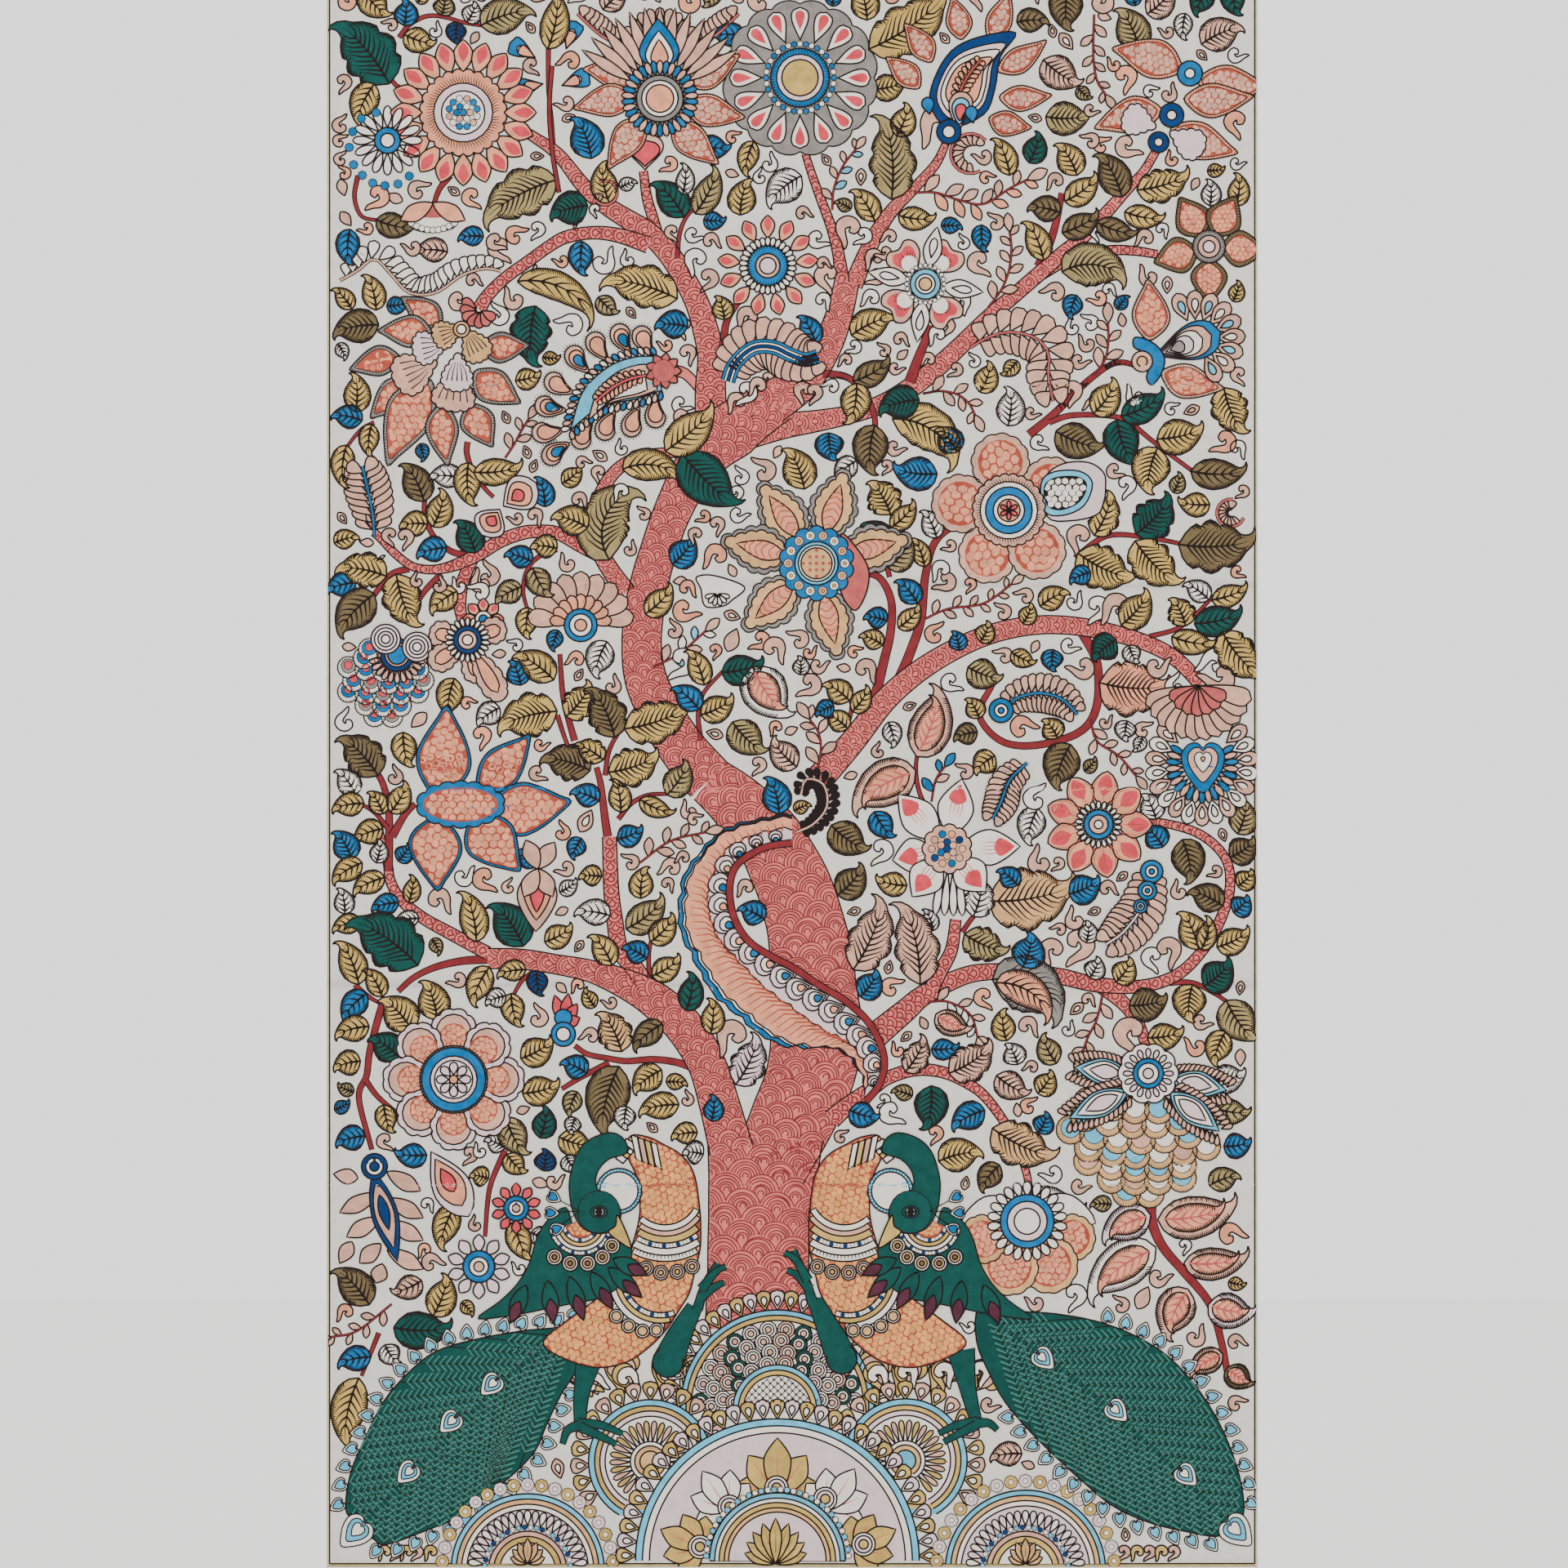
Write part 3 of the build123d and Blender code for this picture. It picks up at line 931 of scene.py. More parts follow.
# Thin stems: middle line and width
TWIGS = [
    ([(-35, 69.9), (-38, 69.7), (-41, 69), (-43.5, 67.8), (-45.3, 66.2)], .9),
    ([(-47, 65), (-47.8, 62.3), (-48.6, 59), (-48.9, 56.5), (-49.8, 54), (-48.3, 48)], .8),
    ([(-49, 56), (-47.5, 54), (-44.5, 51.5)], .6), ([(-21.2, 84), (-21.5, 86), (-22, 90), (-22.5, 92)], .9),
    ([(-25, 95), (-26.3, 100), (-26.7, 105)], .7),
    ([(-10.5, 57), (-13, 58), (-16, 58.4), (-19, 58.2), (-21, 58.5), (-23.5, 59), (-25, 60)], .8),
    ([(-21, 58), (-24, 56.5), (-26.5, 55)], .7), ([(19.5, 73), (21, 75), (23, 76.5), (27, 77.3)], .5),
    ([(41.4, 43), (41.3, 40), (42.5, 37), (45, 34), (48, 30.3), (49.3, 26), (50, 22.5)], 1.1),
    ([(12, 101.5), (13.5, 105), (14.8, 109), (15.3, 114), (16.5, 118), (19.4, 120.3)], 1.1),
    ([(9.4, 99.5), (10.5, 104), (11.3, 107.5), (11.4, 111), (10.2, 113.6), (8.4, 114.4)], 1.1),
    ([(33, 108), (35, 104), (35, 99), (33, 96), (28, 94.5), (24, 95), (21.5, 98), (23, 101.5)], 1),
    ([(-47.5, 27), (-49.5, 22)], .5), ([(-50.3, 67), (-48.5, 65.5), (-47.2, 64.8)], .5),
    ([(-29, 69), (-31, 67.5), (-32.2, 65.5)], .5),
    ([(-16.2, 67.3), (-16.5, 69.5), (-16.2, 72), (-15, 73.3)], .5),
    ([(-20, 86), (-18.5, 87.8), (-16.5, 88.8), (-14, 89), (-12.5, 90)], .5),
    ([(-21.5, 91), (-21, 94), (-19.5, 96.5), (-18, 97.5)], .5),
    ([(-10.5, 95), (-10.8, 98), (-10.2, 100.5), (-8, 103)], .5),
    ([(-33, 48), (-34.5, 44.5), (-35, 42), (-35.3, 38)], .6),
    ([(-45.2, 175.8), (-44, 177.3), (-42, 178.3), (-40, 178.2), (-37.5, 177.5), (-35.5, 177.2)], .5),
    ([(-43.7, 169.7), (-45.5, 170.3), (-46.5, 172), (-47, 173.5)], .5),
    ([(-28, 176), (-28, 170), (-27.6, 166), (-27.3, 162)], .5),
    ([(-49.9, 160), (-50.3, 157.5), (-49.5, 155.3), (-47.5, 154.8)], .5),
    ([(-39.3, 160), (-40.5, 158.5), (-41.2, 156.7)], .7),
    ([(-13.2, 150.5), (-13, 153), (-12.3, 155), (-11, 156.5)], .5),
    ([(-8, 139.5), (-7.6, 143), (-6.5, 145), (-5.6, 146)], .9),
    ([(3.5, 137.2), (5, 137.1), (6.5, 136.7), (8, 135.4), (9, 133.7), (9.5, 132), (9.5, 129)], .8),
    ([(13.5, 136.2), (14.5, 139), (15.3, 141), (15.8, 142.8)], 1.2),
    ([(28.3, 149.5), (29.5, 152), (30.3, 154.5), (31, 158)], 1),
    ([(27.2, 130.2), (30, 132.5), (32.5, 135), (34.5, 136.8), (36.5, 138.2), (38, 138.5), (39.3, 138.2)],
     .9),
    ([(29.5, 131.6), (32, 132.4), (36, 132.4), (38.5, 131.8), (41, 129.8), (44, 127.5), (47, 125.3)], .6),
    ([(-37, 116.3), (-39, 116.7), (-40.8, 118), (-41.9, 119.8), (-42.3, 121.5), (-42.2, 122.8)], .7),
    ([(-40.3, 114.2), (-42, 112.5), (-43, 111), (-43.3, 110)], .7),
    ([(-44, 114.8), (-46, 114.2), (-47.5, 112.5), (-48.5, 111), (-49.5, 108.5)], .7),
    ([(-37.3, 129.4), (-37.4, 128), (-36.6, 125.8), (-35.3, 124), (-34.3, 123)], .6),
    ([(-48, 131.6), (-49.5, 130.8), (-51, 129), (-51.5, 127.8)], .4),
    ([(-27, 117), (-28.7, 116.4), (-29.9, 115.5), (-30.7, 114), (-30.9, 112), (-30.4, 110)], .5)]

# Each leaf: where it springs from, its heading, length and width, and its dye
OCHRE_LEAVES = [
    (-49.8, 21.8, 253, 9, 4.2), (-41.3, 28.9, 65, 5.6, 3.6), (-38.7, 41.6, 245, 6, 3.2),
    (-46.9, 53.2, -80, 3.8, 2.5), (-32.8, 47.5, -50, 3.4, 2.6), (-34.9, 44.7, 165, 2.4, 2.4),
    (-31.9, 39.8, -75, 5.4, 3), (-49.4, 81, 207, 4.6, 2.8), (-46.8, 79.3, 200, 4.6, 2.7),
    (-49.6, 74.2, 190, 3.8, 2.4), (-44.1, 76.4, 75, 3.6, 2.1), (-36.3, 71.9, 98, 6.8, 3.4),
    (-49.8, 67, 108, 6.2, 3.3), (-47.1, 65.6, 115, 4.2, 2.5), (-43.7, 61.8, 128, 5.6, 4.2),
    (-48.6, 62.2, 190, 4.6, 3.1), (-49.6, 58.2, 190, 3.6, 3), (-40.8, 62.9, 102, 5.4, 3.8),
    (-34.8, 69, 240, 5.4, 3.1), (-30.6, 68.7, 185, 3.8, 2.5), (-32.3, 66, -82, 4.5, 2.8),
    (-31.2, 58.5, 25, 4.8, 3.5), (-31, 54.5, 10, 5, 3.5), (-21.9, 79.4, 175, 2.9, 2.5),
    (-20.7, 69.2, 118, 4.8, 3), (-16.3, 71.9, 42, 4.6, 3), (-16.1, 68, 28, 4.4, 2.9),
    (-9.4, 61.3, 82, 4.6, 2.8), (-15, 57.2, 212, 4.6, 3.3), (-13, 53.2, 185, 5.3, 3.2),
    (-10.9, 50, 185, 3.4, 2.6), (-26.8, 49.5, -20, 4.6, 3.2), (-19.7, 86.8, 95, 4.4, 2.7),
    (-17.5, 88.3, -28, 4.8, 2.3), (-10.1, 101.4, 108, 5, 2.8), (-10.5, 98, 22, 4.8, 3.2),
    (-48, 170.5, 240, 5.6, 3.4), (-44.6, 176.2, -22, 4.2, 3), (-28.1, 174.5, 75, 7.5, 3.4),
    (-4.4, 163.9, 250, 4.6, 2.5), (9.3, 169.9, 8, 4.2, 3.2), (12, 164.5, 65, 4.4, 3),
    (9.5, 154.7, 118, 5, 3), (12.2, 155.4, -10, 4.8, 2.8), (25, 160, 105, 5.2, 2.8),
    (31.3, 157, 32, 5.4, 3.1), (38.2, 155.8, -15, 5.2, 2.8), (51, 156.5, 80, 4.2, 2.6),
    (-47.8, 144.5, 100, 4.8, 2.8), (-50.6, 144.6, 125, 3.6, 2.2), (-50.2, 132.8, 85, 5, 3.2),
    (-31.8, 136.4, 10, 3.4, 2.6), (-7.8, 143.4, 100, 3.2, 2.6), (28.9, 150.2, 108, 5.6, 3),
    (34.6, 132.6, 50, 5.2, 3.6), (-48.3, 131.4, -100, 4.2, 2.4), (-51.2, 129, -100, 5.5, 2.8),
    (-37.2, 127, -92, 5.6, 3.2), (-36.6, 125.9, 2, 6.4, 3.2), (-41.3, 119.6, 68, 5, 3.2),
    (-41.9, 119.9, 178, 3.6, 3), (-38.5, 112.2, 212, 4.4, 3), (-27, 117.1, 170, 3.4, 2.8),
    (-30.2, 110.3, -100, 4, 2.6), (-23.5, 119.5, 155, 4.8, 3.6)]
OCHRE_BACK = [
    (-21, 156.8, 105, 5.4, 3.2), (6.8, 141.6, 30, 6, 3.7), (7.4, 136.1, -95, 5.4, 3.6),
]
LOBED_LEAVES = [
    (-43, 69.2, 140, 10.5, 6.2, "green"), (-46.3, 170.5, 125, 10.5, 6.2, "green"),
    (-27, 159.5, 203, 11, 5.4, "olive"), (11.4, 157.2, 90, 11, 5.2, "olive"),
    (-19.6, 59.3, 112, 5.8, 3.9, "sand"), (13, 57, 55, 5.2, 3, "beige"), (18, 56.8, 28, 6.8, 4.2, "beige"),
    (20.8, 74.8, 72, 5.2, 3.5, "cream"), (19.8, 72.8, -28, 6, 3.9, "olive"), (7, 68.7, 62, 10, 5, "beige"),
    (14.7, 67, 97, 11, 5, "beige"), (-26, 97.8, 48, 5.4, 3.6, "ochre"),
    (-20.4, 95.4, 110, 7.2, 4.4, "brown"), (-19.3, 96.4, 14, 9, 4.8, "ochre"),
    (-21.1, 91.4, 14, 6.9, 4.4, "ochre"), (-23.2, 91.6, 160, 6.5, 4.2, "brown"),
    (-21.7, 92.8, 145, 4.2, 2.8, "ochre"), (39.6, 158.3, 12, 7.2, 3.8, "ochre"),
    (-29.5, 145, -98, 7.8, 4.6, "green"), (-13.2, 145.8, 160, 10, 4.8, "ochre"),
    (-46.6, 113.9, 165, 6.6, 4, "ochre"), (-45.5, 114.2, -75, 7.4, 4.4, "ochre"),
    (49.6, 135.6, -72, 6.5, 4.2, "ochre"), (-6.5, 55.5, 60, 7, 4, "mauve"),
    (8.8, 174.5, 30, 12.5, 5.6, "ochre")]
OTHER_LEAVES = [
    (-48.4, 24.2, 187, 4.4, 3, "blue"), (-46.8, 25.6, -60, 3, 2.6, "cream"),
    (-45.8, 27.6, -5, 7.5, 4.4, "green"), (-48.6, 30.2, 128, 6.4, 4, "brown"),
    (-49.1, 49.6, 190, 3.9, 3, "blue"), (-33, 48.2, 150, 2.8, 2.4, "cream"),
    (-32.9, 51.8, -68, 5.6, 3.5, "olive"), (-30, 38.5, -20, 2.4, 2.2, "cream"),
    (-28.6, 45.6, 80, 2.8, 2.6, "navy"), (-51.4, 75.1, 95, 3.4, 2.4, "cream"),
    (-45.2, 76.4, 187, 3.6, 2.5, "blue"), (-42.9, 74.6, 185, 3.2, 2, "cream"),
    (-30.9, 71.4, 120, 6.8, 4.6, "green"), (-48.9, 66, 222, 4.6, 3, "blue"),
    (-45.1, 58.6, 140, 4.6, 3.6, "green"), (-29.3, 68.6, -88, 3.3, 2.5, "navy"),
    (-32.9, 65.7, 195, 2.8, 2.4, "cream"), (-20.9, 74.9, 168, 4.6, 3.1, "cream"),
    (-19.1, 73.4, 33, 6.4, 3.6, "olive"), (-16.7, 70, 148, 3.4, 2.8, "blue"),
    (-12.2, 64, 75, 5, 3, "green"), (-14.9, 62.5, 215, 5, 2.9, "brown"),
    (-23.6, 56.8, 150, 3.6, 2.9, "blue"), (-19.9, 57.6, 250, 9, 5.2, "brown"),
    (-10.2, 47.5, 170, 2.6, 2.8, "cream"), (-9.3, 51.3, 80, 3.4, 2.4, "blue"),
    (-24.9, 51.7, 250, 2.2, 2, "cream"), (-19, 53, -100, 3, 2.6, "cream"),
    (-26, 47.3, -60, 2.4, 2.2, "cream"), (5.2, 77.3, 43, 5, 3.7, "brown"), (7.8, 65.6, 50, 4, 3.2, "blue"),
    (16.2, 73.2, 105, 3, 1.9, "cream"), (25.9, 78.4, 135, 3.2, 2.6, "blue"),
    (16, 59.6, 0, 3.6, 2.5, "blue"), (25.9, 57.8, 110, 3, 2.8, "cream"), (6.6, 52.6, -20, 3.9, 3.1, "blue"),
    (-22.2, 88.1, 155, 3.8, 2.8, "blue"), (-14.4, 88.8, 52, 5, 3.4, "olive"),
    (-20.1, 83.7, 18, 3.6, 2.7, "blue"), (-24.2, 83.8, 240, 2.9, 2.3, "blue"),
    (-10.7, 98.6, 133, 4.4, 3, "blue"), (-8.1, 102.9, 8, 5.6, 3.6, "green"),
    (-1.5, 86.6, 100, 5, 3.4, "blue"), (-44.6, 177.2, 82, 3.4, 2.9, "blue"),
    (-40.3, 178.4, 75, 2.6, 2.6, "olive"), (-37.4, 177.6, 60, 2.8, 2.4, "cream"),
    (-38.5, 177.6, -95, 2.8, 2.4, "navy"), (-47.8, 154.9, -18, 5, 3, "brown"),
    (-5.5, 175.9, 172, 4.2, 2.8, "blue"), (-12.4, 155.2, 125, 6, 3.7, "green"),
    (-12.6, 157.8, 80, 4, 2.2, "cream"), (-11.2, 155.6, 58, 6.6, 3.2, "olive"),
    (-10.8, 163.6, -12, 4.2, 2.9, "blue"), (-10.2, 154.9, -5, 2.9, 2.2, "blue"),
    (-23.5, 156.5, 190, 5, 4, "green"), (39.9, 174.4, 110, 6, 4.1, "olive"),
    (37.9, 157.5, 112, 6.4, 3.8, "brown"), (30.8, 155.7, 165, 4.2, 3.1, "brown"),
    (31, 153.4, 22, 5.4, 3, "brown"), (35, 154.6, -22, 5.4, 2.8, "brown"),
    (48, 156.5, 85, 3.4, 2.4, "cream"), (-50.8, 153.8, -97, 4.6, 2.8, "blue"),
    (-46.6, 145, 5, 2.8, 2.1, "blue"), (-47.5, 142.8, 185, 6, 4, "brown"),
    (-49.4, 131.8, 165, 4, 2.8, "blue"), (-24.1, 152.4, -95, 4.4, 2.9, "blue"),
    (-12, 142.6, 172, 4.2, 3.4, "blue"), (21.8, 154.3, -90, 3.5, 2.3, "blue"),
    (7, 136.3, 25, 5.6, 3, "brown"), (14.6, 134.2, 190, 5.4, 4, "green"),
    (2.7, 140.6, 112, 4.2, 2.7, "blue"), (24.8, 131.2, 82, 5, 3.4, "cream"),
    (32.7, 146.2, -112, 3.1, 2.4, "blue"), (37.8, 132.3, 22, 6.4, 3.4, "green"),
    (-42.3, 122.5, 112, 5.6, 3.6, "brown"), (-38, 125.2, 172, 4.2, 2.8, "cream"),
    (-36.4, 116.6, 112, 4.8, 3.4, "green"), (-39.7, 117.2, 188, 4, 3, "blue"),
    (-28.4, 121.9, 97, 4, 2.6, "blue"), (-50.1, 113.2, 190, 4, 2.9, "blue"),
    (-48, 111.9, 222, 7, 4.4, "brown"), (-29.9, 115.6, 158, 3.6, 2.7, "blue"),
    (-29.8, 114.9, -65, 4.4, 3, "olive"), (-31.1, 112.7, 205, 3.9, 2.8, "olive"),
    (-13.8, 115.3, 45, 4.4, 3.4, "blue")]
# Leaves that bend the other way, some of them far: the same, with the bend at the end
BENT_LEAVES = [
    (-35.8, 177.2, 22, 7, 4.2, "olive", -0.5, 0), (-31.6, 147.8, -12, 12, 3.4, "ochre", -1.4, 0),
    (31, 148.9, 8, 9, 5, "olive", -1.5, 5), (-21, 115.8, 90, 11.5, 6, "olive", -2.2, 6),
    (-19.5, 126.2, 5, 8, 3.8, "ochre", -1.3, 0), (-12.6, 128, -48, 9.6, 5.6, "green", 0.4, 0),
    (-14.6, 128.3, 38, 8.4, 4.4, "ochre", 0.3, 0),
]

RIGHT_LEAVES = [
    (9.5, 131.3, -100, 6.4, 4.2, "brown"), (4.2, 130.4, -85, 3.6, 3.4, "blue"),
    (7.4, 127.2, 215, 3.6, 2.6, "cream"), (19, 128.2, 125, 4, 3.2, "blue"),
    (11.3, 119.5, 40, 4.6, 2.6, "ochre"), (11, 117.3, 130, 4.4, 3.2, "green"),
    (11, 114.9, 45, 4.8, 3.4, "olive"), (16.6, 118.3, 110, 4, 2.6, "cream"),
    (15.2, 115, 105, 4, 2.2, "ochre"), (14.4, 110.8, 125, 4, 2.8, "blue"),
    (10.9, 108.8, 165, 3, 2.6, "blue"), (12.2, 108, 40, 4, 2.4, "ochre"),
    (30.3, 130.6, -25, 6.4, 4.2, "brown"), (37.3, 131.9, -75, 6.2, 4.2, "green"),
    (41.9, 129.7, 8, 6.2, 4.2, "ochre"), (42, 128.7, -108, 6, 4.6, "ochre"),
    (45.8, 126, -5, 7.2, 3.6, "brown"), (34.3, 114.4, 200, 3, 2.4, "blue"),
    (47.9, 111.2, 140, 3.8, 2.6, "cream"), (48.2, 111.2, 15, 5, 2.6, "ochre"),
    (46.2, 108.5, 8, 6.4, 3.6, "green"), (37.8, 108.3, 45, 5.6, 3.8, "ochre"),
    (26.5, 108.5, 60, 2.8, 2.2, "ochre"), (10.4, 106, 150, 3.2, 2.4, "ochre"),
    (.9, 102.6, 85, 2.4, 2, "cream"), (6.6, 99.6, 140, 4, 3, "ochre"), (6.9, 98.4, 50, 3.8, 2.4, "ochre"),
    (4.8, 99, 200, 2.6, 2.2, "blue"), (6.4, 96.4, 140, 3.4, 2.6, "ochre"),
    (23.3, 93.3, 215, 3.4, 3, "ochre"), (21.3, 96, 190, 3.2, 2.6, "brown"),
    (21.5, 97.6, 115, 3, 2.4, "ochre"), (20.2, 103.5, -25, 4.6, 3.6, "olive"),
    (19.2, 105.4, 100, 2.6, 2.2, "blue"), (21.6, 106.4, 60, 2.8, 2.4, "ochre"),
    (25.2, 105.2, -30, 3.4, 2.2, "ochre"), (37.2, 106.6, 215, 3.8, 3.4, "green"),
    (38.7, 106, -70, 2.6, 2.2, "cream"), (38.5, 97.3, -100, 2.6, 2.6, "cream"),
    (30, 105.5, -95, 2.8, 2.6, "blue"), (43.6, 107, -15, 5.8, 3, "ochre"),
    (32, 94.6, -115, 6, 4.4, "brown"), (30.5, 95.3, 120, 3, 2.8, "ochre"),
    (42.6, 82.8, 125, 3.4, 3, "blue"), (41.8, 86, 110, 3.6, 3, "cream"),
    (51.2, 84.3, 70, 4.4, 3.4, "olive"), (50.3, 81.6, 30, 4, 3.4, "brown"),
    (31.8, 77.4, 20, 4.4, 3.6, "blue"), (33.8, 71.8, 80, 2.8, 2.4, "cream"),
    (34.2, 67.8, 60, 2.8, 2.6, "cream"), (37.2, 67.3, 50, 3.6, 3, "ochre"),
    (49.5, 76, 150, 4.8, 3.4, "brown"), (46.7, 71, 108, 5.4, 3.6, "ochre"), (47, 71, 70, 4.4, 2.4, "ochre"),
    (51.2, 78.3, 40, 2.8, 2.6, "ochre"), (50.7, 75.3, 40, 2.8, 2.8, "blue"),
    (48.8, 71.3, 22, 4.8, 3.2, "ochre"), (47.3, 66.8, 38, 4.8, 4, "green"), (38.7, 64.6, 5, 5, 4, "brown"),
    (46, 67, -100, 4.8, 4, "ochre"), (49.9, 65.2, -60, 6.4, 4.4, "olive"),
    (49.8, 61.6, -115, 4.6, 3.2, "ochre"), (40.8, 60.9, 5, 4.8, 3.2, "ochre"),
    (48.3, 56, 8, 4.4, 3.4, "cream"), (28.2, 54.5, 50, 3.4, 2.8, "ochre"), (26.5, 69, 70, 4.5, 4, "blue"),
    (48.6, 52.8, -12, 4.6, 3, "olive"), (49.6, 48.4, 5, 3.6, 3, "blue"), (28.3, 50, 60, 2.8, 2.6, "blue"),
    (27.3, 43.2, -25, 7.4, 3.6, "cream"), (-38.8, 102.2, -105, 5, 3.2, "ochre"),
    (-31.2, 101.4, 105, 3.4, 2.8, "blue"), (-27.4, 102, 140, 6, 3.6, "ochre"),
    (-33.6, 98.8, 210, 3.6, 2.8, "cream"), (-50.2, 88.8, 120, 4, 2.8, "cream"),
    (-49.2, 87.8, 185, 4.2, 2.8, "ochre"), (-47, 86.6, 115, 3.4, 2.4, "ochre"),
    (-46.2, 86.8, 55, 4.4, 2.8, "ochre"), (-47, 84.9, 195, 4, 3, "ochre"),
    (-50.6, 81.4, 115, 4.2, 3.2, "blue"), (-47.8, 81, 75, 3, 2.2, "cream"),
    (-45.3, 81.2, 50, 2.6, 2.2, "blue"), (-44.7, 96, -85, 4.6, 3, "ochre"),
    (-29.3, 80.6, 135, 3.2, 2.6, "blue"), (45.2, 178.6, -100, 3.4, 2.2, "cream"),
    (-16.9, 109.6, 40, 5, 3, "ochre")]
RIGHT_LOBED = [
    (11.3, 121, 115, 5, 4, "ochre"), (34.7, 118.6, 62, 6, 3.4, "ochre"),
    (39.5, 118.8, 42, 6.6, 4.6, "green"), (32.8, 116.6, -30, 8, 5, "ochre"),
    (39.4, 118, -50, 8, 4.8, "ochre"), (44.4, 117.6, -2, 10, 5.8, "brown"),
    (45.2, 108.2, 110, 4, 3.2, "ochre"), (35.3, 101.7, -8, 9, 6.4, "salmon"),
    (49.4, 107.6, -55, 8, 4.4, "ochre"), (22.5, 76.6, 5, 11.5, 7, "sand"), (23, 50.5, -30, 9, 5, "sand"),
    (-27, 98.4, 190, 8, 5, "ochre"), (-47.6, 91, 128, 7, 4.4, "brown")]
BENT_LEAVES += [(11.5, 132, -20, 11, 5, "ochre", -1.5, 5), (23, 67.6, -15, 11, 6.4, "grey", -1.5, 5),
                (23.4, 67.2, -18, 9, 4, "salmon", -1.4, 0)]
ROSE_LEAVES = [
    (41.2, 40.5, 200, 7, 4.2, "mauve"), (42, 40, 5, 10.5, 5, "beige"), (41.8, 36.8, 210, 11, 5.4, "cream"),
    (45, 35, 0, 8.5, 3.8, "beige"), (45.5, 32, 240, 7, 4.6, "beige"), (47.8, 30.2, -15, 6.2, 4.2, "mauve"),
    (49.5, 24.5, 205, 5, 3, "beige"), (50, 23, -40, 4, 3, "brown"), (14.3, 93.2, 66, 9.5, 5, "beige"),
    (14.2, 91.6, 205, 9.6, 5.4, "beige"), (-4.6, 103.5, -60, 8, 5.4, "cream"),
    (16.5, 63.6, -30, 5, 3, "beige")]
TWIGS += [
    ([(11.2, 113.8), (10.8, 116), (11.5, 119), (11.8, 121)], .5), ([(6, 96), (6.8, 98.5), (6.7, 101)], .5),
    ([(16, 86), (14.5, 89.5), (14.3, 93), (15.5, 96)], .5),
    ([(43, 67.2), (46, 67.2), (48.5, 66), (50, 65)], .6),
    ([(32.5, 116), (35, 118), (37, 118.7), (40, 118.5), (44, 117.8), (47, 117)], .6),
    ([(41, 107), (44, 107.8), (46, 109.2), (48, 111.2), (48.8, 112)], .5),
    ([(-46.4, 80), (-46.3, 85), (-46.5, 88), (-47.5, 91), (-50, 93.5)], .9),
    ([(-46.5, 85), (-48, 86.8), (-50, 88)], .5), ([(-46, 84), (-44.6, 86.4), (-43.3, 87.8)], .9),
    ([(-27, 98), (-26, 95), (-25, 93)], .5)]
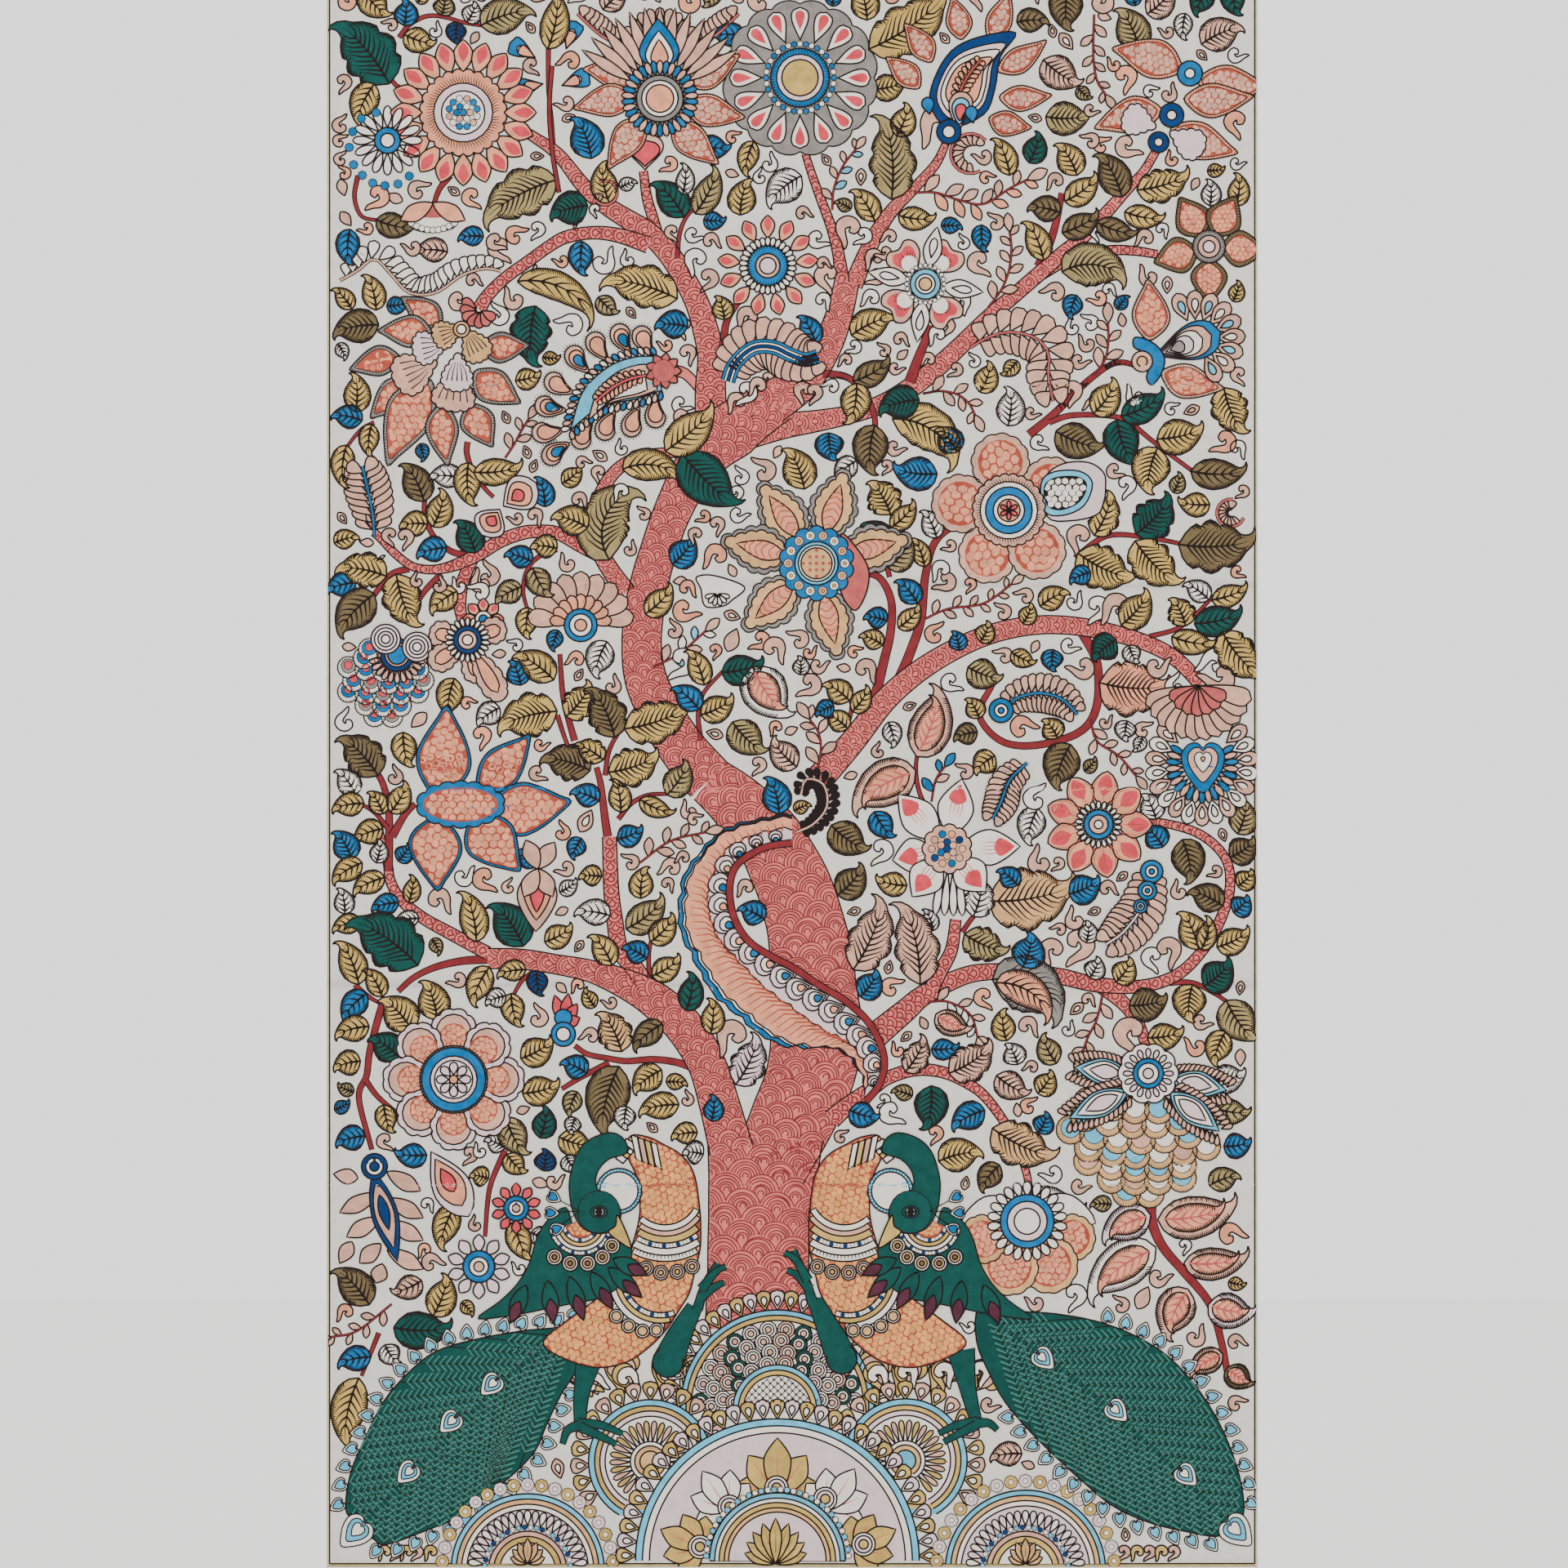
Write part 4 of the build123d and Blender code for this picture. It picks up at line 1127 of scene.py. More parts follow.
# Curls: where each springs from, its heading and its length
CURLS = [
    (-36.5, 145.2, 170, 2.8), (-35.5, 147.3, 150, 2), (-34.6, 145.5, -60, 2.8), (-33, 147.3, -60, 2.8),
    (-32.3, 149.9, 130, 3.2), (-30, 152.5, 60, 2.2), (-32.7, 151.5, 150, 2.5), (-29.5, 149.8, -90, 2.8),
    (-11.5, 148.2, 80, 3.2), (-10.5, 146.5, 60, 2.8), (-13.2, 152.3, 120, 2), (-19.2, 151.6, -80, 2),
    (-12.3, 141, 100, 2.5), (-11.7, 138, 100, 2.4), (-11.3, 133.2, 165, 2.4), (-11.3, 132, 170, 2.2),
    (-7.3, 132.5, 60, 2.6), (-6.5, 133.5, 50, 3), (-5, 134.6, 50, 2.4), (-3.4, 135.6, 60, 1.8),
    (-22.5, 155, 100, 1.6), (-25, 153.7, 100, 1.5), (-6.2, 142, 60, 3), (4.2, 144.3, 115, 2.2),
    (4.5, 146.2, 105, 3.4), (4.6, 149.3, 150, 1.8), (4.5, 152, 160, 2.6), (2.5, 155.2, 160, 2),
    (6, 151.5, 80, 3.6), (7, 152, 40, 2.4), (8.5, 149, 60, 2.6), (8.3, 147.5, 30, 2.4),
    (7.8, 144.9, 40, 2.4), (9.3, 150.8, 10, 2), (10, 152.3, 30, 2), (6, 139.6, 30, 2), (5.2, 138, 40, 1.8),
    (13.5, 140.3, 140, 2), (15.8, 140.3, 60, 2.4), (17.2, 141.2, 70, 2.4), (14.6, 138, 40, 2),
    (19.8, 143.8, 100, 2.6), (1.2, 133.5, 90, 2.6), (2, 133.5, 70, 2.4), (3.2, 135.8, 0, 2),
    (17.8, 136.8, 40, 2), (28.3, 146.6, 0, 2.8), (31.9, 143.8, -80, 2), (39.3, 151.8, 40, 2.4),
    (40, 149.8, -60, 2.6), (35.2, 152.2, 100, 2), (31.8, 133.2, 80, 3), (33.3, 133, 30, 1.8),
    (38.5, 136, -60, 2.6), (-45.8, 117.2, 110, 2.2), (-44.7, 116.8, 80, 2.4), (-46.8, 116.3, 200, 1.8),
    (-43.2, 114.6, -90, 1.8), (-40.5, 114.2, -90, 2), (-39, 113.9, -60, 2), (-35.5, 115.9, -70, 3),
    (-36.2, 115, -80, 2.8), (-37.5, 112.8, -20, 2.6), (-29, 119.5, 110, 2.2), (-8.2, 58.6, 65, 4.3),
    (-14.3, 102, 50, 4), (15, 163, 60, 5), (16, 112.5, 25, 2.8), (16.2, 113.2, 60, 2.6), (17, 117, 20, 1.8),
    (32.7, 116.2, 85, 3.4), (34, 108.3, 60, 3.4), (35.5, 108.3, 50, 4), (9.5, 101.5, 120, 3),
    (46.2, 103, 25, 3.8), (46.4, 102.6, -10, 4.2), (43.6, 104.6, 215, 3), (44.5, 103, 250, 2.6),
    (29.4, 68.7, 80, 3.4), (31.5, 69, 60, 4.4), (42, 68.2, 110, 3), (43.5, 68.6, 95, 3.6),
    (39.8, 58.5, 110, 4.6), (28.2, 45.2, 0, 2.6), (-22.3, 124.5, 90, 2), (-23.5, 121.6, 130, 2.2),
    (-20.4, 122.4, 60, 2.2), (-8.6, 118.4, 90, 2.2), (-11.4, 117.4, 80, 2), (-6.6, 122.2, 80, 2)]
# Sprigs: the stem, the length of a bud and the dyes in turn
SPRIGS = [
    ([(22.5, 144.8), (24, 146.8), (24.9, 149), (25.2, 151.5), (25, 153.5)], 2.2, ("beige",)),
    ([(15, 134.9), (17, 135.2), (19, 134.8), (20.3, 133.8), (21, 132.5)], 2.2, ("beige",)),
    ([(34.5, 137), (35.8, 138.5), (36.3, 140.5), (36.3, 143)], 2.4, ("beige",)),
    ([(-33, 127.5), (-32, 129), (-31.2, 130.5), (-30.3, 132)], 2, ("beige",)),
    ([(15.2, 109), (18, 110.2), (22, 110.8), (25.2, 113)], 1.8, ("beige",)),
    ([(2.8, 91.2), (3.3, 94), (3, 96), (2, 97.5)], 2.4, ("beige",)),
    ([(16, 88), (16.5, 90.5), (17.5, 92)], 2, ("blue", "beige")),
    ([(34.3, 97.5), (35, 95), (37.5, 93.3), (39.5, 91)], 2, ("beige",)),
    ([(35.7, 66), (35, 63), (34, 61), (33.3, 59)], 2.2, ("beige",)),
    ([(15.5, 65), (18, 65), (20.5, 63.5), (21.3, 61)], 2, ("beige", "cream")),
    ([(4.6, 156), (4.8, 158.5), (5.8, 161), (7.3, 163)], 1.8, ("beige", "sky")),
    ([(-16, 103.5), (-13, 105), (-10, 107.6)], 2.2, ("beige", "sky", "cream")),
    ([(14, 158), (16.5, 158), (19, 157.2), (22, 156.7), (25, 158.5), (27, 159.5)], 2.6, ("beige", "salmon")),
    ([(34.7, 178.5), (34.6, 174), (35, 171), (36, 169.3)], 2, ("beige",)),
    ([(-46, 30.3), (-50, 27.2), (-53, 26.5)], 1.8, ("beige",)),
    ([(-17.5, 81), (-14, 83.5), (-10, 84.5)], 2.2, ("beige",)),
]


# ----------------------------------------------------------------------------------------------- operators

class Maker:
    """What every operator here shares."""
    bl_options = {"REGISTER", "UNDO"}

    def execute(self, context):
        self.make(context)
        return {"FINISHED"}


def strip_rows(high, low, fold_h):
    """Heights of a strip's rows: close together beside its fold."""
    coarse = np.linspace(high, low, int((high - low) / 1.5) + 1)
    fine = fold_h + np.concatenate([np.arange(-3, 3.01, 0.3), np.arange(-0.9, 0.91, 0.15)])
    rows = np.concatenate([coarse[np.abs(coarse - fold_h) > 3.2], fine])
    return np.unique(np.round(rows, 4))[::-1]


def closed_sheet(x, rows, front, back):
    """Points and quads of a closed sheet: front and back give the y of each side, in metres."""
    gx, gh = np.meshgrid(x, rows)
    flat = np.column_stack([gx.ravel(), gh.ravel()])
    z = TOP_Z + (flat[:, 1] - PANEL_H) * CM
    points = np.vstack([np.column_stack([flat[:, 0] * CM, side, z]) for side in (front(flat), back(flat))])
    n, m = len(rows), len(x)
    i, j = np.meshgrid(np.arange(n - 1), np.arange(m - 1), indexing="ij")
    a = (i * m + j).ravel()
    face = np.column_stack([a, a + m, a + m + 1, a + 1])
    rim = np.concatenate([np.arange(m - 1), np.arange(n - 1) * m + m - 1,
                          (n - 1) * m + np.arange(m - 1, 0, -1), np.arange(n - 1, 0, -1) * m])
    after = np.roll(rim, -1)
    total = n * m
    faces = np.vstack([face, face[:, ::-1] + total, np.column_stack([rim, after, after + total,
                                                                     rim + total])])
    return points, faces, np.vstack([flat, flat])


class PANEL_OT_cloth(Maker, bpy.types.Operator):
    """The woven sheet, in one strip for each pressed fold"""
    bl_idname = "panel.cloth"
    bl_label = "Cloth"

    def make(self, context):
        thickness = BACK_Y - FRONT_Y
        x = np.linspace(-HALF_W, HALF_W, int(2 * HALF_W) + 1)
        nodes = {"top_fold": ["cloth_top", "cloth_upper"], "middle_fold": [], "bottom_fold": ["cloth_lower",
                                                                                              "cloth_bottom"]}
        for (fold, above, below, fold_h), high, low in zip(FOLDS, STRIP_EDGES, STRIP_EDGES[1:]):
            rows = strip_rows(high, low, fold_h)
            points, faces, flat = closed_sheet(
                x, rows, lambda f: surface_y(f[:, 0], f[:, 1]),
                lambda f: surface_y(f[:, 0], f[:, 1]) + thickness)
            piece = make_mesh(f"cloth_{fold}", points, faces, flat)
            piece.data.materials.append(dye_material("cloth"))
            for polygon in piece.data.polygons:
                polygon.use_smooth = True
            bend(piece, above, below, fold_h)
            if nodes[fold]:
                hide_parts(*nodes[fold])


HEM_W = 0.8
HEM_PROFILE = (
    (0, 0), (0, 0.7), (0.12, 0.78), (0.3, 0.78), (0.33, 0.4), (0.37, 0.4), (0.4, 0.78), (0.55, 0.8),
    (0.7, 0.75), (0.79, 0.45), (0.8, 0.1), (0.8, 0))


def hem_places(side):
    """The runs of hem on one side: a name, the inner edge on the cloth, the way out, and the fold."""
    inner = HALF_W - HEM_W
    if side in ("top", "bottom"):
        x = np.linspace(-HALF_W, HALF_W, 190)
        h = PANEL_H - HEM_W if side == "top" else HEM_W
        return [(side, np.column_stack([x, np.full(len(x), h)]), (0, 1 if side == "top" else -1), None)]
    way = 1 if side == "right" else -1
    places = []
    for fold, high, low in zip(FOLDS, STRIP_EDGES, STRIP_EDGES[1:]):
        rows = strip_rows(min(high, PANEL_H - HEM_W), max(low, HEM_W), fold[3])
        places.append((f"{side}_{fold[0]}", np.column_stack([np.full(len(rows), way * inner), rows]),
                       (way, 0), fold))
    return places


def hem_nodes(kind, side, fold):
    """The CAD nodes that one run stands for."""
    if fold is None:
        return [f"{kind}_{side}"]
    return {"top_fold": [f"{kind}_{side}_top", f"{kind}_{side}_upper"], "middle_fold": [],
            "bottom_fold": [f"{kind}_{side}_lower", f"{kind}_{side}_bottom"]}[fold[0]]


def carry(piece, side, fold):
    """Lets a run of hem or stitches follow its section, or bakes its placement where it runs past the folds.
    """
    if fold is None:
        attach(piece, f"{side}_section")
    else:
        bend(piece, fold[1], fold[2], fold[3])


class PANEL_OT_hems(Maker, bpy.types.Operator):
    """The edges turned over twice on to the back"""
    bl_idname = "panel.hems"
    bl_label = "Hems"

    def make(self, context):
        thickness = BACK_Y - FRONT_Y
        profile = np.array(HEM_PROFILE)
        for side in ("top", "bottom", "left", "right"):
            for name, inner, out, fold in hem_places(side):
                rows, k = len(inner), len(profile)
                flat = inner[:, None] + profile[None, :, :1] * np.array(out)
                flat = flat.reshape(-1, 2)
                y = surface_y(flat[:, 0], flat[:, 1]) + thickness + np.tile(profile[:, 1], rows) * MM
                points = np.column_stack([flat[:, 0] * CM, y, TOP_Z + (flat[:, 1] - PANEL_H) * CM])
                i, j = np.meshgrid(np.arange(rows - 1), np.arange(k), indexing="ij")
                a, b = i * k + j, i * k + (j + 1) % k
                faces = np.stack([a, b, b + k, a + k], axis=-1).reshape(-1, 4)
                caps = []
                for start in (0, (rows - 1) * k):
                    caps += [(start, start + n, start + n + 1, start + n + 2) for n in range(1, k - 2, 2)]
                faces = np.vstack([faces, caps])
                piece = make_mesh(f"turned_{name}", points, faces, flat)
                outward_faces(piece)
                piece.data.materials.append(dye_material("hem"))
                carry(piece, side, fold)
                nodes = hem_nodes("hem", side, fold)
                if nodes:
                    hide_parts(*nodes)


def outward_faces(piece):
    import bmesh
    bm = bmesh.new()
    bm.from_mesh(piece.data)
    bmesh.ops.recalc_face_normals(bm, faces=bm.faces)
    bm.to_mesh(piece.data)
    bm.free()


def stitch_mesh(length):
    """One stitch: a short thread whose ends dip into the cloth."""
    steps, sides = 6, 6
    points = []
    for t in np.linspace(-1, 1, steps):
        r = 0.3 * (1 - 0.45 * t ** 4)
        for a in np.linspace(0, 2 * np.pi, sides, endpoint=False):
            points.append((t * length / 2, r * math.cos(a) * MM, (r * math.sin(a) - 0.32 * t ** 4) * MM))
    faces = []
    for i in range(steps - 1):
        for j in range(sides):
            k = (j + 1) % sides
            faces.append((i * sides + j, i * sides + k, (i + 1) * sides + k, (i + 1) * sides + j))
    mesh = bpy.data.meshes.new("stitch")
    mesh.from_pydata(points, [], faces + [tuple(range(sides))[::-1],
                                          tuple(range((steps - 1) * sides, steps * sides))])
    return mesh


def stitch_tree(stitch, pitch, material):
    """Sets stitches end to end along a line, each lying along it with its back to the cloth."""
    tree = bpy.data.node_groups.new("stitch_row", "GeometryNodeTree")
    tree.interface.new_socket("Geometry", in_out="INPUT", socket_type="NodeSocketGeometry")
    spacing = tree.interface.new_socket("Pitch", in_out="INPUT", socket_type="NodeSocketFloat")
    spacing.default_value = pitch
    spacing.min_value = 0.0005
    uneven = tree.interface.new_socket("Unevenness", in_out="INPUT", socket_type="NodeSocketFloat")
    uneven.default_value = 0.12
    seed = tree.interface.new_socket("Seed", in_out="INPUT", socket_type="NodeSocketInt")
    seed.default_value = 3
    tree.interface.new_socket("Geometry", in_out="OUTPUT", socket_type="NodeSocketGeometry")

    def add(kind, **settings):
        node = tree.nodes.new(kind)
        for key, value in settings.items():
            setattr(node, key, value)
        return node

    join = tree.links.new
    given = add("NodeGroupInput")
    to_curve = add("GeometryNodeMeshToCurve")
    resample = add("GeometryNodeResampleCurve", mode="LENGTH")
    tangent = add("GeometryNodeInputTangent")
    along = add("FunctionNodeAlignRotationToVector", axis="X")
    instance = add("GeometryNodeInstanceOnPoints")
    source = add("GeometryNodeObjectInfo")
    source.inputs["Object"].default_value = stitch
    size = add("FunctionNodeRandomValue", data_type="FLOAT")
    low = add("ShaderNodeMath", operation="SUBTRACT")
    low.inputs[0].default_value = 1.0
    high = add("ShaderNodeMath", operation="ADD")
    high.inputs[0].default_value = 1.0
    realize = add("GeometryNodeRealizeInstances")
    finish = add("GeometryNodeSetMaterial")
    finish.inputs["Material"].default_value = material
    result = add("NodeGroupOutput")
    join(given.outputs["Geometry"], to_curve.inputs["Mesh"])
    join(to_curve.outputs["Curve"], resample.inputs["Curve"])
    join(given.outputs["Pitch"], resample.inputs["Length"])
    join(resample.outputs["Curve"], instance.inputs["Points"])
    join(source.outputs["Geometry"], instance.inputs["Instance"])
    join(tangent.outputs[0], along.inputs["Vector"])
    join(along.outputs[0], instance.inputs["Rotation"])
    join(given.outputs["Unevenness"], low.inputs[1])
    join(given.outputs["Unevenness"], high.inputs[1])
    join(low.outputs[0], size.inputs[2])
    join(high.outputs[0], size.inputs[3])
    join(given.outputs["Seed"], size.inputs["Seed"])
    join(size.outputs[1], instance.inputs["Scale"])
    join(instance.outputs["Instances"], realize.inputs["Geometry"])
    join(realize.outputs["Geometry"], finish.inputs["Geometry"])
    join(finish.outputs["Geometry"], result.inputs["Geometry"])
    return tree, {"pitch": spacing.identifier, "uneven": uneven.identifier, "seed": seed.identifier}


class PANEL_OT_stitches(Maker, bpy.types.Operator):
    """The sewing thread along the hems"""
    bl_idname = "panel.stitches"
    bl_label = "Stitches"

    def make(self, context):
        cloth = cloth_settings()
        thickness = BACK_Y - FRONT_Y
        thread = dye_material("thread")
        mesh = stitch_mesh(cloth.stitch_length)
        # The stitch is modelled lying on its back, and is turned so that its outer side faces the wall
        for vertex in mesh.vertices:
            x, y, z = vertex.co
            vertex.co = (x, z, -y)
        stitch = bpy.data.objects.new("one_stitch", mesh)
        tree, sockets = stitch_tree(stitch, cloth.stitch_length + cloth.stitch_gap, thread)
        for side in ("top", "bottom", "left", "right"):
            for name, inner, out, fold in hem_places(side):
                flat = inner + 0.17 * np.array(out)
                y = surface_y(flat[:, 0], flat[:, 1]) + thickness + 0.72 * MM
                points = np.column_stack([flat[:, 0] * CM, y, TOP_Z + (flat[:, 1] - PANEL_H) * CM])
                line = bpy.data.meshes.new(f"line_{name}")
                line.from_pydata(points.tolist(), [(i, i + 1) for i in range(len(points) - 1)], [])
                row = bpy.data.objects.new(f"row_{name}", line)
                context.collection.objects.link(row)
                modifier = row.modifiers.new("stitches", "NODES")
                modifier.node_group = tree
                modifier[sockets["pitch"]] = cloth.stitch_length + cloth.stitch_gap
                modifier[sockets["uneven"]] = 0.12
                modifier[sockets["seed"]] = 3
                context.view_layer.update()
                made = bpy.data.meshes.new_from_object(row.evaluated_get(context.evaluated_depsgraph_get()))
                row.modifiers.remove(modifier)
                bpy.data.objects.remove(row)
                if len(made.polygons) == 0:
                    raise RuntimeError(f"no stitches on {name}")
                piece = bpy.data.objects.new(f"stitches_{name}", made)
                context.collection.objects.link(piece)
                carry(piece, side, fold)
                nodes = hem_nodes("hem_thread", side, fold)
                if nodes:
                    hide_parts(*nodes)
        bpy.data.objects.remove(stitch)


class PANEL_OT_stage(Maker, bpy.types.Operator):
    """Plain floor, soft studio light and the camera"""
    bl_idname = "panel.stage"
    bl_label = "Stage"

    def make(self, context):
        world = bpy.data.worlds.new("studio")
        world.use_nodes = True
        world.node_tree.nodes["Background"].inputs[0].default_value = (1, 1, 1, 1)
        world.node_tree.nodes["Background"].inputs[1].default_value = 1.7
        context.scene.world = world
        floor_mesh = bpy.data.meshes.new("floor")
        floor_z = TOP_Z - PANEL_H * CM - 0.25
        floor_mesh.from_pydata([(-4, -4, floor_z), (4, -4, floor_z), (4, 4, floor_z), (-4, 4, floor_z)], [],
                               [(0, 1, 2, 3)])
        floor = bpy.data.objects.new("floor", floor_mesh)
        context.collection.objects.link(floor)
        pale = bpy.data.materials.new("pale_floor")
        pale.use_nodes = True
        pale.node_tree.nodes["Principled BSDF"].inputs["Base Color"].default_value = (0.9, 0.9, 0.89, 1)
        floor_mesh.materials.append(pale)
        for name, place, size, power in (("key", (-1.2, -2.6, 1.6), 2.0, 24),
                                         ("fill", (1.8, -3.0, -0.4), 2.5, 10),
                                         ("back", (0.5, 2.6, 0.6), 2.5, 12)):
            light = bpy.data.lights.new(name, "AREA")
            light.size = size
            light.energy = power
            lamp = bpy.data.objects.new(name, light)
            lamp.location = place
            aim = Vector((0, 0, -0.9)) - Vector(place)
            lamp.rotation_euler = aim.to_track_quat("-Z", "Y").to_euler()
            context.collection.objects.link(lamp)
        lens = bpy.data.cameras.new("camera")
        lens.lens = 85
        seen_height = 1.802
        camera = bpy.data.objects.new("camera", lens)
        camera.location = (-0.0094, FRONT_Y - seen_height * lens.lens / lens.sensor_width, -0.9255)
        camera.rotation_euler = (math.radians(90), 0, 0)
        context.collection.objects.link(camera)
        context.scene.camera = camera


class Painter(Maker):
    """What the operators that paint share: each paints one group of motifs."""
    group = ""
    lift = 0.1

    def make(self, context):
        p = Painting(self.group, self.lift)
        self.paint(p)
        p.finish()


class PANEL_OT_border(Painter, bpy.types.Operator):
    """The drawn frame and the khaki band outside it"""
    bl_idname = "panel.border"
    bl_label = "Border"
    group = "border"
    lift = 0.04

    def paint(self, p):
        x, low, high = 53.15, 0.45, PANEL_H - 0.5
        for a, b, c, d in ((-HALF_W + .03, 0.03, -x, PANEL_H - .03), (x, 0.03, HALF_W - .03, PANEL_H - .03),
                           (-x, 0.03, x, low), (-x, high, x, PANEL_H - .03)):
            heights = np.arange(b, d + 2, 2).clip(b, d)
            rungs = [(a, h) for h in heights] + [(c, h) for h in heights[::-1]]
            p.patch(rungs, "border", 0.5)
        for a, b in (((-x, low), (-x, high)), ((x, low), (x, high)), ((-x, low), (x, low)),
                     ((-x, high), (x, high))):
            p.line(evenly(np.array([a, b], float), 1.0), 0.16)


class PANEL_OT_tree(Painter, bpy.types.Operator):
    """The trunk, the limbs and the twigs"""
    bl_idname = "panel.tree"
    bl_label = "Tree"
    group = "tree"
    lift = 0.06

    def paint(self, p):
        for points, width in TWIGS:
            p.start()
            p.at()
            stem = evenly(curve(points), 0.5)
            taper = np.linspace(1, 0.6, len(stem)) * width
            p.line(stem, taper + 0.16)
            p.line(stem, taper - 0.08, "twig")
        for points, widths, r, rings in sorted(LIMBS, key=lambda limb: limb[1][0]):
            limb(p, points, widths, r, rings)


class PANEL_OT_leaves(Painter, bpy.types.Operator):
    """The leaves"""
    bl_idname = "panel.leaves"
    bl_label = "Leaves"
    group = "leaves"
    lift = 0.28

    def paint(self, p):
        for x, h, turn, length, width in OCHRE_LEAVES:
            leaf(p, x, h, turn, length, width)
        for x, h, turn, length, width in OCHRE_BACK:
            leaf(p, x, h, turn, length, width, bend=-0.5)
        for x, h, turn, length, width, dye_name in LOBED_LEAVES + RIGHT_LOBED:
            leaf(p, x, h, turn, length, width, dye_name, lobes=4)
        for x, h, turn, length, width, dye_name in OTHER_LEAVES + RIGHT_LEAVES:
            leaf(p, x, h, turn, length, width, dye_name)
        for x, h, turn, length, width, dye_name, bent, lobes in BENT_LEAVES:
            leaf(p, x, h, turn, length, width, dye_name, bent, 1.0, lobes)
        for x, h, turn, length, width, edge in ROSE_LEAVES:
            leaf(p, x, h, turn, length, width, edge, vein=None)
            a = math.radians(turn)
            leaf(p, x + 0.08 * length * math.cos(a), h + 0.08 * length * math.sin(a), turn, length * 0.76,
                 width * 0.66, "salmon", vein="rose")


class PANEL_OT_curls(Painter, bpy.types.Operator):
    """The curls and sprigs between the leaves"""
    bl_idname = "panel.curls"
    bl_label = "Curls"
    group = "curls"
    lift = 0.2

    def paint(self, p):
        for i, (x, h, turn, length) in enumerate(CURLS):
            p.start()
            curl(p, x, h, turn, length, ("beige", "beige", "cream")[i % 3], flip=bool(i % 2))
        for points, size, dyes in SPRIGS:
            sprig(p, points, size, size * 0.5, dyes)


# ---------------------------------------------------------------------------------------------- the flowers

def petals(p, count, r0, r1, width, dye_name, start=90, tip=0.8, fat=0.6, eye=None, tip_dye=None, lines=0):
    """Petals round a centre, from one radius to another."""
    for k in range(count):
        a = start + 360 * k / count
        c, s = r0 * math.cos(math.radians(a)), r0 * math.sin(math.radians(a))
        long = r1 - r0
        bud_at(p, c, s, a, long, width, dye_name, fat=fat, tip=tip, eye=eye)
        if tip_dye:
            inner = moved(bud(long * 0.62, width * 0.55, fat, tip), turn=a)
            shift = (r0 + long * 0.3) * np.array([math.cos(math.radians(a)), math.sin(math.radians(a))])
            p.patch(inner + shift, tip_dye, 0.5)
        if lines:
            for k2 in np.linspace(-0.28, 0.28, lines):
                stroke = moved([(long * 0.1, k2 * width), (long * 0.55, k2 * width * 1.5),
                                (long * 0.78, k2 * width)],
                               c, s, a)
                p.line(stroke, np.array([0.05, 0.1, 0.03]), "brick")


def toothed(p, r, length, spacing=0.36, width=0.12):
    """Teeth round a circle, pointing in when length is negative."""
    p.hatch(disc_outline(r, 40), abs(length), spacing, width, 0.2, side=-1 if length > 0 else 1, uneven=0.1)


def scaled_petal(p, x, h, turn, length, width, border="grey", ground="brick", cell="salmon", size=0.85,
                 rim=0.42,
                 hook=0.25):
    """A pointed petal filled with scales inside a hatched border."""
    p.at(x, h, turn)
    outline = bud(length, width, 0.42, 1.0, 15)
    t = np.clip(outline[:, 0] / length, 0, 1)
    outline[:, 1] += hook * length * (t ** 3) * 0.5
    outline = curve(outline[::2], closed=True, per=3)
    p.drawn(outline, border, BOLD)
    p.hatch(outline, rim * 0.8, 0.34, 0.12, 0.3, side=1 if np.array_equal(outline, anticlockwise(outline))
            else -1)
    middle = np.array((length * 0.44, 0))
    inner = middle + (outline - middle) * (1 - 1.7 * rim / width, 1 - 2 * rim / width)
    cells(p, inner, size, ground, cell)
    p.ring(inner, 0.1)


def leafy_petal(p, x, h, turn, length, width, border="grey", field="sand", heart_dye="salmon", lobes=7):
    """A lobed petal with a broad border and a leaf of arcs down its middle."""
    p.at(x, h, turn)
    outline = bud(length, width, 0.45, 1.0, 15)
    outline = scalloped(curve(outline[::2], closed=True, per=3), lobes * 2, 0.3)
    p.drawn(outline, border, BOLD)
    middle = np.array((length * 0.44, 0))
    p.drawn(middle + (outline - middle) * (0.9, 0.78), field)
    core = bud(length * 0.7, width * 0.42, 0.45, 1.0, 11) + (length * 0.08, 0)
    p.drawn(core, heart_dye)
    for t in np.arange(0.16, 0.7, 0.09):
        half = width * 0.2 * math.sin(math.pi * min(1, (t - 0.06) / 0.7)) ** 0.8
        rung = [(t * length, -half), (t * length + half * 0.7, 0), (t * length, half)]
        p.line(curve(rung, per=3), 0.12, "brick")


def nested(p, rings):
    """Discs one in another: radius and dye."""
    for r, dye_name in rings:
        p.disc(r, dye_name)


def paisley(p, x, h, turn, size, dyes, flip=False, teeth=0.0):
    """A curled drop with smaller ones inside it."""
    p.at(x, h, turn, size, flip)
    shape = np.array([(0, 0), (0.3, 0.24), (0.66, 0.34), (0.94, 0.2), (1.0, -0.06), (0.86, -0.26),
                      (0.62, -0.3),
                      (0.36, -0.16)])
    for i, dye_name in enumerate(dyes):
        k = 1 - 0.27 * i
        p.drawn(curve(np.array((0.12, 0)) * (1 - k) * 3.2 + shape * k, closed=True, per=4), dye_name,
                pen_cm() / size)
    if teeth:
        p.hatch(curve(shape[1:7], per=5), teeth, 0.3 / size, 0.1 / size, 0, side=1)


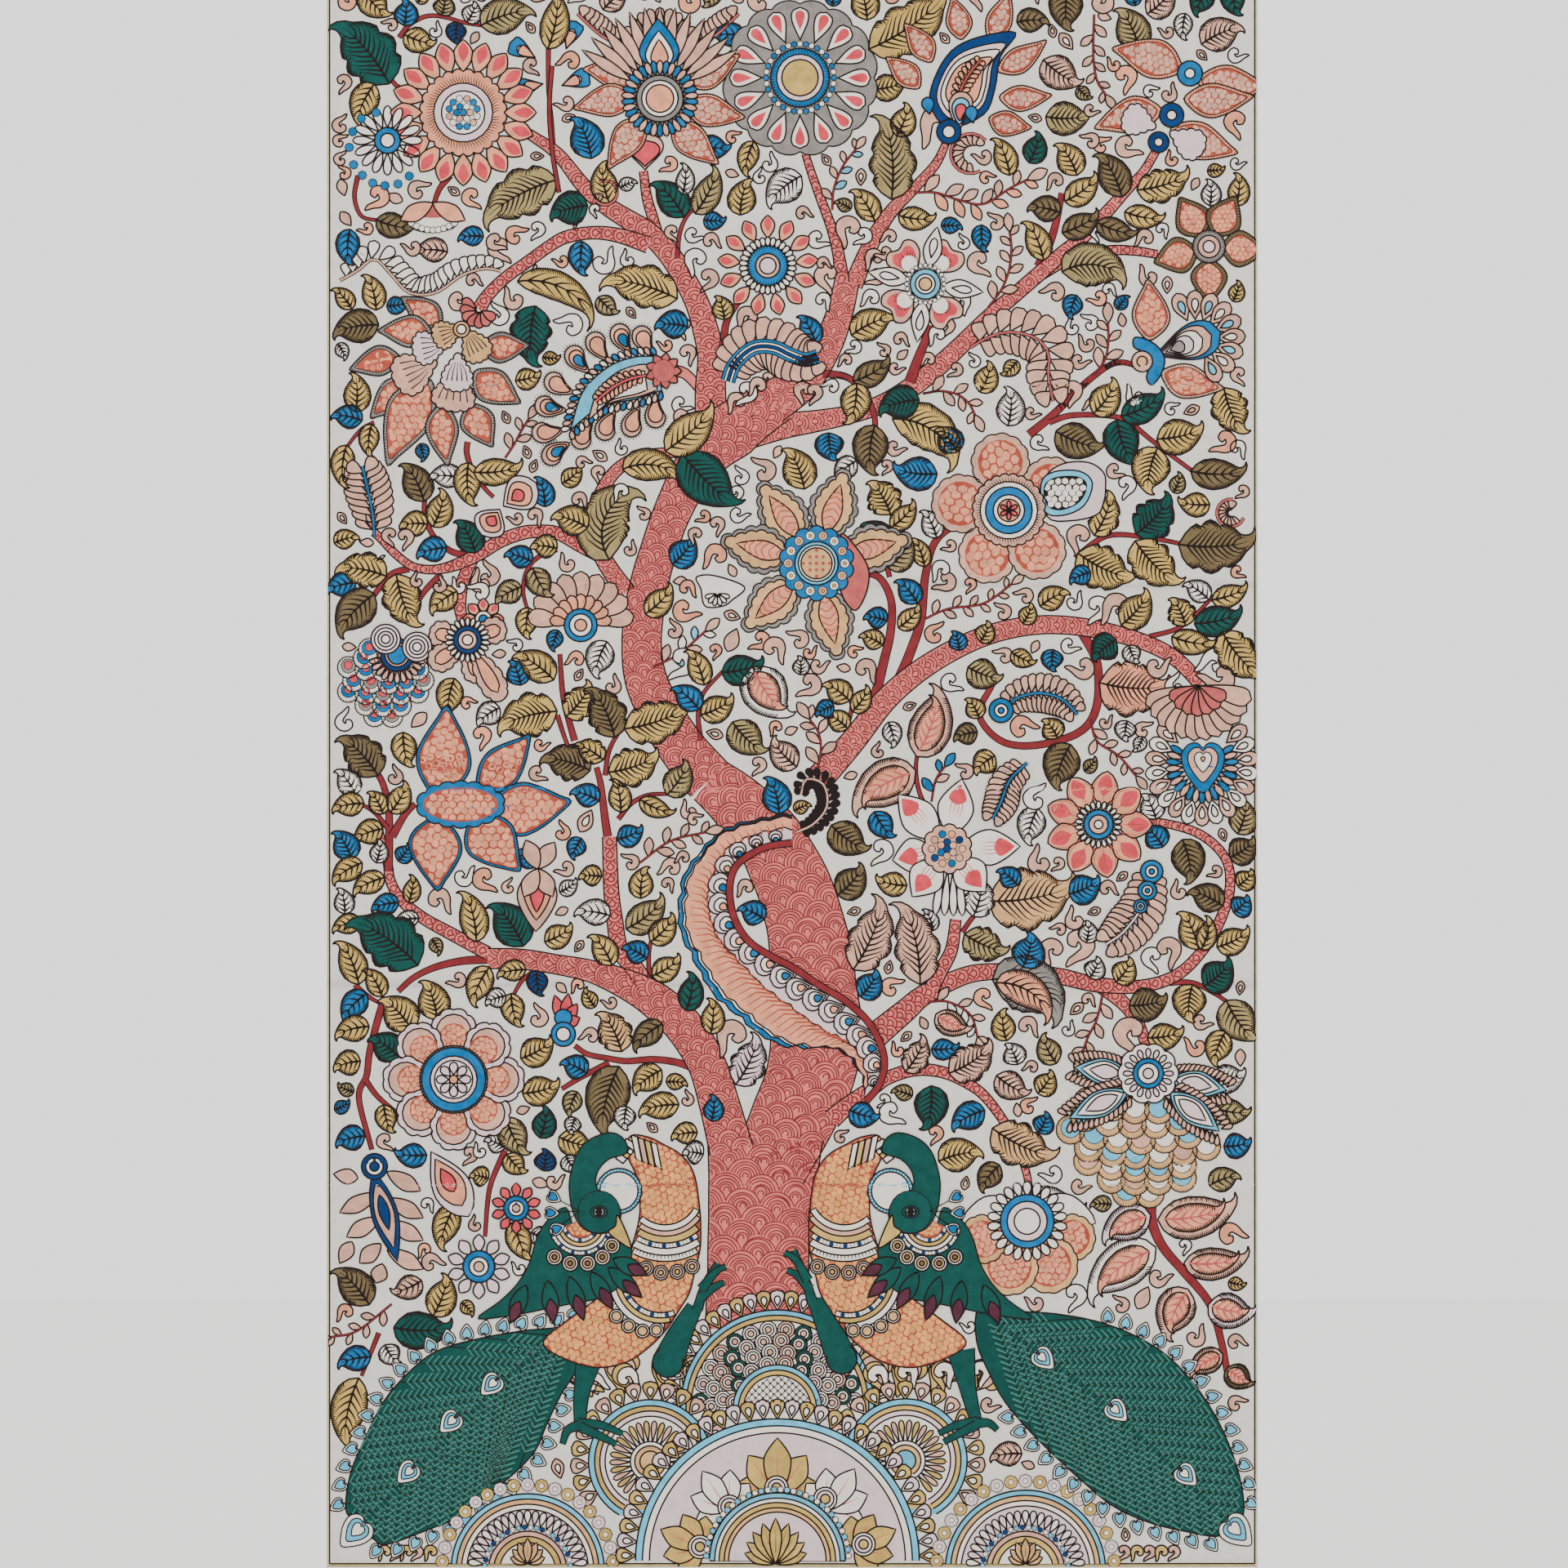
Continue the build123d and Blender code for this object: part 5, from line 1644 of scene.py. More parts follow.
def feather(p, points, reach, count, dye_name="beige", rib_dye="twig", sides=(1, -1), lean=55, fat=0.45):
    """Tongues along one or both sides of a rib."""
    p.at()
    rib = evenly(curve(points), count=count + 2)
    for i in range(1, count + 1):
        along = rib[i + 1] - rib[i - 1]
        heading = math.degrees(math.atan2(along[1], along[0]))
        size = reach * math.sin(math.pi * (0.12 + 0.8 * i / (count + 1))) ** 0.6
        for side in sides:
            bud_at(p, *rib[i], heading + side * lean, size, reach * fat, dye_name, fat=0.75)
    p.line(rib, 0.42)
    p.line(rib, 0.2, rib_dye)


class PANEL_OT_flowers(Painter, bpy.types.Operator):
    """The flowers"""
    bl_idname = "panel.flowers"
    bl_label = "Flowers"
    group = "flowers"
    lift = 0.54

    def paint(self, p):
        self.round_flowers(p)
        self.scaled_flowers(p)
        self.cones_and_fans(p)
        self.small_flowers(p)

    def round_flowers(self, p):
        # Rose of eight broad petals, low on the left
        p.start(0)
        for k in range(8):
            a = math.radians(90 + 45 * k)
            p.at(-38.9 + 5.5 * math.cos(a), 56.1 + 5.5 * math.sin(a), 90 + 45 * k)
            p.drawn(scalloped(disc_outline(2.5, 16), 9, 0.25), "mauve")
            p.drawn(disc_outline(2.0, 16), "beige")
            cells(p, disc_outline(1.7, 12, -0.7), 0.7, "brick", "salmon")
        p.at(-38.9, 56.1)
        nested(p, [(3.9, "mauve"), (3.7, "blue"), (2.7, "mauve"), (2.2, "cream")])
        toothed(p, 3.7, 0.5)
        petals(p, 8, 0.5, 2, 0.95, "mauve", tip=0)
        p.disc(0.5, "salmon")
        # Sunflower, high on the left
        p.start(0)
        p.at(-37.8, 167.2)
        petals(p, 20, 4.7, 8.4, 2.2, "salmon", tip_dye="red")
        p.drawn(scalloped(disc_outline(4.7, 60), 24, 0.35), "salmon")
        toothed(p, 3.5, 0.9, 0.3)
        nested(p, [(3.4, "mauve"), (2.5, "cream")])
        p.beads([(0, 0)] + list(on_arc(0.8, 0, 300, 6)) + list(on_arc(1.65, 15, 345, 12)), 0.4,
                ["blue", "beige", "cream", "blue"])
        # Daisy in the middle of the top
        p.start(0)
        p.at(0.9, 171.2)
        p.drawn(scalloped(disc_outline(8.5, 60), 16, 0.5), "grey", BOLD)
        petals(p, 16, 4.3, 8.1, 2.0, "cream", tip=0, fat=0.75, tip_dye="red")
        p.beads(on_arc(3.9, 0, 350, 36), 0.33, ["blue", "cream"])
        nested(p, [(3.4, "blue"), (2.7, "mauve"), (2.1, "ochre")])
        toothed(p, 3.4, -0.5)
        # Small sunflower
        p.start(0)
        p.at(-2.8, 149.6)
        petals(p, 13, 3.2, 5.8, 1.6, "salmon", tip_dye="red")
        petals(p, 30, 2.1, 3.3, 0.62, "cream", tip=0)
        nested(p, [(2.3, "blue"), (1.4, "beige"), (0.95, "mauve")])
        toothed(p, 2.3, -0.4)
        # Four hearts and four pale petals
        p.start(0)
        p.at(15.3, 147.5)
        for a in (52, 128, 218, 305):
            p.at(15.3, 147.5, a)
            shape = [(2, 0.3), (3.2, 1.7), (4.6, 2), (5.4, 1.2), (5, 0), (5.4, -1.2), (4.6, -2),
                     (3.2, -1.7), (2, -0.3)]
            bow(p, shape, "beige")
            inner = np.array((3.6, 0)) + (np.array(shape) - (3.6, 0)) * 0.7
            p.patch(curve(inner, closed=True, per=4), "red", 0.5)
            p.patch(disc_outline(0.95, 14, 3, 0), "cream")
            p.hatch(disc_outline(0.9, 14, 3, 0), 0.4, 0.25, 0.12, 0, side=-1)
        for a in (78, 352, 262, 168):
            p.at(15.3, 147.5)
            c, s = math.cos(math.radians(a)), math.sin(math.radians(a))
            bud_at(p, 2 * c, 2 * s, a, 4.7, 2.1, "cream", fat=0.45, tip=1, eye="cream")
        p.at(15.3, 147.5)
        p.beads(on_arc(2.15, 0, 345, 24), 0.25, ["cream"])
        nested(p, [(1.75, "sky"), (1.15, "cream"), (0.75, "sand")])
        # Six lobed petals
        p.start(0)
        for a in (15, 73, 125, 166, 222, 283):
            leafy_petal(p, 2.8 + 3 * math.cos(math.radians(a)), 115.4 + 3 * math.sin(math.radians(a)), a,
                        8.3, 5.2)
        p.at()
        bow(p, [(8.8, 114.6), (7.6, 116.9), (5.7, 118.8), (5.4, 116), (5.4, 113.2), (6, 111.2), (7.3, 110),
                (8.5, 112)], "rose")
        p.at(2.8, 115.4)
        p.drawn(scalloped(disc_outline(3.9, 50), 14, 0.45), "blue", BOLD)
        p.beads(on_arc(3.25, 0, 334, 14), 0.55, ["cream", "beige"], eye="ochre")
        nested(p, [(2.5, "sky"), (2.1, "cream"), (1.8, "sand")])
        p.beads([(i * 0.75, j * 0.75) for i in range(-2, 3) for j in range(-2, 3) if i * i + j * j < 5], 0.16,
                ["red"], width=0.05)
        # Five round petals with a blue heart
        p.start(0)
        for a in (100, 30, 172, 244, 305):
            c, s = math.cos(math.radians(a)), math.sin(math.radians(a))
            p.at(24.9 + 5.6 * c, 121.5 + 5.6 * s, a)
            p.drawn(scalloped(disc_outline(3.2, 24), 12, 0.2), "beige", BOLD)
            cells(p, disc_outline(2.6, 16), 1.0, "brick", "salmon", stretch=1.2)
        p.at()
        bow(p, [(29, 125), (31, 126.8), (34, 127), (35.8, 125.8), (36, 124), (35.8, 122.5), (35, 121),
                (32, 120.3),
                (29.3, 120.8)], "mauve")
        bow(p, [(28.6, 124.6), (30, 125.9), (33, 126), (34.5, 124.6), (33.5, 122), (31, 120.9),
                (29, 121.4)], "sky")
        cells(p, curve([(28.9, 124.2), (30.2, 125.3), (32.8, 125.4), (33.9, 124.4), (33.1, 122.5),
                        (31, 121.5), (29.3, 122)],
                       closed=True, per=4), 0.8, "line", "cream")
        p.at(24.9, 121.5)
        p.drawn(scalloped(disc_outline(4.0, 50), 24, 0.25), "beige")
        toothed(p, 3.3, 0.6, 0.3)
        nested(p, [(3.3, "cream"), (2.7, "blue"), (1.8, "cream"), (1.3, "salmon")])
        petals(p, 6, 0.1, 1.1, 0.5, "red", tip=0)

    def scaled_flowers(self, p):
        # Nine scaled petals hanging round a frilled centre
        p.start(0)
        for x, h, turn, length, width in (
                (-40.3, 142.5, 136, 5.8, 3.4), (-41.3, 141.6, 168, 6.3, 3.8), (-45, 139, 186, 6, 3.5),
                (-43.6, 136.3, 214, 6.4, 3.7), (-41.5, 136.5, 236, 11, 5.6), (-40.2, 133.8, 268, 7.2, 3.8),
                (-37, 133.8, 290, 5.6, 4), (-36.5, 137.5, 318, 6.4, 4.2), (-35.8, 140.4, 354, 5.6, 3.6)):
            scaled_petal(p, x, h, turn, length, width)
        for x, h, turn, length, width, dye_name in (
                (-40.8, 138.6, 205, 5.4, 4.6, "beige"), (-38.5, 137.5, 262, 4.6, 4.8, "beige"),
                (-39.6, 140.6, 190, 4, 3.6, "mauve"), (-38.4, 139.6, 268, 4.4, 3.4, "mauve"),
                (-38, 142.4, 200, 3.4, 3, "sand"), (-37.6, 142.4, 300, 4.2, 3.2, "sand")):
            p.at(x, h, turn)
            shape = scalloped(bud(length, width, 0.7, 0, 15), 14, 0.22)
            p.drawn(shape, dye_name)
            for k in np.linspace(-0.32, 0.32, 5):
                p.line(np.array([(length * 0.25, k * width * 0.4), (length * 0.5, k * width * 0.9),
                                 (length * 0.74, k * width * 1.1)]), np.array([0.06, 0.12, 0.16]))
        p.at(-38, 142.3)
        nested(p, [(0.95, "sand"), (0.55, "cream")])
        # Dark star
        p.start(0)
        for a in (270, 196, 121, 62, 356):
            scaled_petal(p, 47.9 + 1.4 * math.cos(math.radians(a)), 151.8 + 1.4 * math.sin(math.radians(a)),
                         a,
                         5.2, 4.2, "brown", "brick", "salmon", 0.62, 0.5, 0)
        p.at(47.9, 151.8)
        nested(p, [(1.9, "grey"), (1.3, "beige"), (0.7, "mauve")])
        toothed(p, 1.9, -0.4, 0.3)
        # Five scaled petals edged with blue
        p.start(0)
        for x, h, turn, length, width in ((-41, 88.6, 76, 10.5, 6.4), (-36.2, 89.6, 38, 8.6, 4.8),
                                          (-35, 87.2, 358, 9.6, 6.2),
                                          (-40.6, 86.4, 262, 8.6, 6.2), (-36.6, 86.6, 302, 8.4, 6)):
            scaled_petal(p, x, h, turn, length, width, "blue", "brick", "salmon", 0.95, 0.34)
        p.at(-38.1, 87.7)
        p.drawn(scalloped(disc_outline(4.9, 50, squash=0.5), 14, 0.3), "blue", BOLD)
        cells(p, disc_outline(4.3, 30, squash=0.46), 0.9, "brick", "salmon")
        # Three-beaded orchid
        p.start(0)
        for x, h, turn, length, width in ((44.8, 172, 155, 8.4, 4.6), (46.6, 171, -12, 8, 4.6),
                                          (42.5, 167.5, 188, 8, 4.2),
                                          (43.5, 165.5, -28, 8.2, 4.4), (45, 168.8, -5, 8, 4)):
            scaled_petal(p, x, h, turn, length, width, "salmon", "brick", "beige", 0.75, 0.36)
        for x, h, turn, length, width in ((41.8, 165.5, 160, 4, 3.4), (43.4, 165, -30, 4.4, 3.4)):
            p.at(x, h, turn)
            p.drawn(scalloped(bud(length, width, 0.7, 0, 15), 12, 0.2), "mauve")
        for x, h, r, dye_name in ((45.7, 171.7, 1.45, "blue"), (43.6, 166.9, 1.4, "navy"),
                                  (42.1, 163.8, 1.2, "navy")):
            p.at(x, h)
            nested(p, [(r, dye_name), (r * 0.4, "cream")])
        # Lotus
        p.start(0)
        for x, h, turn in ((-17, 170.6, 160), (-18, 168.8, 182), (-16.8, 166.5, 226), (-13.6, 166.4, 308),
                           (-12.4, 168.5, 338), (-12.6, 170.8, 18)):
            scaled_petal(p, x, h, turn, 7.2, 3.8, "salmon", "brick", "beige", 0.75, 0.3)
        p.at(-15.2, 168.8)
        for a in np.linspace(32, 148, 13):
            c, s = math.cos(math.radians(a)), math.sin(math.radians(a))
            bud_at(p, 4 * c, 4 * s, a, 6.6, 1.3, "beige", fat=0.5, tip=1)
        bud_at(p, 0, 3, 92, 6.2, 4.6, "blue", fat=0.4, tip=1)
        bud_at(p, 0, 3.2, 92, 4.6, 3.2, "cream", fat=0.4, tip=1)
        bud_at(p, 0, 3.4, 92, 3.4, 2, "salmon", fat=0.4, tip=1)
        petals(p, 34, 2.6, 4.4, 0.72, "blue", tip=0)
        petals(p, 17, 2.6, 4.4, 0.72, "beige", tip=0)
        nested(p, [(2.7, "grey"), (2.1, "cream"), (1.6, "salmon")])
        # Red cup bud below it
        p.start(0)
        p.at(-16.9, 160.6, 90)
        bud_at(p, 0, 0, 0, 4.2, 4.2, "beige", fat=0.65)
        bud_at(p, 0.4, 0, 0, 3, 3.4, "red", fat=0.65)

    def cones_and_fans(self, p):
        # Great paisley bud
        p.start(0)
        for x, h, turn, length in ((14.6, 170, 130, 5.2), (16, 173, 118, 5.4), (19.4, 175.6, 95, 5),
                                   (22.6, 175.6, 60, 6),
                                   (23.6, 172, 25, 6.6), (23.8, 169, -5, 6), (22.6, 166.6, -20, 5)):
            scaled_petal(p, x, h, turn, length, 3, "salmon", "brick", "beige", 0.7, 0.3)
        p.at()
        shell = np.array([(18, 165.5), (15.9, 168), (16.3, 171), (18.3, 174.3), (21.5, 175.9), (25.7, 176.4),
                          (23.9, 173.6), (23.3, 170), (22, 167)])
        middle = np.array((19.8, 170.2))
        for k, dye_name in ((1, "navy"), (0.8, "mauve"), (0.68, "cream"), (0.54, "salmon")):
            bow(p, middle + (shell - middle) * k, dye_name)
        feather(p, [(19, 167.6), (19.3, 169.6), (20.3, 171.6), (21.8, 173.4)], 1.3, 9, "salmon", "brick")
        paisley(p, 19.2, 165.4, 85, 4.2, ("beige", "sky", "red"))
        p.at(18, 165)
        nested(p, [(1.4, "navy"), (0.7, "cream")])
        for x, h in ((15.8, 167), (20.8, 166)):
            p.at()
            bud_at(p, x, h, 100, 2, 1.4, "blue")
        # Blue cup with a nested drop
        p.start(0)
        scaled_petal(p, 41, 141, 84, 7, 4.4, "beige", "brick", "salmon", 0.8, 0.34)
        scaled_petal(p, 42.4, 137.4, -22, 7.4, 4, "beige", "brick", "salmon", 0.8, 0.34)
        p.at(45.5, 141.2)
        for i, a in enumerate(np.linspace(112, -62, 9)):
            c, s = math.cos(math.radians(a)), math.sin(math.radians(a))
            bud_at(p, 2.4 * c + 0.8, 2.2 * s, a, 3.4, 1.9, "beige", eye=("sky", "cream")[i % 2])
        p.at(41.5, 139.2, 20)
        for k, dye_name in enumerate(("blue", "beige", "cream", "mauve", "grey")):
            size = 1 - 0.17 * k
            bud_at(p, 0.5 * k, 0, 0, 8.2 * size - 0.2 * k, 4.3 * size, dye_name, fat=0.68)
        p.at()
        bow(p, [(39.3, 141.3), (40.5, 141.2), (42, 140.3), (42.8, 138.8), (42.3, 137), (41.3, 135.9),
                (40.7, 136.7),
                (41, 138), (40.7, 139.5), (39.3, 140.2)], "blue")
        p.at(40.2, 138.6)
        nested(p, [(1.2, "beige"), (0.6, "sand")])
        # Cones of overlapping scales
        p.start(0)
        for rows, step, border in (
                ([(52.6, 34, 47.6), (50.9, 32.6, 48), (49.1, 32, 47.6), (47.4, 33, 48), (45.9, 34, 46.8),
                  (44.4, 35.6, 45),
                  (43, 38.4, 43.4)], 2.7, "sand"),
                ([(105.4, -48.6, -43.4), (104.3, -50, -41.8), (103, -51, -41.4), (101.6, -51.2, -41.8),
                  (100.3, -51, -42.4), (99, -49.8, -43.2), (97.8, -48, -44.4)], 2.0, "cream")):
            for row, (h, left, right) in enumerate(rows[::-1]):
                base = p.lift
                for i, x in enumerate(np.arange(left + (row % 2) * step * 0.4, right + 0.1, step)):
                    p.lift = base
                    middle = (left + right) / 2
                    p.at(x, h + 0.02 * (x - middle) ** 2)
                    r = step * 0.62
                    p.drawn(disc_outline(r, 16), border, 0.15)
                    p.hatch(disc_outline(r, 16), 0.3, 0.34, 0.1, 0, side=1)
                    dyes = ("sky", "cream", "beige", "cream", "sky") if border == "sand" else ("blue",
                            "grey", "blue")
                    p.drawn(disc_outline(r * 0.68, 14, 0, r * 0.12), dyes[(i + row) % len(dyes)], 0.1)
                    if border == "cream":
                        p.drawn(disc_outline(r * 0.4, 10, 0, r * 0.2), "red", 0.08)
                p.lift = base + 0.02
        for x, h, turn, length in ((38.8, 56.6, 172, 6.4), (43.6, 56.2, -12, 6.4), (38.6, 54.8, 205, 7.4),
                                   (43.4, 54.6, -38, 7.2)):
            p.at(x, h, turn)
            for t in np.linspace(0, 1, 13):
                for side in (1, -1):
                    bud_at(p, t * length, side * 1.1 * math.sin(math.pi * (0.2 + 0.7 * t)), side * 55, 1.4,
                           0.6, "beige",
                           fat=0.7)
            for k, dye_name in ((1, "sky"), (0.8, "cream"), (0.55, "mauve")):
                bud_at(p, (1 - k) * length * 0.4, 0, 0, length * k, 3 * k, dye_name, fat=0.5, tip=1)
        p.at(40.9, 56.8, 90)
        p.drawn(scalloped(disc_outline(3.2, 30), 10, 0.3), "cream")
        petals(p, 16, 1.6, 2.9, 0.6, "mauve", tip=0)
        nested(p, [(1.75, "blue"), (1.2, "cream"), (0.6, "mauve")])
        # The spirals and fringe over the little cone
        p.start(0.25)
        p.at(-45.4, 104.9)
        for i, a in enumerate(np.linspace(180, 360, 13)):
            c, s = math.cos(math.radians(a)), math.sin(math.radians(a))
            bud_at(p, 1.7 * c, 1.7 * s, a, 1.6, 0.6, "beige", fat=0.7)
        nested(p, [(1.9, "navy"), (1.4, "beige"), (1.1, "blue")])
        for x, h in ((-46.7, 106.7), (-43.1, 105.8)):
            p.at(x, h)
            nested(p, [(1.7, "mauve"), (1.3, "cream"), (0.9, "mauve"), (0.5, "cream")])
        # Fringed flower with ribbon leaves
        p.at(-37.3, 106.6)
        for turn, length in ((168, 4.4), (20, 4.6), (215, 5.2), (285, 5), (300, 8)):
            p.at(-37.3, 106.6, turn)
            p.drawn(scalloped(bud(length, 2.8, 0.7, 0, 15), 12, 0.2), "beige")
            p.drawn(bud(length * 0.75, 1.5, 0.7, 0, 11) + (length * 0.12, 0), "salmon")
        p.at(-37.3, 106.6)
        petals(p, 22, 1.4, 2.6, 0.5, "cream", tip=0)
        nested(p, [(1.6, "navy"), (1.1, "beige"), (0.6, "cream")])
        # Rings and drops on the hanging curls
        feather(p, [(24.5, 98.8), (26, 100), (28.5, 100.5), (31, 99.8), (32.8, 98)], 2.4, 13, "beige",
                "blue", lean=75)
        feather(p, [(27, 92.5), (25, 90.5), (24, 88), (23, 86)], 2.4, 12, "beige", "blue")
        feather(p, [(41.3, 80.5), (40.8, 78), (40, 75.6), (38, 73), (36, 71.6)], 3.2, 12, "beige", "mauve",
                lean=60)
        for x, h, r in ((24, 98.5, 1.4), (41.3, 80, 1.3), (40.8, 77.8, 1.1), (40, 76, 0.8)):
            p.at(x, h)
            nested(p, [(r, "blue"), (r * 0.55, "cream"), (r * 0.25, "blue")])
        # Fan with a blue heart at the right
        p.start(0)
        for i, a in enumerate(np.linspace(140, 400, 17)):
            c, s = math.cos(math.radians(a)), math.sin(math.radians(a))
            p.at(47.1, 92.2)
            bud_at(p, 3.6 * c, 4 * s, a, 3, 1.7, ("beige", "cream")[i % 2], eye="cream")
        for i, a in enumerate(np.linspace(150, 390, 21)):
            c, s = math.cos(math.radians(a)), math.sin(math.radians(a))
            bud_at(p, 2.2 * c, 2.4 * s, a, 2, 0.7, ("blue", "beige")[i % 2])
        p.at(46.6, 101.4)
        for a in np.linspace(200, 345, 12):
            bud_at(p, 0, 0, a, 6.4, 2.2, "beige", fat=0.8)
        for a in np.linspace(205, 335, 7):
            bud_at(p, 0, 0, a, 3.6, 1.5, "rose", fat=0.8)
        heart(p, 47.2, 93, 270, 6.4, ("blue", "beige", "cream", "salmon"))
        # Feathered paisley with blue edges
        p.start(0)
        for x, h, turn, dye_name in ((-16, 139.4, 120, "salmon"), (-18.6, 139.6, 118, "blue"),
                                     (-21.2, 138.8, 124, "salmon"),
                                     (-23.4, 137.4, 130, "blue"), (-25.2, 135, 150, "salmon"),
                                     (-26, 133, 168, "blue"),
                                     (-26.3, 130.8, 188, "salmon"), (-25.6, 129.2, 215, "blue"),
                                     (-15.6, 134.6, 268, "salmon"), (-17.6, 133.4, 250, "salmon"),
                                     (-20.4, 132.9, 244, "salmon"), (-23, 131.8, 240, "salmon")):
            paisley(p, x, h, turn, 3.6, ("beige", "salmon", dye_name) if dye_name == "blue" else
                    ("beige", "salmon"), flip=turn > 200, teeth=0.12)
        upper = curve([(-15.6, 139.2), (-18, 139.1), (-20.5, 138.3), (-22.7, 136.7), (-24.3, 134.6),
                       (-25.4, 131)])
        lower = curve([(-15, 135.3), (-17.5, 134.4), (-20.5, 133.8), (-22.7, 133), (-25.4, 130.8)])
        for edge, side in ((upper, 1), (lower, -1)):
            p.at()
            even = evenly(edge, 0.72)
            out = normals(even)
            for i, (place, n) in enumerate(zip(even, out)):
                heading = math.degrees(math.atan2(-n[1] * side, -n[0] * side))
                bud_at(p, *place, heading + 30 * side, 1.2, 0.6, ("blue", "beige", "cream")[i % 3])
        p.at()
        shell = np.vstack([upper, lower[::-1]])
        p.drawn(shell, "sky", BOLD)
        middle = shell.mean(axis=0)
        for k, dye_name in ((0.76, "beige"), (0.56, "cream")):
            p.drawn(middle + (0.9, 0) + (shell - middle) * k, dye_name)
        feather(p, [(-16.6, 137), (-18.6, 136.6), (-20.6, 135.6), (-22.6, 134)], 1.3, 10, "salmon", "red")
        p.at(-14.8, 137.5)
        petals(p, 9, 0.2, 2.1, 1.1, "rose", start=80)
        p.disc(1.3, "rose", width=0.05)

    def small_flowers(self, p):
        for x, h, r, dye_name, count in ((-36, 34.6, 3.7, "mauve", 10), (-31.7, 41.3, 2.9, "red", 10)):
            p.at(x, h)
            petals(p, count, r * 0.45, r, r * 0.36, dye_name)
            nested(p, [(r * 0.5, "blue"), (r * 0.3, "cream"), (r * 0.16, "beige")])
            toothed(p, r * 0.5, -0.25)
        # White flower with red-tipped petals
        p.start(0)
        p.at(18.2, 80.8, 268)
        for k in np.linspace(-0.9, 0.9, 4):
            bud_at(p, 0.5, k, k * 8, 5.4, 0.9, "cream", fat=0.7)
        p.at(17.8, 82.6)
        for a, reach in ((78, 8.2), (132, 8.4), (2, 8.4), (192, 6.4), (234, 6.8), (312, 6.6)):
            c, s = math.cos(math.radians(a)), math.sin(math.radians(a))
            bud_at(p, 1.6 * c, 1.6 * s, a, reach - 1.6, 4.1, "cream", fat=0.5, tip=1)
            p.patch(moved(bud(2.4, 2.1, 0.3, 1), c * (reach - 3), s * (reach - 3), a), "red", 0.5)
            for k in (-0.5, -0.2, 0.1, 0.4):
                p.line(moved([(reach - 4.6, k * 1.2), (reach - 3.4, k * 1.5), (reach - 2.6, k * 1.3)],
                             turn=a),
                       np.array([0.03, 0.09, 0.12]), "red")
        p.drawn(scalloped(disc_outline(2.6, 30), 11, 0.3), "beige")
        p.beads(list(on_arc(1.75, 0, 324, 10)) + list(on_arc(0.8, 30, 330, 6)) + [(0, 0)], 0.44,
                ["beige", "navy", "salmon", "blue", "beige"])
        # Small beige flower with a fringe
        p.start(0)
        p.at(35.2, 85.4)
        petals(p, 9, 2, 6.2, 3.1, "salmon", start=80, tip=0.5, fat=0.5, lines=3, tip_dye="red")
        petals(p, 22, 1.6, 2.7, 0.5, "cream", tip=0)
        nested(p, [(1.7, "blue"), (1.1, "beige"), (0.5, "cream")])
        # Pink poppy
        p.start(0)
        for x, h, turn, length in ((26, 42, 200, 7), (28, 42.4, -22, 7.4)):
            bud_at(p.at(), x, h, turn, length, 3.8, "cream", fat=0.5, tip=0.6)
        for a, r in ((-18, 2.6), (-62, 3.2), (-112, 3.2), (200, 2.7)):
            c, s = math.cos(math.radians(a)), math.sin(math.radians(a))
            p.at(27 + 5.4 * c, 39.6 + 5.4 * s, a)
            p.drawn(scalloped(disc_outline(r, 24), 12, 0.15), "sand", BOLD)
            cells(p, disc_outline(r * 0.8, 18), 0.75, "brick", "salmon")
        p.at(27, 39.8)
        petals(p, 22, 2.8, 4.6, 0.95, "cream", tip=0)
        nested(p, [(3.1, "blue"), (2.3, "mauve"), (1.5, "cream")])
        # Pincushion flower
        p.start(0)
        p.at(-46.5, 164)
        petals(p, 16, 1.4, 4, 0.95, "cream", tip=0)
        nested(p, [(1.5, "blue"), (0.8, "cream")])
        p.at()
        p.beads([(-49.5, 166.5), (-47.8, 167.2), (-50.5, 165), (-50.9, 163.2), (-50.4, 161.2), (-49.4, 160),
                 (-48.2, 159.1), (-46.8, 158.8), (-45.3, 159), (-44, 159.9)], 0.5, ["blue"])
        # Hanging buds and bells
        p.start(0)
        p.at(-29.2, 80.5, 268)
        bud_at(p, 0, 0, 0, 7.4, 4.6, "beige", tip=0.9, fat=0.45)
        bud_at(p, 0.9, 0, 0, 5.2, 3, "salmon", tip=0.9, fat=0.45)
        bud_at(p, 1.6, 0, 0, 3.6, 1.6, "red", tip=0.9, fat=0.45)
        for turn in (150, 30, 205, -25):
            bud_at(p, 0.2, 0, 90 - turn + 90, 3.6, 2, "beige", tip=1)
        p.at(-41.3, 156.6, 270)
        p.drawn(curve([(0, 0.4), (1, 1.8), (2.4, 2.6), (3, 1), (3.1, -1), (2.4, -2.6), (1, -1.8),
                       (0, -0.4)], closed=True,
                      per=4), "cream")
        p.patch(curve([(0, 0.4), (0.8, 1.4), (1.3, 1.8), (1.5, 0), (1.3, -1.8), (0.8, -1.4), (0, -0.4)],
                      closed=True,
                      per=4), "rose")
        p.beads([(2.9 - 0.05 * k * k, k * 0.62) for k in range(-4, 5)], 0.38, ["cream"])
        for turn in (62, -62):
            p.at(-41.3, 156.8)
            bud_at(p, 0, 0, 270 + turn, 4.2, 2, "salmon", tip=1)
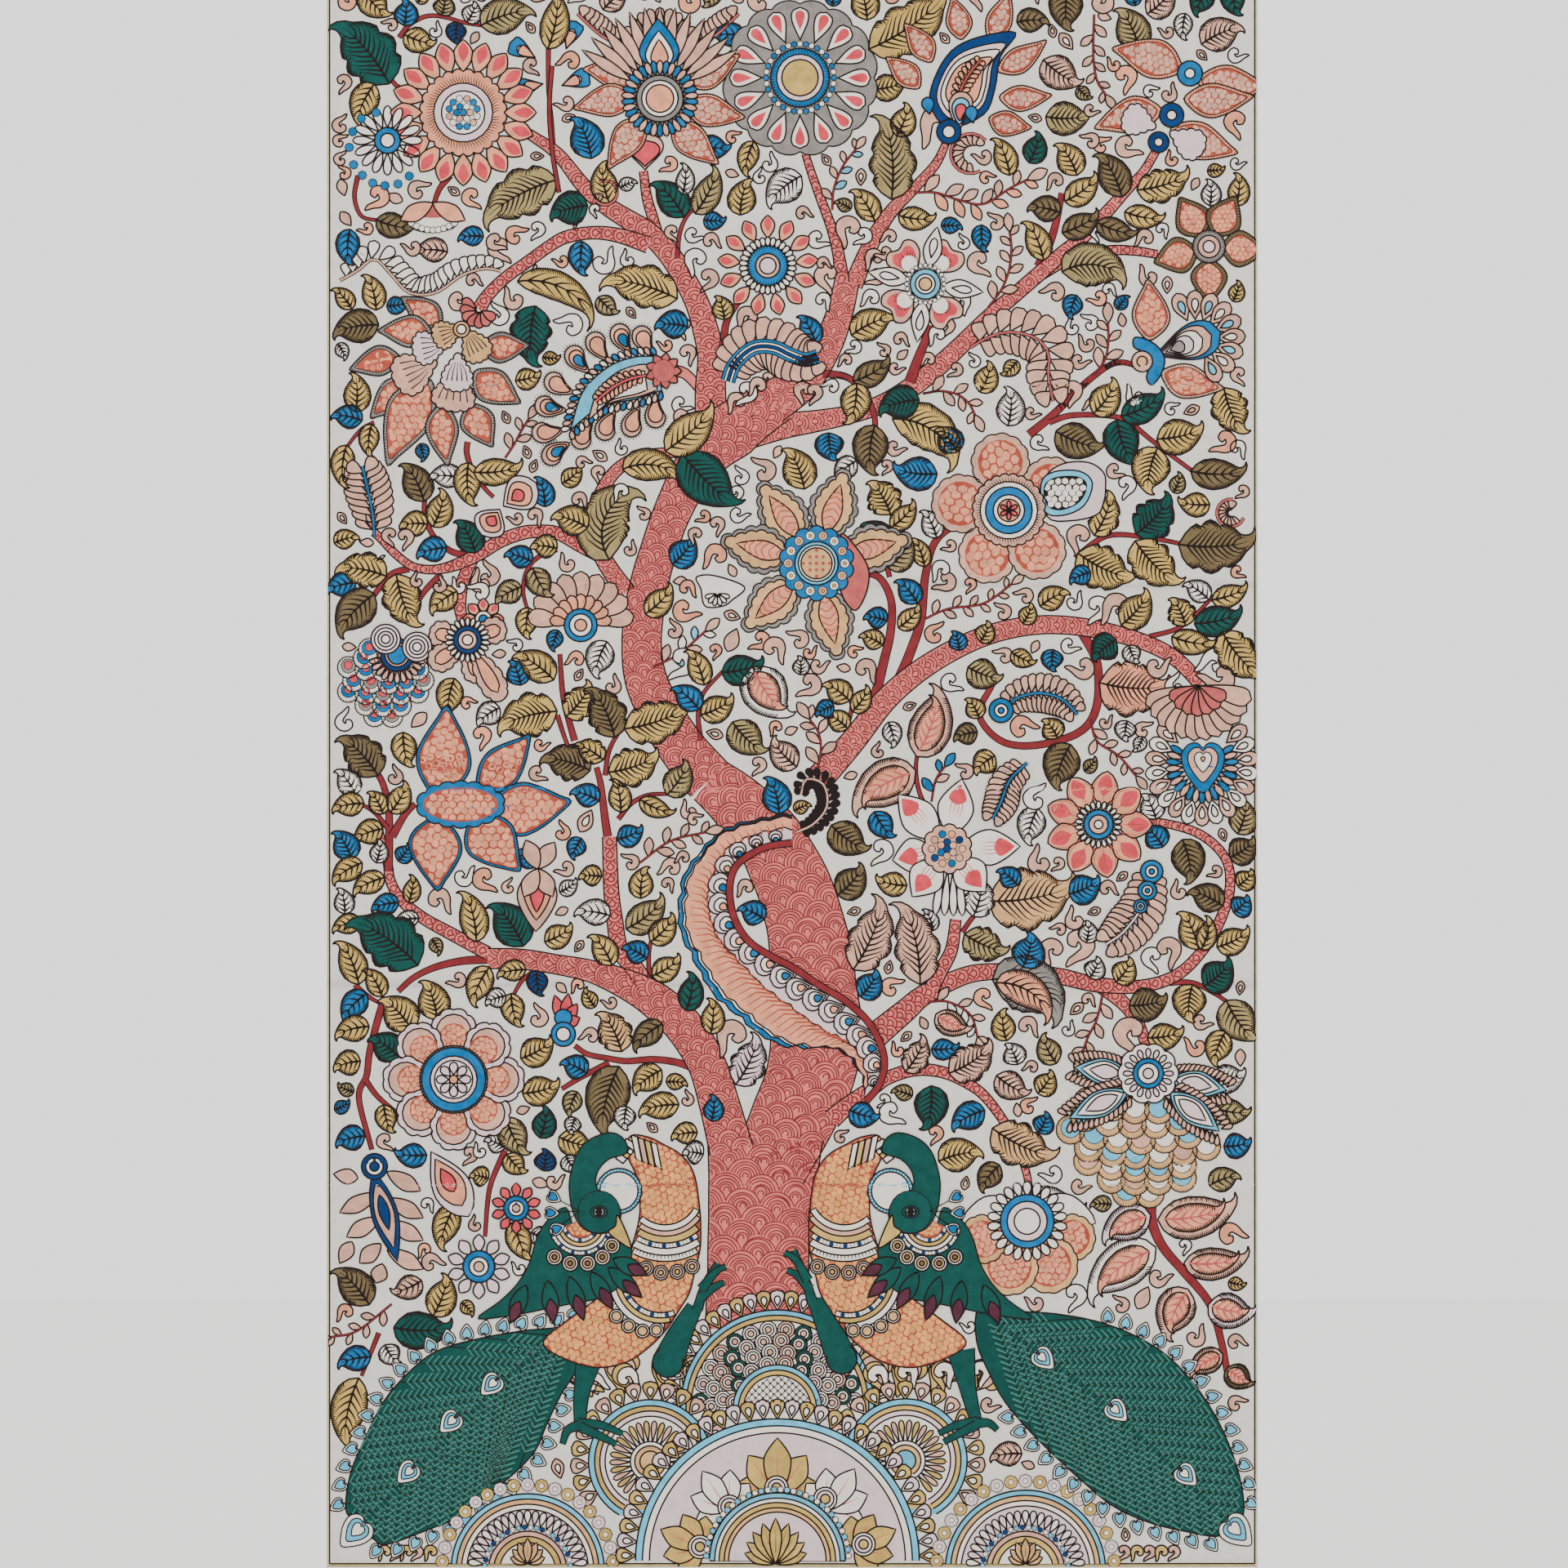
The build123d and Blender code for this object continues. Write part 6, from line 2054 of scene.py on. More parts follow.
        # Lens with a navy eye, and its striped petals
        p.start(0)
        for x, h in ((-52, 40.8), (-51.2, 38), (-49.7, 35), (-47.8, 32.7), (-42.7, 43.3), (-42.4, 40.2),
                     (-42.4, 37.6),
                     (-42.4, 34.3)):
            p.at()
            foot = np.array((-47 + (x + 47) * 0.1, h + 2.2))
            way = np.array((x, h)) - foot
            bud_at(p, *foot, math.degrees(math.atan2(way[1], way[0])), float(np.hypot(*way)), 1.9, "beige",
                   tip=1)
        p.at(-48.1, 45.4, 285)
        for k, dye_name in ((1, "navy"), (0.74, "beige"), (0.4, "navy")):
            bud_at(p, (1 - k) * 4.4, 0, 0, 10.6 * k, 3 * k, dye_name, fat=0.5, tip=1)
        p.at(-48, 46.1)
        nested(p, [(1.5, "navy"), (1, "cream"), (0.55, "navy")])
        # Little leaf flowers on the left
        p.start(0)
        for x, h, turn, length, width in ((-41.5, 47.8, 300, 8.6, 4.4), (-33.2, 122, 35, 4.6, 4.2),
                                          (-33.6, 121.6, 235, 3.6, 3.8)):
            p.at()
            for k, dye_name in ((1, "mauve"), (0.72, "salmon"), (0.36, "red")):
                a = math.radians(turn)
                bud_at(p, x + (1 - k) * length * 0.4 * math.cos(a),
                       h + (1 - k) * length * 0.4 * math.sin(a), turn,
                       length * k, width * k, dye_name, fat=0.6, tip=0.4)
        # Blue drop with red petals
        p.start(0)
        p.at()
        for x, h in ((-27.3, 65.8), (-25.7, 66), (-24.7, 64.8), (-24.4, 63.2)):
            way = np.array((x + 26.3, h - 62.3))
            bud_at(p, -26.3, 62.3, math.degrees(math.atan2(way[1], way[0])), float(np.hypot(*way)), 1.3,
                   "red", tip=1)
        bud_at(p, -26.3, 61.6, 90, 2.6, 2, "blue")
        p.disc(1.4, "blue", -26.3, 61.3)
        p.disc(0.8, "cream", -26.3, 61.3)


BAND_OUTER = [
    (0, 86.3), (-4, 85.5), (-8, 84.3), (-10.5, 81.5), (-12, 79.5), (-12.6, 76), (-12.3, 73), (-10.6, 69.5),
    (-8.5, 66), (-5.8, 63.7), (-3.5, 61.7), (0, 60.2), (4.5, 60.3), (6.5, 59.3), (7.8, 57.8), (8.6, 56.3),
    (8.8, 54.6)]
BAND_VINE = [
    (0, 83.3), (-3, 82.8), (-5.5, 81.5), (-6.8, 80), (-7.2, 77.5), (-6.6, 74.5), (-5, 72), (-2.5, 70.3),
    (0, 69), (3, 67), (6, 65.2), (8.5, 63), (10, 60.5), (10.6, 58), (10, 55.5), (8.5, 53.6)]


class PANEL_OT_scroll(Painter, bpy.types.Operator):
    """The scrolled band that winds over the trunk"""
    bl_idname = "panel.scroll"
    bl_label = "Scroll"
    group = "scroll"
    lift = 0.2

    def paint(self, p):
        p.at()
        outer = evenly(curve(BAND_OUTER), count=120)
        vine = evenly(curve(BAND_VINE), count=120)
        lobe = np.abs(np.sin(np.linspace(0, 22 * np.pi, 120))) ** 0.7
        edge = outer + normals(outer) * -(0.1 + 0.5 * lobe)[:, None]
        for t0, dye_name in ((0.0, "blue"), (0.07, "cream"), (0.11, "salmon"), (0.55, "mauve")):
            near = edge + (vine - outer) * t0
            strip = np.stack([near, vine], axis=1).reshape(-1, 2)
            i = np.arange(119)
            faces = np.vstack([np.column_stack([2 * i, 2 * i + 2, 2 * i + 3]),
                               np.column_stack([2 * i, 2 * i + 3, 2 * i + 1])])
            a, b, c = (strip[faces[:, k]] for k in range(3))
            u, v = b - a, c - a
            clockwise = u[:, 0] * v[:, 1] < u[:, 1] * v[:, 0]
            faces[clockwise] = faces[clockwise][:, ::-1]
            p.put(dye_name, strip, faces, 0.4)
            p.lift += 0.01
            p.line(near[::2])
        for k in range(3, 117, 2):
            a, b = outer[k], vine[k]
            s0, s1 = a + (b - a) * 0.14, a + (b - a) * 0.5
            bend_way = np.array([-(b - a)[1], (b - a)[0]]) * 0.06
            p.line(np.array([s0, (s0 + s1) / 2 + bend_way, s1]), np.array([0.06, 0.14, 0.22]), "brick")
        for n, k in enumerate(range(5, 118, 6)):
            a, b = outer[k], vine[k]
            place = a + (b - a) * 0.84
            way = a - b
            heading = math.degrees(math.atan2(way[1], way[0]))
            size = min(3.2, np.hypot(*way) * 0.66)
            p.at(*place, heading)
            for m, (scale, dye_name) in enumerate(((1, "mauve"), (0.66, "cream"),
                                                   (0.34, ("blue", "salmon")[n % 2]))):
                bud_at(p, -0.35 * size * scale, 0, 0, size * scale, size * 0.8 * scale, dye_name, fat=0.65)
        p.at()
        p.line(vine, 0.9)
        p.line(vine, 0.64, "twig")
        leaf(p, -3.2, 74.5, 150, 3.6, 3, "blue")
        feather(p, [(0.5, 84.5), (2.5, 85.5), (4, 87.5), (3.6, 90), (1.6, 90.6), (1, 88.8)], 1.6, 16,
                "line", "beige", (1, -1))


class PANEL_OT_plumes(Painter, bpy.types.Operator):
    """The feathered stems, the banded leaves and the half flowers"""
    bl_idname = "panel.plumes"
    bl_label = "Plumes"
    group = "plumes"
    lift = 0.32

    def banded_rib(self, p, points, widths, dyes):
        for width, dye_name in zip(widths, dyes):
            p.line(evenly(curve(points), 0.5), width + 0.26)
            p.line(evenly(curve(points), 0.5), width, dye_name)

    def crown(self, p, x, h, r0, r1, width, dye_name, low=10, high=170, count=9):
        p.at()
        for a in np.linspace(low, high, count):
            c, s = math.cos(math.radians(a)), math.sin(math.radians(a))
            bud_at(p, x + r0 * c, h + r0 * s, a, r1 - r0, width, dye_name, fat=0.7)

    def paint(self, p):
        # The stem that sweeps up to the edge, and the cup at the end of its limb
        p.start(0)
        feather(p, [(-52, 147.9), (-50, 149), (-48, 150.4), (-46, 148.5), (-44, 146.5), (-41, 146.5),
                    (-38, 148.5),
                    (-35.3, 149.3), (-33.5, 149)], 2.6, 24, "cream", "beige", (1,), 62, 0.5)
        p.start(0)
        self.crown(p, -36, 144.6, 0.3, 2.2, 1.1, "rose", 150, 330, 7)
        # The arched leaf of blue bands beside the trunk
        p.start(0)
        arch = [(-7.4, 136.3), (-6.8, 138), (-5.5, 139.5), (-4, 140.3), (-2, 140.2), (-.3, 139.4),
                (1.5, 138.8),
                (3, 139.2)]
        feather(p, arch, 3.6, 13, "beige", "blue", lean=62, fat=0.5)
        self.banded_rib(p, arch, (1.5, 0.8, 0.25), ("blue", "cream", "navy"))
        # The shell leaf to the right of the crown of the trunk
        p.start(0)
        feather(p, [(20.5, 140.2), (22.5, 141.4), (25, 142), (28, 141.3), (29.5, 139.5), (29.4, 137),
                    (30, 134)],
                3.3, 12, "beige", "rose", lean=58, fat=0.6)
        # The long drop at the left edge
        p.start(0)
        feather(p, [(-48, 118.4), (-48.2, 121), (-48.8, 124), (-49.4, 126.6)], 3.4, 9, "beige", "blue",
                lean=50)
        p.start(0)
        p.at()
        for k, dye_name in ((1, "blue"), (0.74, "cream"), (0.46, "rose")):
            bud_at(p, -48.1, 119.2, 97, 6.2 * k, 3.0 * k, dye_name, fat=0.6, tip=1)
        # The half flower, the small rose and the tulip on the left
        p.start(0)
        self.crown(p, -24.3, 108.3, 1.6, 6.2, 2.1, "beige")
        self.crown(p, -24.3, 108.3, 1.2, 3.6, 1.2, "salmon")
        p.at(-24.3, 108.3)
        nested(p, [(1.9, "blue"), (1.3, "cream"), (0.7, "salmon")])
        p.start(0)
        p.at(-35.5, 109)
        petals(p, 8, 0.7, 2.4, 1.2, "salmon", tip_dye="red")
        nested(p, [(0.95, "cream"), (0.5, "blue")])
        p.start(0)
        p.at()
        p.drawn(curve([(-11, 113.8), (-9, 114), (-5.5, 112.7), (-6.9, 111.2), (-8, 110.5), (-10, 110.5),
                       (-10.5, 112.5)], closed=True), "cream")
        self.crown(p, -8.6, 112, 0.2, 1.5, 0.5, "cream", 200, 340, 6)
        # The wings and the fringe of the crowned flower
        p.start(0)
        for way in (1, -1):
            wing = [(-15.4 + way * 2.8, 175.5), (-15.4 + way * 5, 175.3), (-15.4 + way * 7, 176.4),
                    (-15.4 + way * 9.3, 178.6)]
            feather(p, wing, 2.3, 9, "beige", "rose", (way,), 60, 0.55)
        self.crown(p, -15.2, 174.5, 2.4, 4.8, 1.0, "beige", 15, 165, 11)
        # Scrolls and sprigs of petals
        for x, h, r, turn, dye_name in ((20.5, 162.5, 2.3, 0, "beige"), (50.4, 121.2, 1.6, 40, "beige"),
                                        (2.5, 118.5, 1.5, 90, "beige"), (-21.5, 158, 1.4, 180, "beige")):
            p.start(0)
            feather(p, arc(r, turn + 300, turn + 40, 14) + (x, h), 1.9, 11, dye_name, "rose", (-1,), 60, 0.5)
        p.start(0)
        p.at()
        for x, h, turn in ((-29.5, 173.5, 150), (-26, 174.5, 70), (-26.5, 170.3, 20), (-28.6, 170.5, 190)):
            bud_at(p, x, h, turn, 3.4, 2.2, "blue", fat=0.85, eye="cream")
            bud_at(p, x, h, turn, 2.2, 1.2, "salmon", fat=0.85)
        self.banded_rib(p, [(-26.8, 158), (-27.6, 163), (-27.9, 168), (-27.6, 172.6)], (0.35,), ("twig",))


# --------------------------------------------------------------------------------- the mound and the peacocks

def bow(p, outline, dye_name, width=None):
    """A filled shape drawn from a few points, smoothed."""
    p.drawn(curve(outline, closed=True, per=4), dye_name, width)


def dome(p, x, h, bands, floor=0.47, start=0, end=180):
    """Half discs one inside the other, from the outside in: radius and dye."""
    p.at(x, h)
    for r, dye_name in bands:
        low = math.degrees(math.asin(min(1, max(-1, (floor - h) / r))))
        a, b = max(start, low), min(end, 180 - low)
        edge = arc(r, a, b, int(14 + r * 5))
        p.patch(edge, dye_name)
        p.line(edge)


def fan(p, x, h, r0, r1, start, end, count, width, dyes, eye=None, tip=0.0, fat=0.75):
    """Tongues standing on a circle."""
    p.at(x, h)
    base = p.lift
    for i, a in enumerate(np.linspace(start, end, count)):
        p.lift = base + 0.0006 * i
        c, s = math.cos(math.radians(a)), math.sin(math.radians(a))
        bud_at(p, r0 * c, r0 * s, a, r1 - r0, width, dyes[i % len(dyes)], fat=fat, tip=tip, eye=eye)


def on_arc(r, start, end, count):
    a = np.radians(np.linspace(start, end, count))
    return np.column_stack([r * np.cos(a), r * np.sin(a)])


def heart(p, x, h, turn, size, dyes=("cream", "sky", "cream")):
    """A heart whose point lies along its heading, with smaller ones inside it."""
    half = [(1, 0), (0.72, 0.3), (0.3, 0.56), (-0.12, 0.62), (-0.4, 0.42), (-0.44, 0.16), (-0.3, 0)]
    shape = np.array(half + [(a, -b) for a, b in half[-2:0:-1]])
    p.at(x, h, turn, size)
    for i, dye_name in enumerate(dyes):
        k = 1 - 0.3 * i
        p.drawn(curve(shape * k * 0.62, closed=True, per=3), dye_name, pen_cm() / size * 0.8)


def palmette(p, x, h, turn, size, dye_name, count=5, tip_dye="red"):
    """Leaves spread from one foot, the middle one tallest."""
    p.at(x, h, turn)
    for a in sorted(np.linspace(-72, 72, count), key=lambda a: -abs(a)):
        long = size * (1 - 0.28 * abs(a) / 72)
        bud_at(p, 0, 0, a, long, size * 2.4 / count, dye_name, fat=0.62, tip=1)
        line = moved([(long * 0.25, 0), (long * 0.8, 0)], turn=a)
        p.line(evenly(line, count=3), np.array([0.12, 0.1, 0.03]), tip_dye)


class PANEL_OT_mound(Painter, bpy.types.Operator):
    """The patterned mound under the tree"""
    bl_idname = "panel.mound"
    bl_label = "Mound"
    group = "mound"
    lift = 0.15

    def paint(self, p):
        # Curls of leaf that fill the slopes between the arches
        for x, turn in ((-23, 130), (-19.5, 110), (-15, 95), (-12.5, 80), (9, 100), (12, 85), (16, 80),
                        (19.5, 60)):
            p.start()
            for k, (reach, dye_name) in enumerate(((5.2, "ochre"), (4.2, "beige"), (3.4, "ochre"),
                                                   (3, "cream"))):
                curl(p, x + k * 0.7, 19.6 + k * 0.3, turn + k * 16 - 20, reach, dye_name, flip=bool(k % 2))
        # The upper arch, its rows of scales and its lattice
        p.start(0.08)
        fan(p, -1.7, 18.5, 11, 13.4, -4, 184, 27, 1.6, ("ochre", "mauve"), eye="cream")
        dome(p, -1.7, 18.5, [(11.1, "sky"), (10.5, "ochre"), (9.9, "cream")], start=-8, end=188)
        p.at(-1.7, 18.5)
        dyes = ("mauve", "green", "beige", "cream")
        for row, r in enumerate((8.9, 7.6, 6.3, 5.0)):
            base = p.lift
            for k, a in enumerate(np.arange(4 + (row % 2) * 5, 180, 118 / r)):
                c, s = r * math.cos(math.radians(a)), r * math.sin(math.radians(a))
                p.lift = base
                for n, scale in enumerate((1.0, 0.68, 0.36)):
                    p.drawn(disc_outline(scale, 11, c, s), (dyes[(row + k) % 4], "cream", "beige")[n], BOLD)
        dome(p, -1.7, 18.2, [(5.1, "sky"), (4.5, "ochre"), (3.9, "cream")], start=-4, end=184)
        strokes = []
        for k in np.arange(-8, 8, 0.85):
            for way in (1, -1):
                line = np.array([(k + way * t, t) for t in np.linspace(0.1, 3.8, 24)])
                strokes += runs(line, (np.hypot(line[:, 0], line[:, 1]) < 3.85))
        for stroke in strokes:
            p.line(stroke, 0.1)
        p.beads([(i * 0.85 + 0.42 * (j % 2), 0.45 + j * 0.42) for j in range(8) for i in range(-4, 5)
                 if math.hypot(i * 0.85 + 0.42 * (j % 2), 0.45 + j * 0.42) < 3.6], 0.1, ["line"], width=0.04)
        # The arches on its shoulders
        for x, h, heart_dye in ((-16.3, 12.2, "sand"), (13, 12.3, "sky")):
            p.start(0.24)
            fan(p, x, h, 6.9, 9.2, -30, 210, 19, 1.75, ("beige", "ochre"), eye="cream")
            dome(p, x, h, [(7.1, "sky"), (6.4, "ochre"), (5.8, "mauve"), (5.2, "cream")], floor=3,
                 start=-60, end=240)
            fan(p, x, h, 2.2, 4.7, -50, 230, 24, 0.62, ("ochre", "beige"))
            dome(p, x, h, [(2.3, "cream"), (1.8, "sand"), (1.2, heart_dye)], floor=3, start=-60, end=240)
        # The great dome
        p.start(0.34)
        fan(p, -1.7, 0.8, 16.2, 18.6, 2, 178, 33, 1.65, ("ochre", "mauve"), eye="cream")
        dome(p, -1.7, 0.8, [(16.3, "sky"), (15.5, "cream"), (14.7, "mauve")])
        for x, h, turn, size, dye_name in ((-1.7, 8.3, 90, 6.6, "ochre"), (-7.3, 6.6, 124, 5.4, "cream"),
                                           (4.2, 6.6, 58, 5.6, "cream"), (-10.4, 2.2, 155, 5.2, "ochre"),
                                           (7.2, 2.2, 25, 5.2, "ochre")):
            palmette(p, x, h, turn, size, dye_name, 5)
        for x, h in ((-1.8, 9.2), (-7.2, 7), (-10.6, 2.4), (3.8, 7.9), (8.2, 2.7)):
            p.at(x, h)
            for r, dye_name in ((1.35, "cream"), (1.0, "mauve"), (0.55, "ochre")):
                p.disc(r, dye_name)
        p.at(-1.7, 0.8)
        p.beads(on_arc(8.2, 4, 176, 34), 0.34, ["cream", "sky"])
        p.drawn(arc(7.8, 0, 180, 60), "sky")
        dome(p, -1.7, 0.8, [(7.2, "cream"), (6.7, "ochre"), (6.1, "sand"), (5.6, "mauve")])
        palmette(p, -1.9, 0.5, 90, 5.2, "ochre", 9, "brown")
        # The two low domes at its feet
        for x, r0 in ((-30.4, 8.8), (26.8, 9.2)):
            h = -0.3
            p.start(0.3)
            p.at(x, h)
            around = on_arc(r0 + 1.05, 6, 174, 19)
            p.beads(around, 0.78, ["ochre", "mauve"], eye="cream")
            dome(p, x, h, [(r0, "sky"), (r0 - 0.6, "sand"), (r0 - 1.2, "cream"), (r0 - 1.8, "mauve")])
            fan(p, x, h, 5.1, 6.9, 8, 172, 21, 0.75, ("cream", "mauve"), fat=0.7)
            p.at(x, h)
            p.beads(on_arc(4.95, 6, 174, 22), 0.3, ["sky", "cream", "navy"])
            dome(p, x, h, [(4.5, "beige"), (3.9, "ochre"), (3.2, "cream")])
            palmette(p, x, 0.5, 90, 2.9, "sand", 7, "brown")
        p.start(0.18)
        for i, x in enumerate((-42.2, -43.8, -45, -46.2, -47.5, 37.5, 39, 40.4, 41.8, 43.2)):
            curl(p, x, 0.7, 60, 1.9, ("ochre", "beige")[i % 2], flip=bool(i % 2))


def chevron_feathers(p, tail, shaft, feather, spacing=0.75):
    """A folded train: rows of barbed feathers run off its shaft on both sides to the rim."""
    tail = np.asarray(tail, float)
    shaft = evenly(curve(shaft), 1.0)
    along = np.gradient(shaft, axis=0)
    along /= np.linalg.norm(along, axis=1, keepdims=True)
    pen, bars = [], []
    for side, lean in ((1, 38), (-1, 38)):
        for k in range(0, len(shaft), 2):
            a = math.radians(side * lean)
            c, s = math.cos(a), math.sin(a)
            way = np.array([along[k, 0] * c - along[k, 1] * s, along[k, 0] * s + along[k, 1] * c])
            across = np.array([-way[1], way[0]])
            steps = shaft[k] + np.arange(0, 34, 0.25)[:, None] * way
            for stroke in runs(steps, inside(steps, tail)):
                if np.allclose(stroke[0], steps[0]) or k == 0:
                    pen.append(stroke)
            for t in np.arange(0.5, 34, spacing):
                middle = shaft[k] + way * t
                barb = np.array([middle - way * 0.75 + across * feather / 2, middle,
                                 middle - way * 0.75 - across * feather / 2])
                if inside(barb, tail).all():
                    bars.append(barb)
    for stroke in pen:
        p.line(evenly(stroke, 0.8), 0.13)
    if bars:
        p.line(np.array(bars), 0.26, "jade")
        p.line(np.array(bars) - (0, 0.2), 0.09)


LEFT_TAIL = [
    (-23, 28.5), (-27, 27.6), (-31, 27.2), (-36.5, 26.2), (-41, 24.8), (-44.2, 22.3), (-47, 19), (-49, 15),
    (-50.7, 11), (-51.3, 7), (-50.5, 5.5), (-48, 3.2), (-46.5, 2.7), (-42, 4.3), (-38, 6), (-35.5, 8),
    (-32, 10.8), (-29.5, 13.5), (-28.2, 16.5), (-26.5, 20), (-24, 24)]
RIGHT_TAIL = [
    (21.5, 30), (25, 29.5), (30, 29.2), (35, 28.3), (39.5, 26.6), (43.5, 24), (47, 20), (49.6, 15.5),
    (51.4, 10.5), (51.9, 6.5), (51, 4.6), (48.8, 3.6), (45, 4.2), (41, 5.2), (37, 7), (33.5, 9.8), (30, 13),
    (27, 16), (24.5, 19), (22.8, 22), (21.2, 26)]


class PANEL_OT_trains(Painter, bpy.types.Operator):
    """The peacocks' trains"""
    bl_idname = "panel.trains"
    bl_label = "Trains"
    group = "trains"
    lift = 0.4

    def paint(self, p):
        for tail, shaft, hearts, way in (
                (LEFT_TAIL, [(-26, 26.5), (-32, 22.5), (-40, 14.5), (-49.8, 4.5)],
                 [(-34.3, 21.3), (-39, 17), (-43.9, 11.2)], 225),
                (RIGHT_TAIL, [(23.5, 28), (31, 22.8), (40, 15), (50.7, 4.6)],
                 [(28.6, 24.3), (37, 18.3), (45, 10.9)], 315)):
            p.start(0)
            p.at()
            outline = curve(tail, closed=True, per=4)
            p.drawn(outline, "green")
            chevron_feathers(p, outline, shaft, 1.8)
            base = p.lift
            for x, h in hearts:
                p.lift = base
                heart(p, x, h, way, 3.2)
            heart(p, *shaft[-1], way, 4.6)
            even = evenly(outline, 2.1)
            side = shrunk(anticlockwise(even), -0.75)
            middle = even.mean(axis=0)
            for x, h in side:
                if (h > 29.2) or abs(x) < 24.5 or np.hypot(x - shaft[-1][0], h - shaft[-1][1]) < 3:
                    continue
                out = math.degrees(math.atan2(h - middle[1], x - middle[0]))
                p.lift = base
                heart(p, x, h, out, 2.0, ("cream", "sky"))


SHOULDER = [
    (10.4, 47.6), (10, 49.6), (8, 49.5), (6.3, 48.7), (4, 47.3), (2.6, 45), (2, 41), (1.9, 38.5), (2, 36.5),
    (2.6, 34), (3.2, 31.6), (4.4, 29.6), (6, 27.2), (8, 25.2), (10.5, 23.6), (14, 23), (18, 24.2), (20, 26),
    (17, 28.6), (13.5, 31.2), (10.8, 34), (9.8, 37), (9, 40), (8.9, 42.5), (9.3, 45)]
NECK = [
    (10.4, 47.7), (10.7, 49.2), (12.2, 50), (14.5, 49.3), (16, 47.8), (16.8, 45.5), (17, 43.5), (16.6, 41),
    (15.4, 39), (13.2, 38.4), (11.5, 39.2), (11.1, 41), (12, 42.6), (13.5, 43.2), (14, 44.3), (13.6, 45.8),
    (12.4, 47)]
WING = [
    (10, 37.2), (10.1, 34.5), (11.2, 32.4), (13.5, 31), (16.5, 30.4), (19.5, 29.8), (22.5, 29.2),
    (27.5, 28.6), (25, 30.6), (23, 32.6), (21.6, 35), (20.7, 38), (19.4, 40), (17.4, 41.4), (16.4, 39),
    (14, 37.6), (12, 37.4)]


def banded(p, centre, radii, start, end, within=None):
    """Bands of a collar round a centre, from the outside in. The dyes beads and teeth are patterns."""
    for outer, inner, dye_name in radii:
        a, b = start, end
        if within is not None:
            angles = np.linspace(start, end, 60)
            ways = np.column_stack([np.cos(np.radians(angles)), np.sin(np.radians(angles))])
            kept = angles[inside(centre + ways * outer, within) & inside(centre + ways * inner, within)]
            if len(kept) < 2:
                continue
            a, b = kept[0], kept[-1]
        ring = np.vstack([arc(outer, a, b, 18), arc(inner, b, a, 18)]) + centre
        if dye_name == "beads":
            p.drawn(ring, "cream")
            middle = arc((outer + inner) / 2, a, b, max(6, int(outer * math.radians(abs(b - a)) / 0.75)))
            p.beads(middle[1:-1] + centre, (outer - inner) * 0.42, ["navy", "cream"], width=0.07)
        elif dye_name == "teeth":
            p.drawn(ring, "cream")
            p.hatch(arc(inner, a, b, 18) + centre, (outer - inner) * 0.8, 0.4, 0.14, 0, side=-1, uneven=0)
        else:
            p.drawn(ring, dye_name)


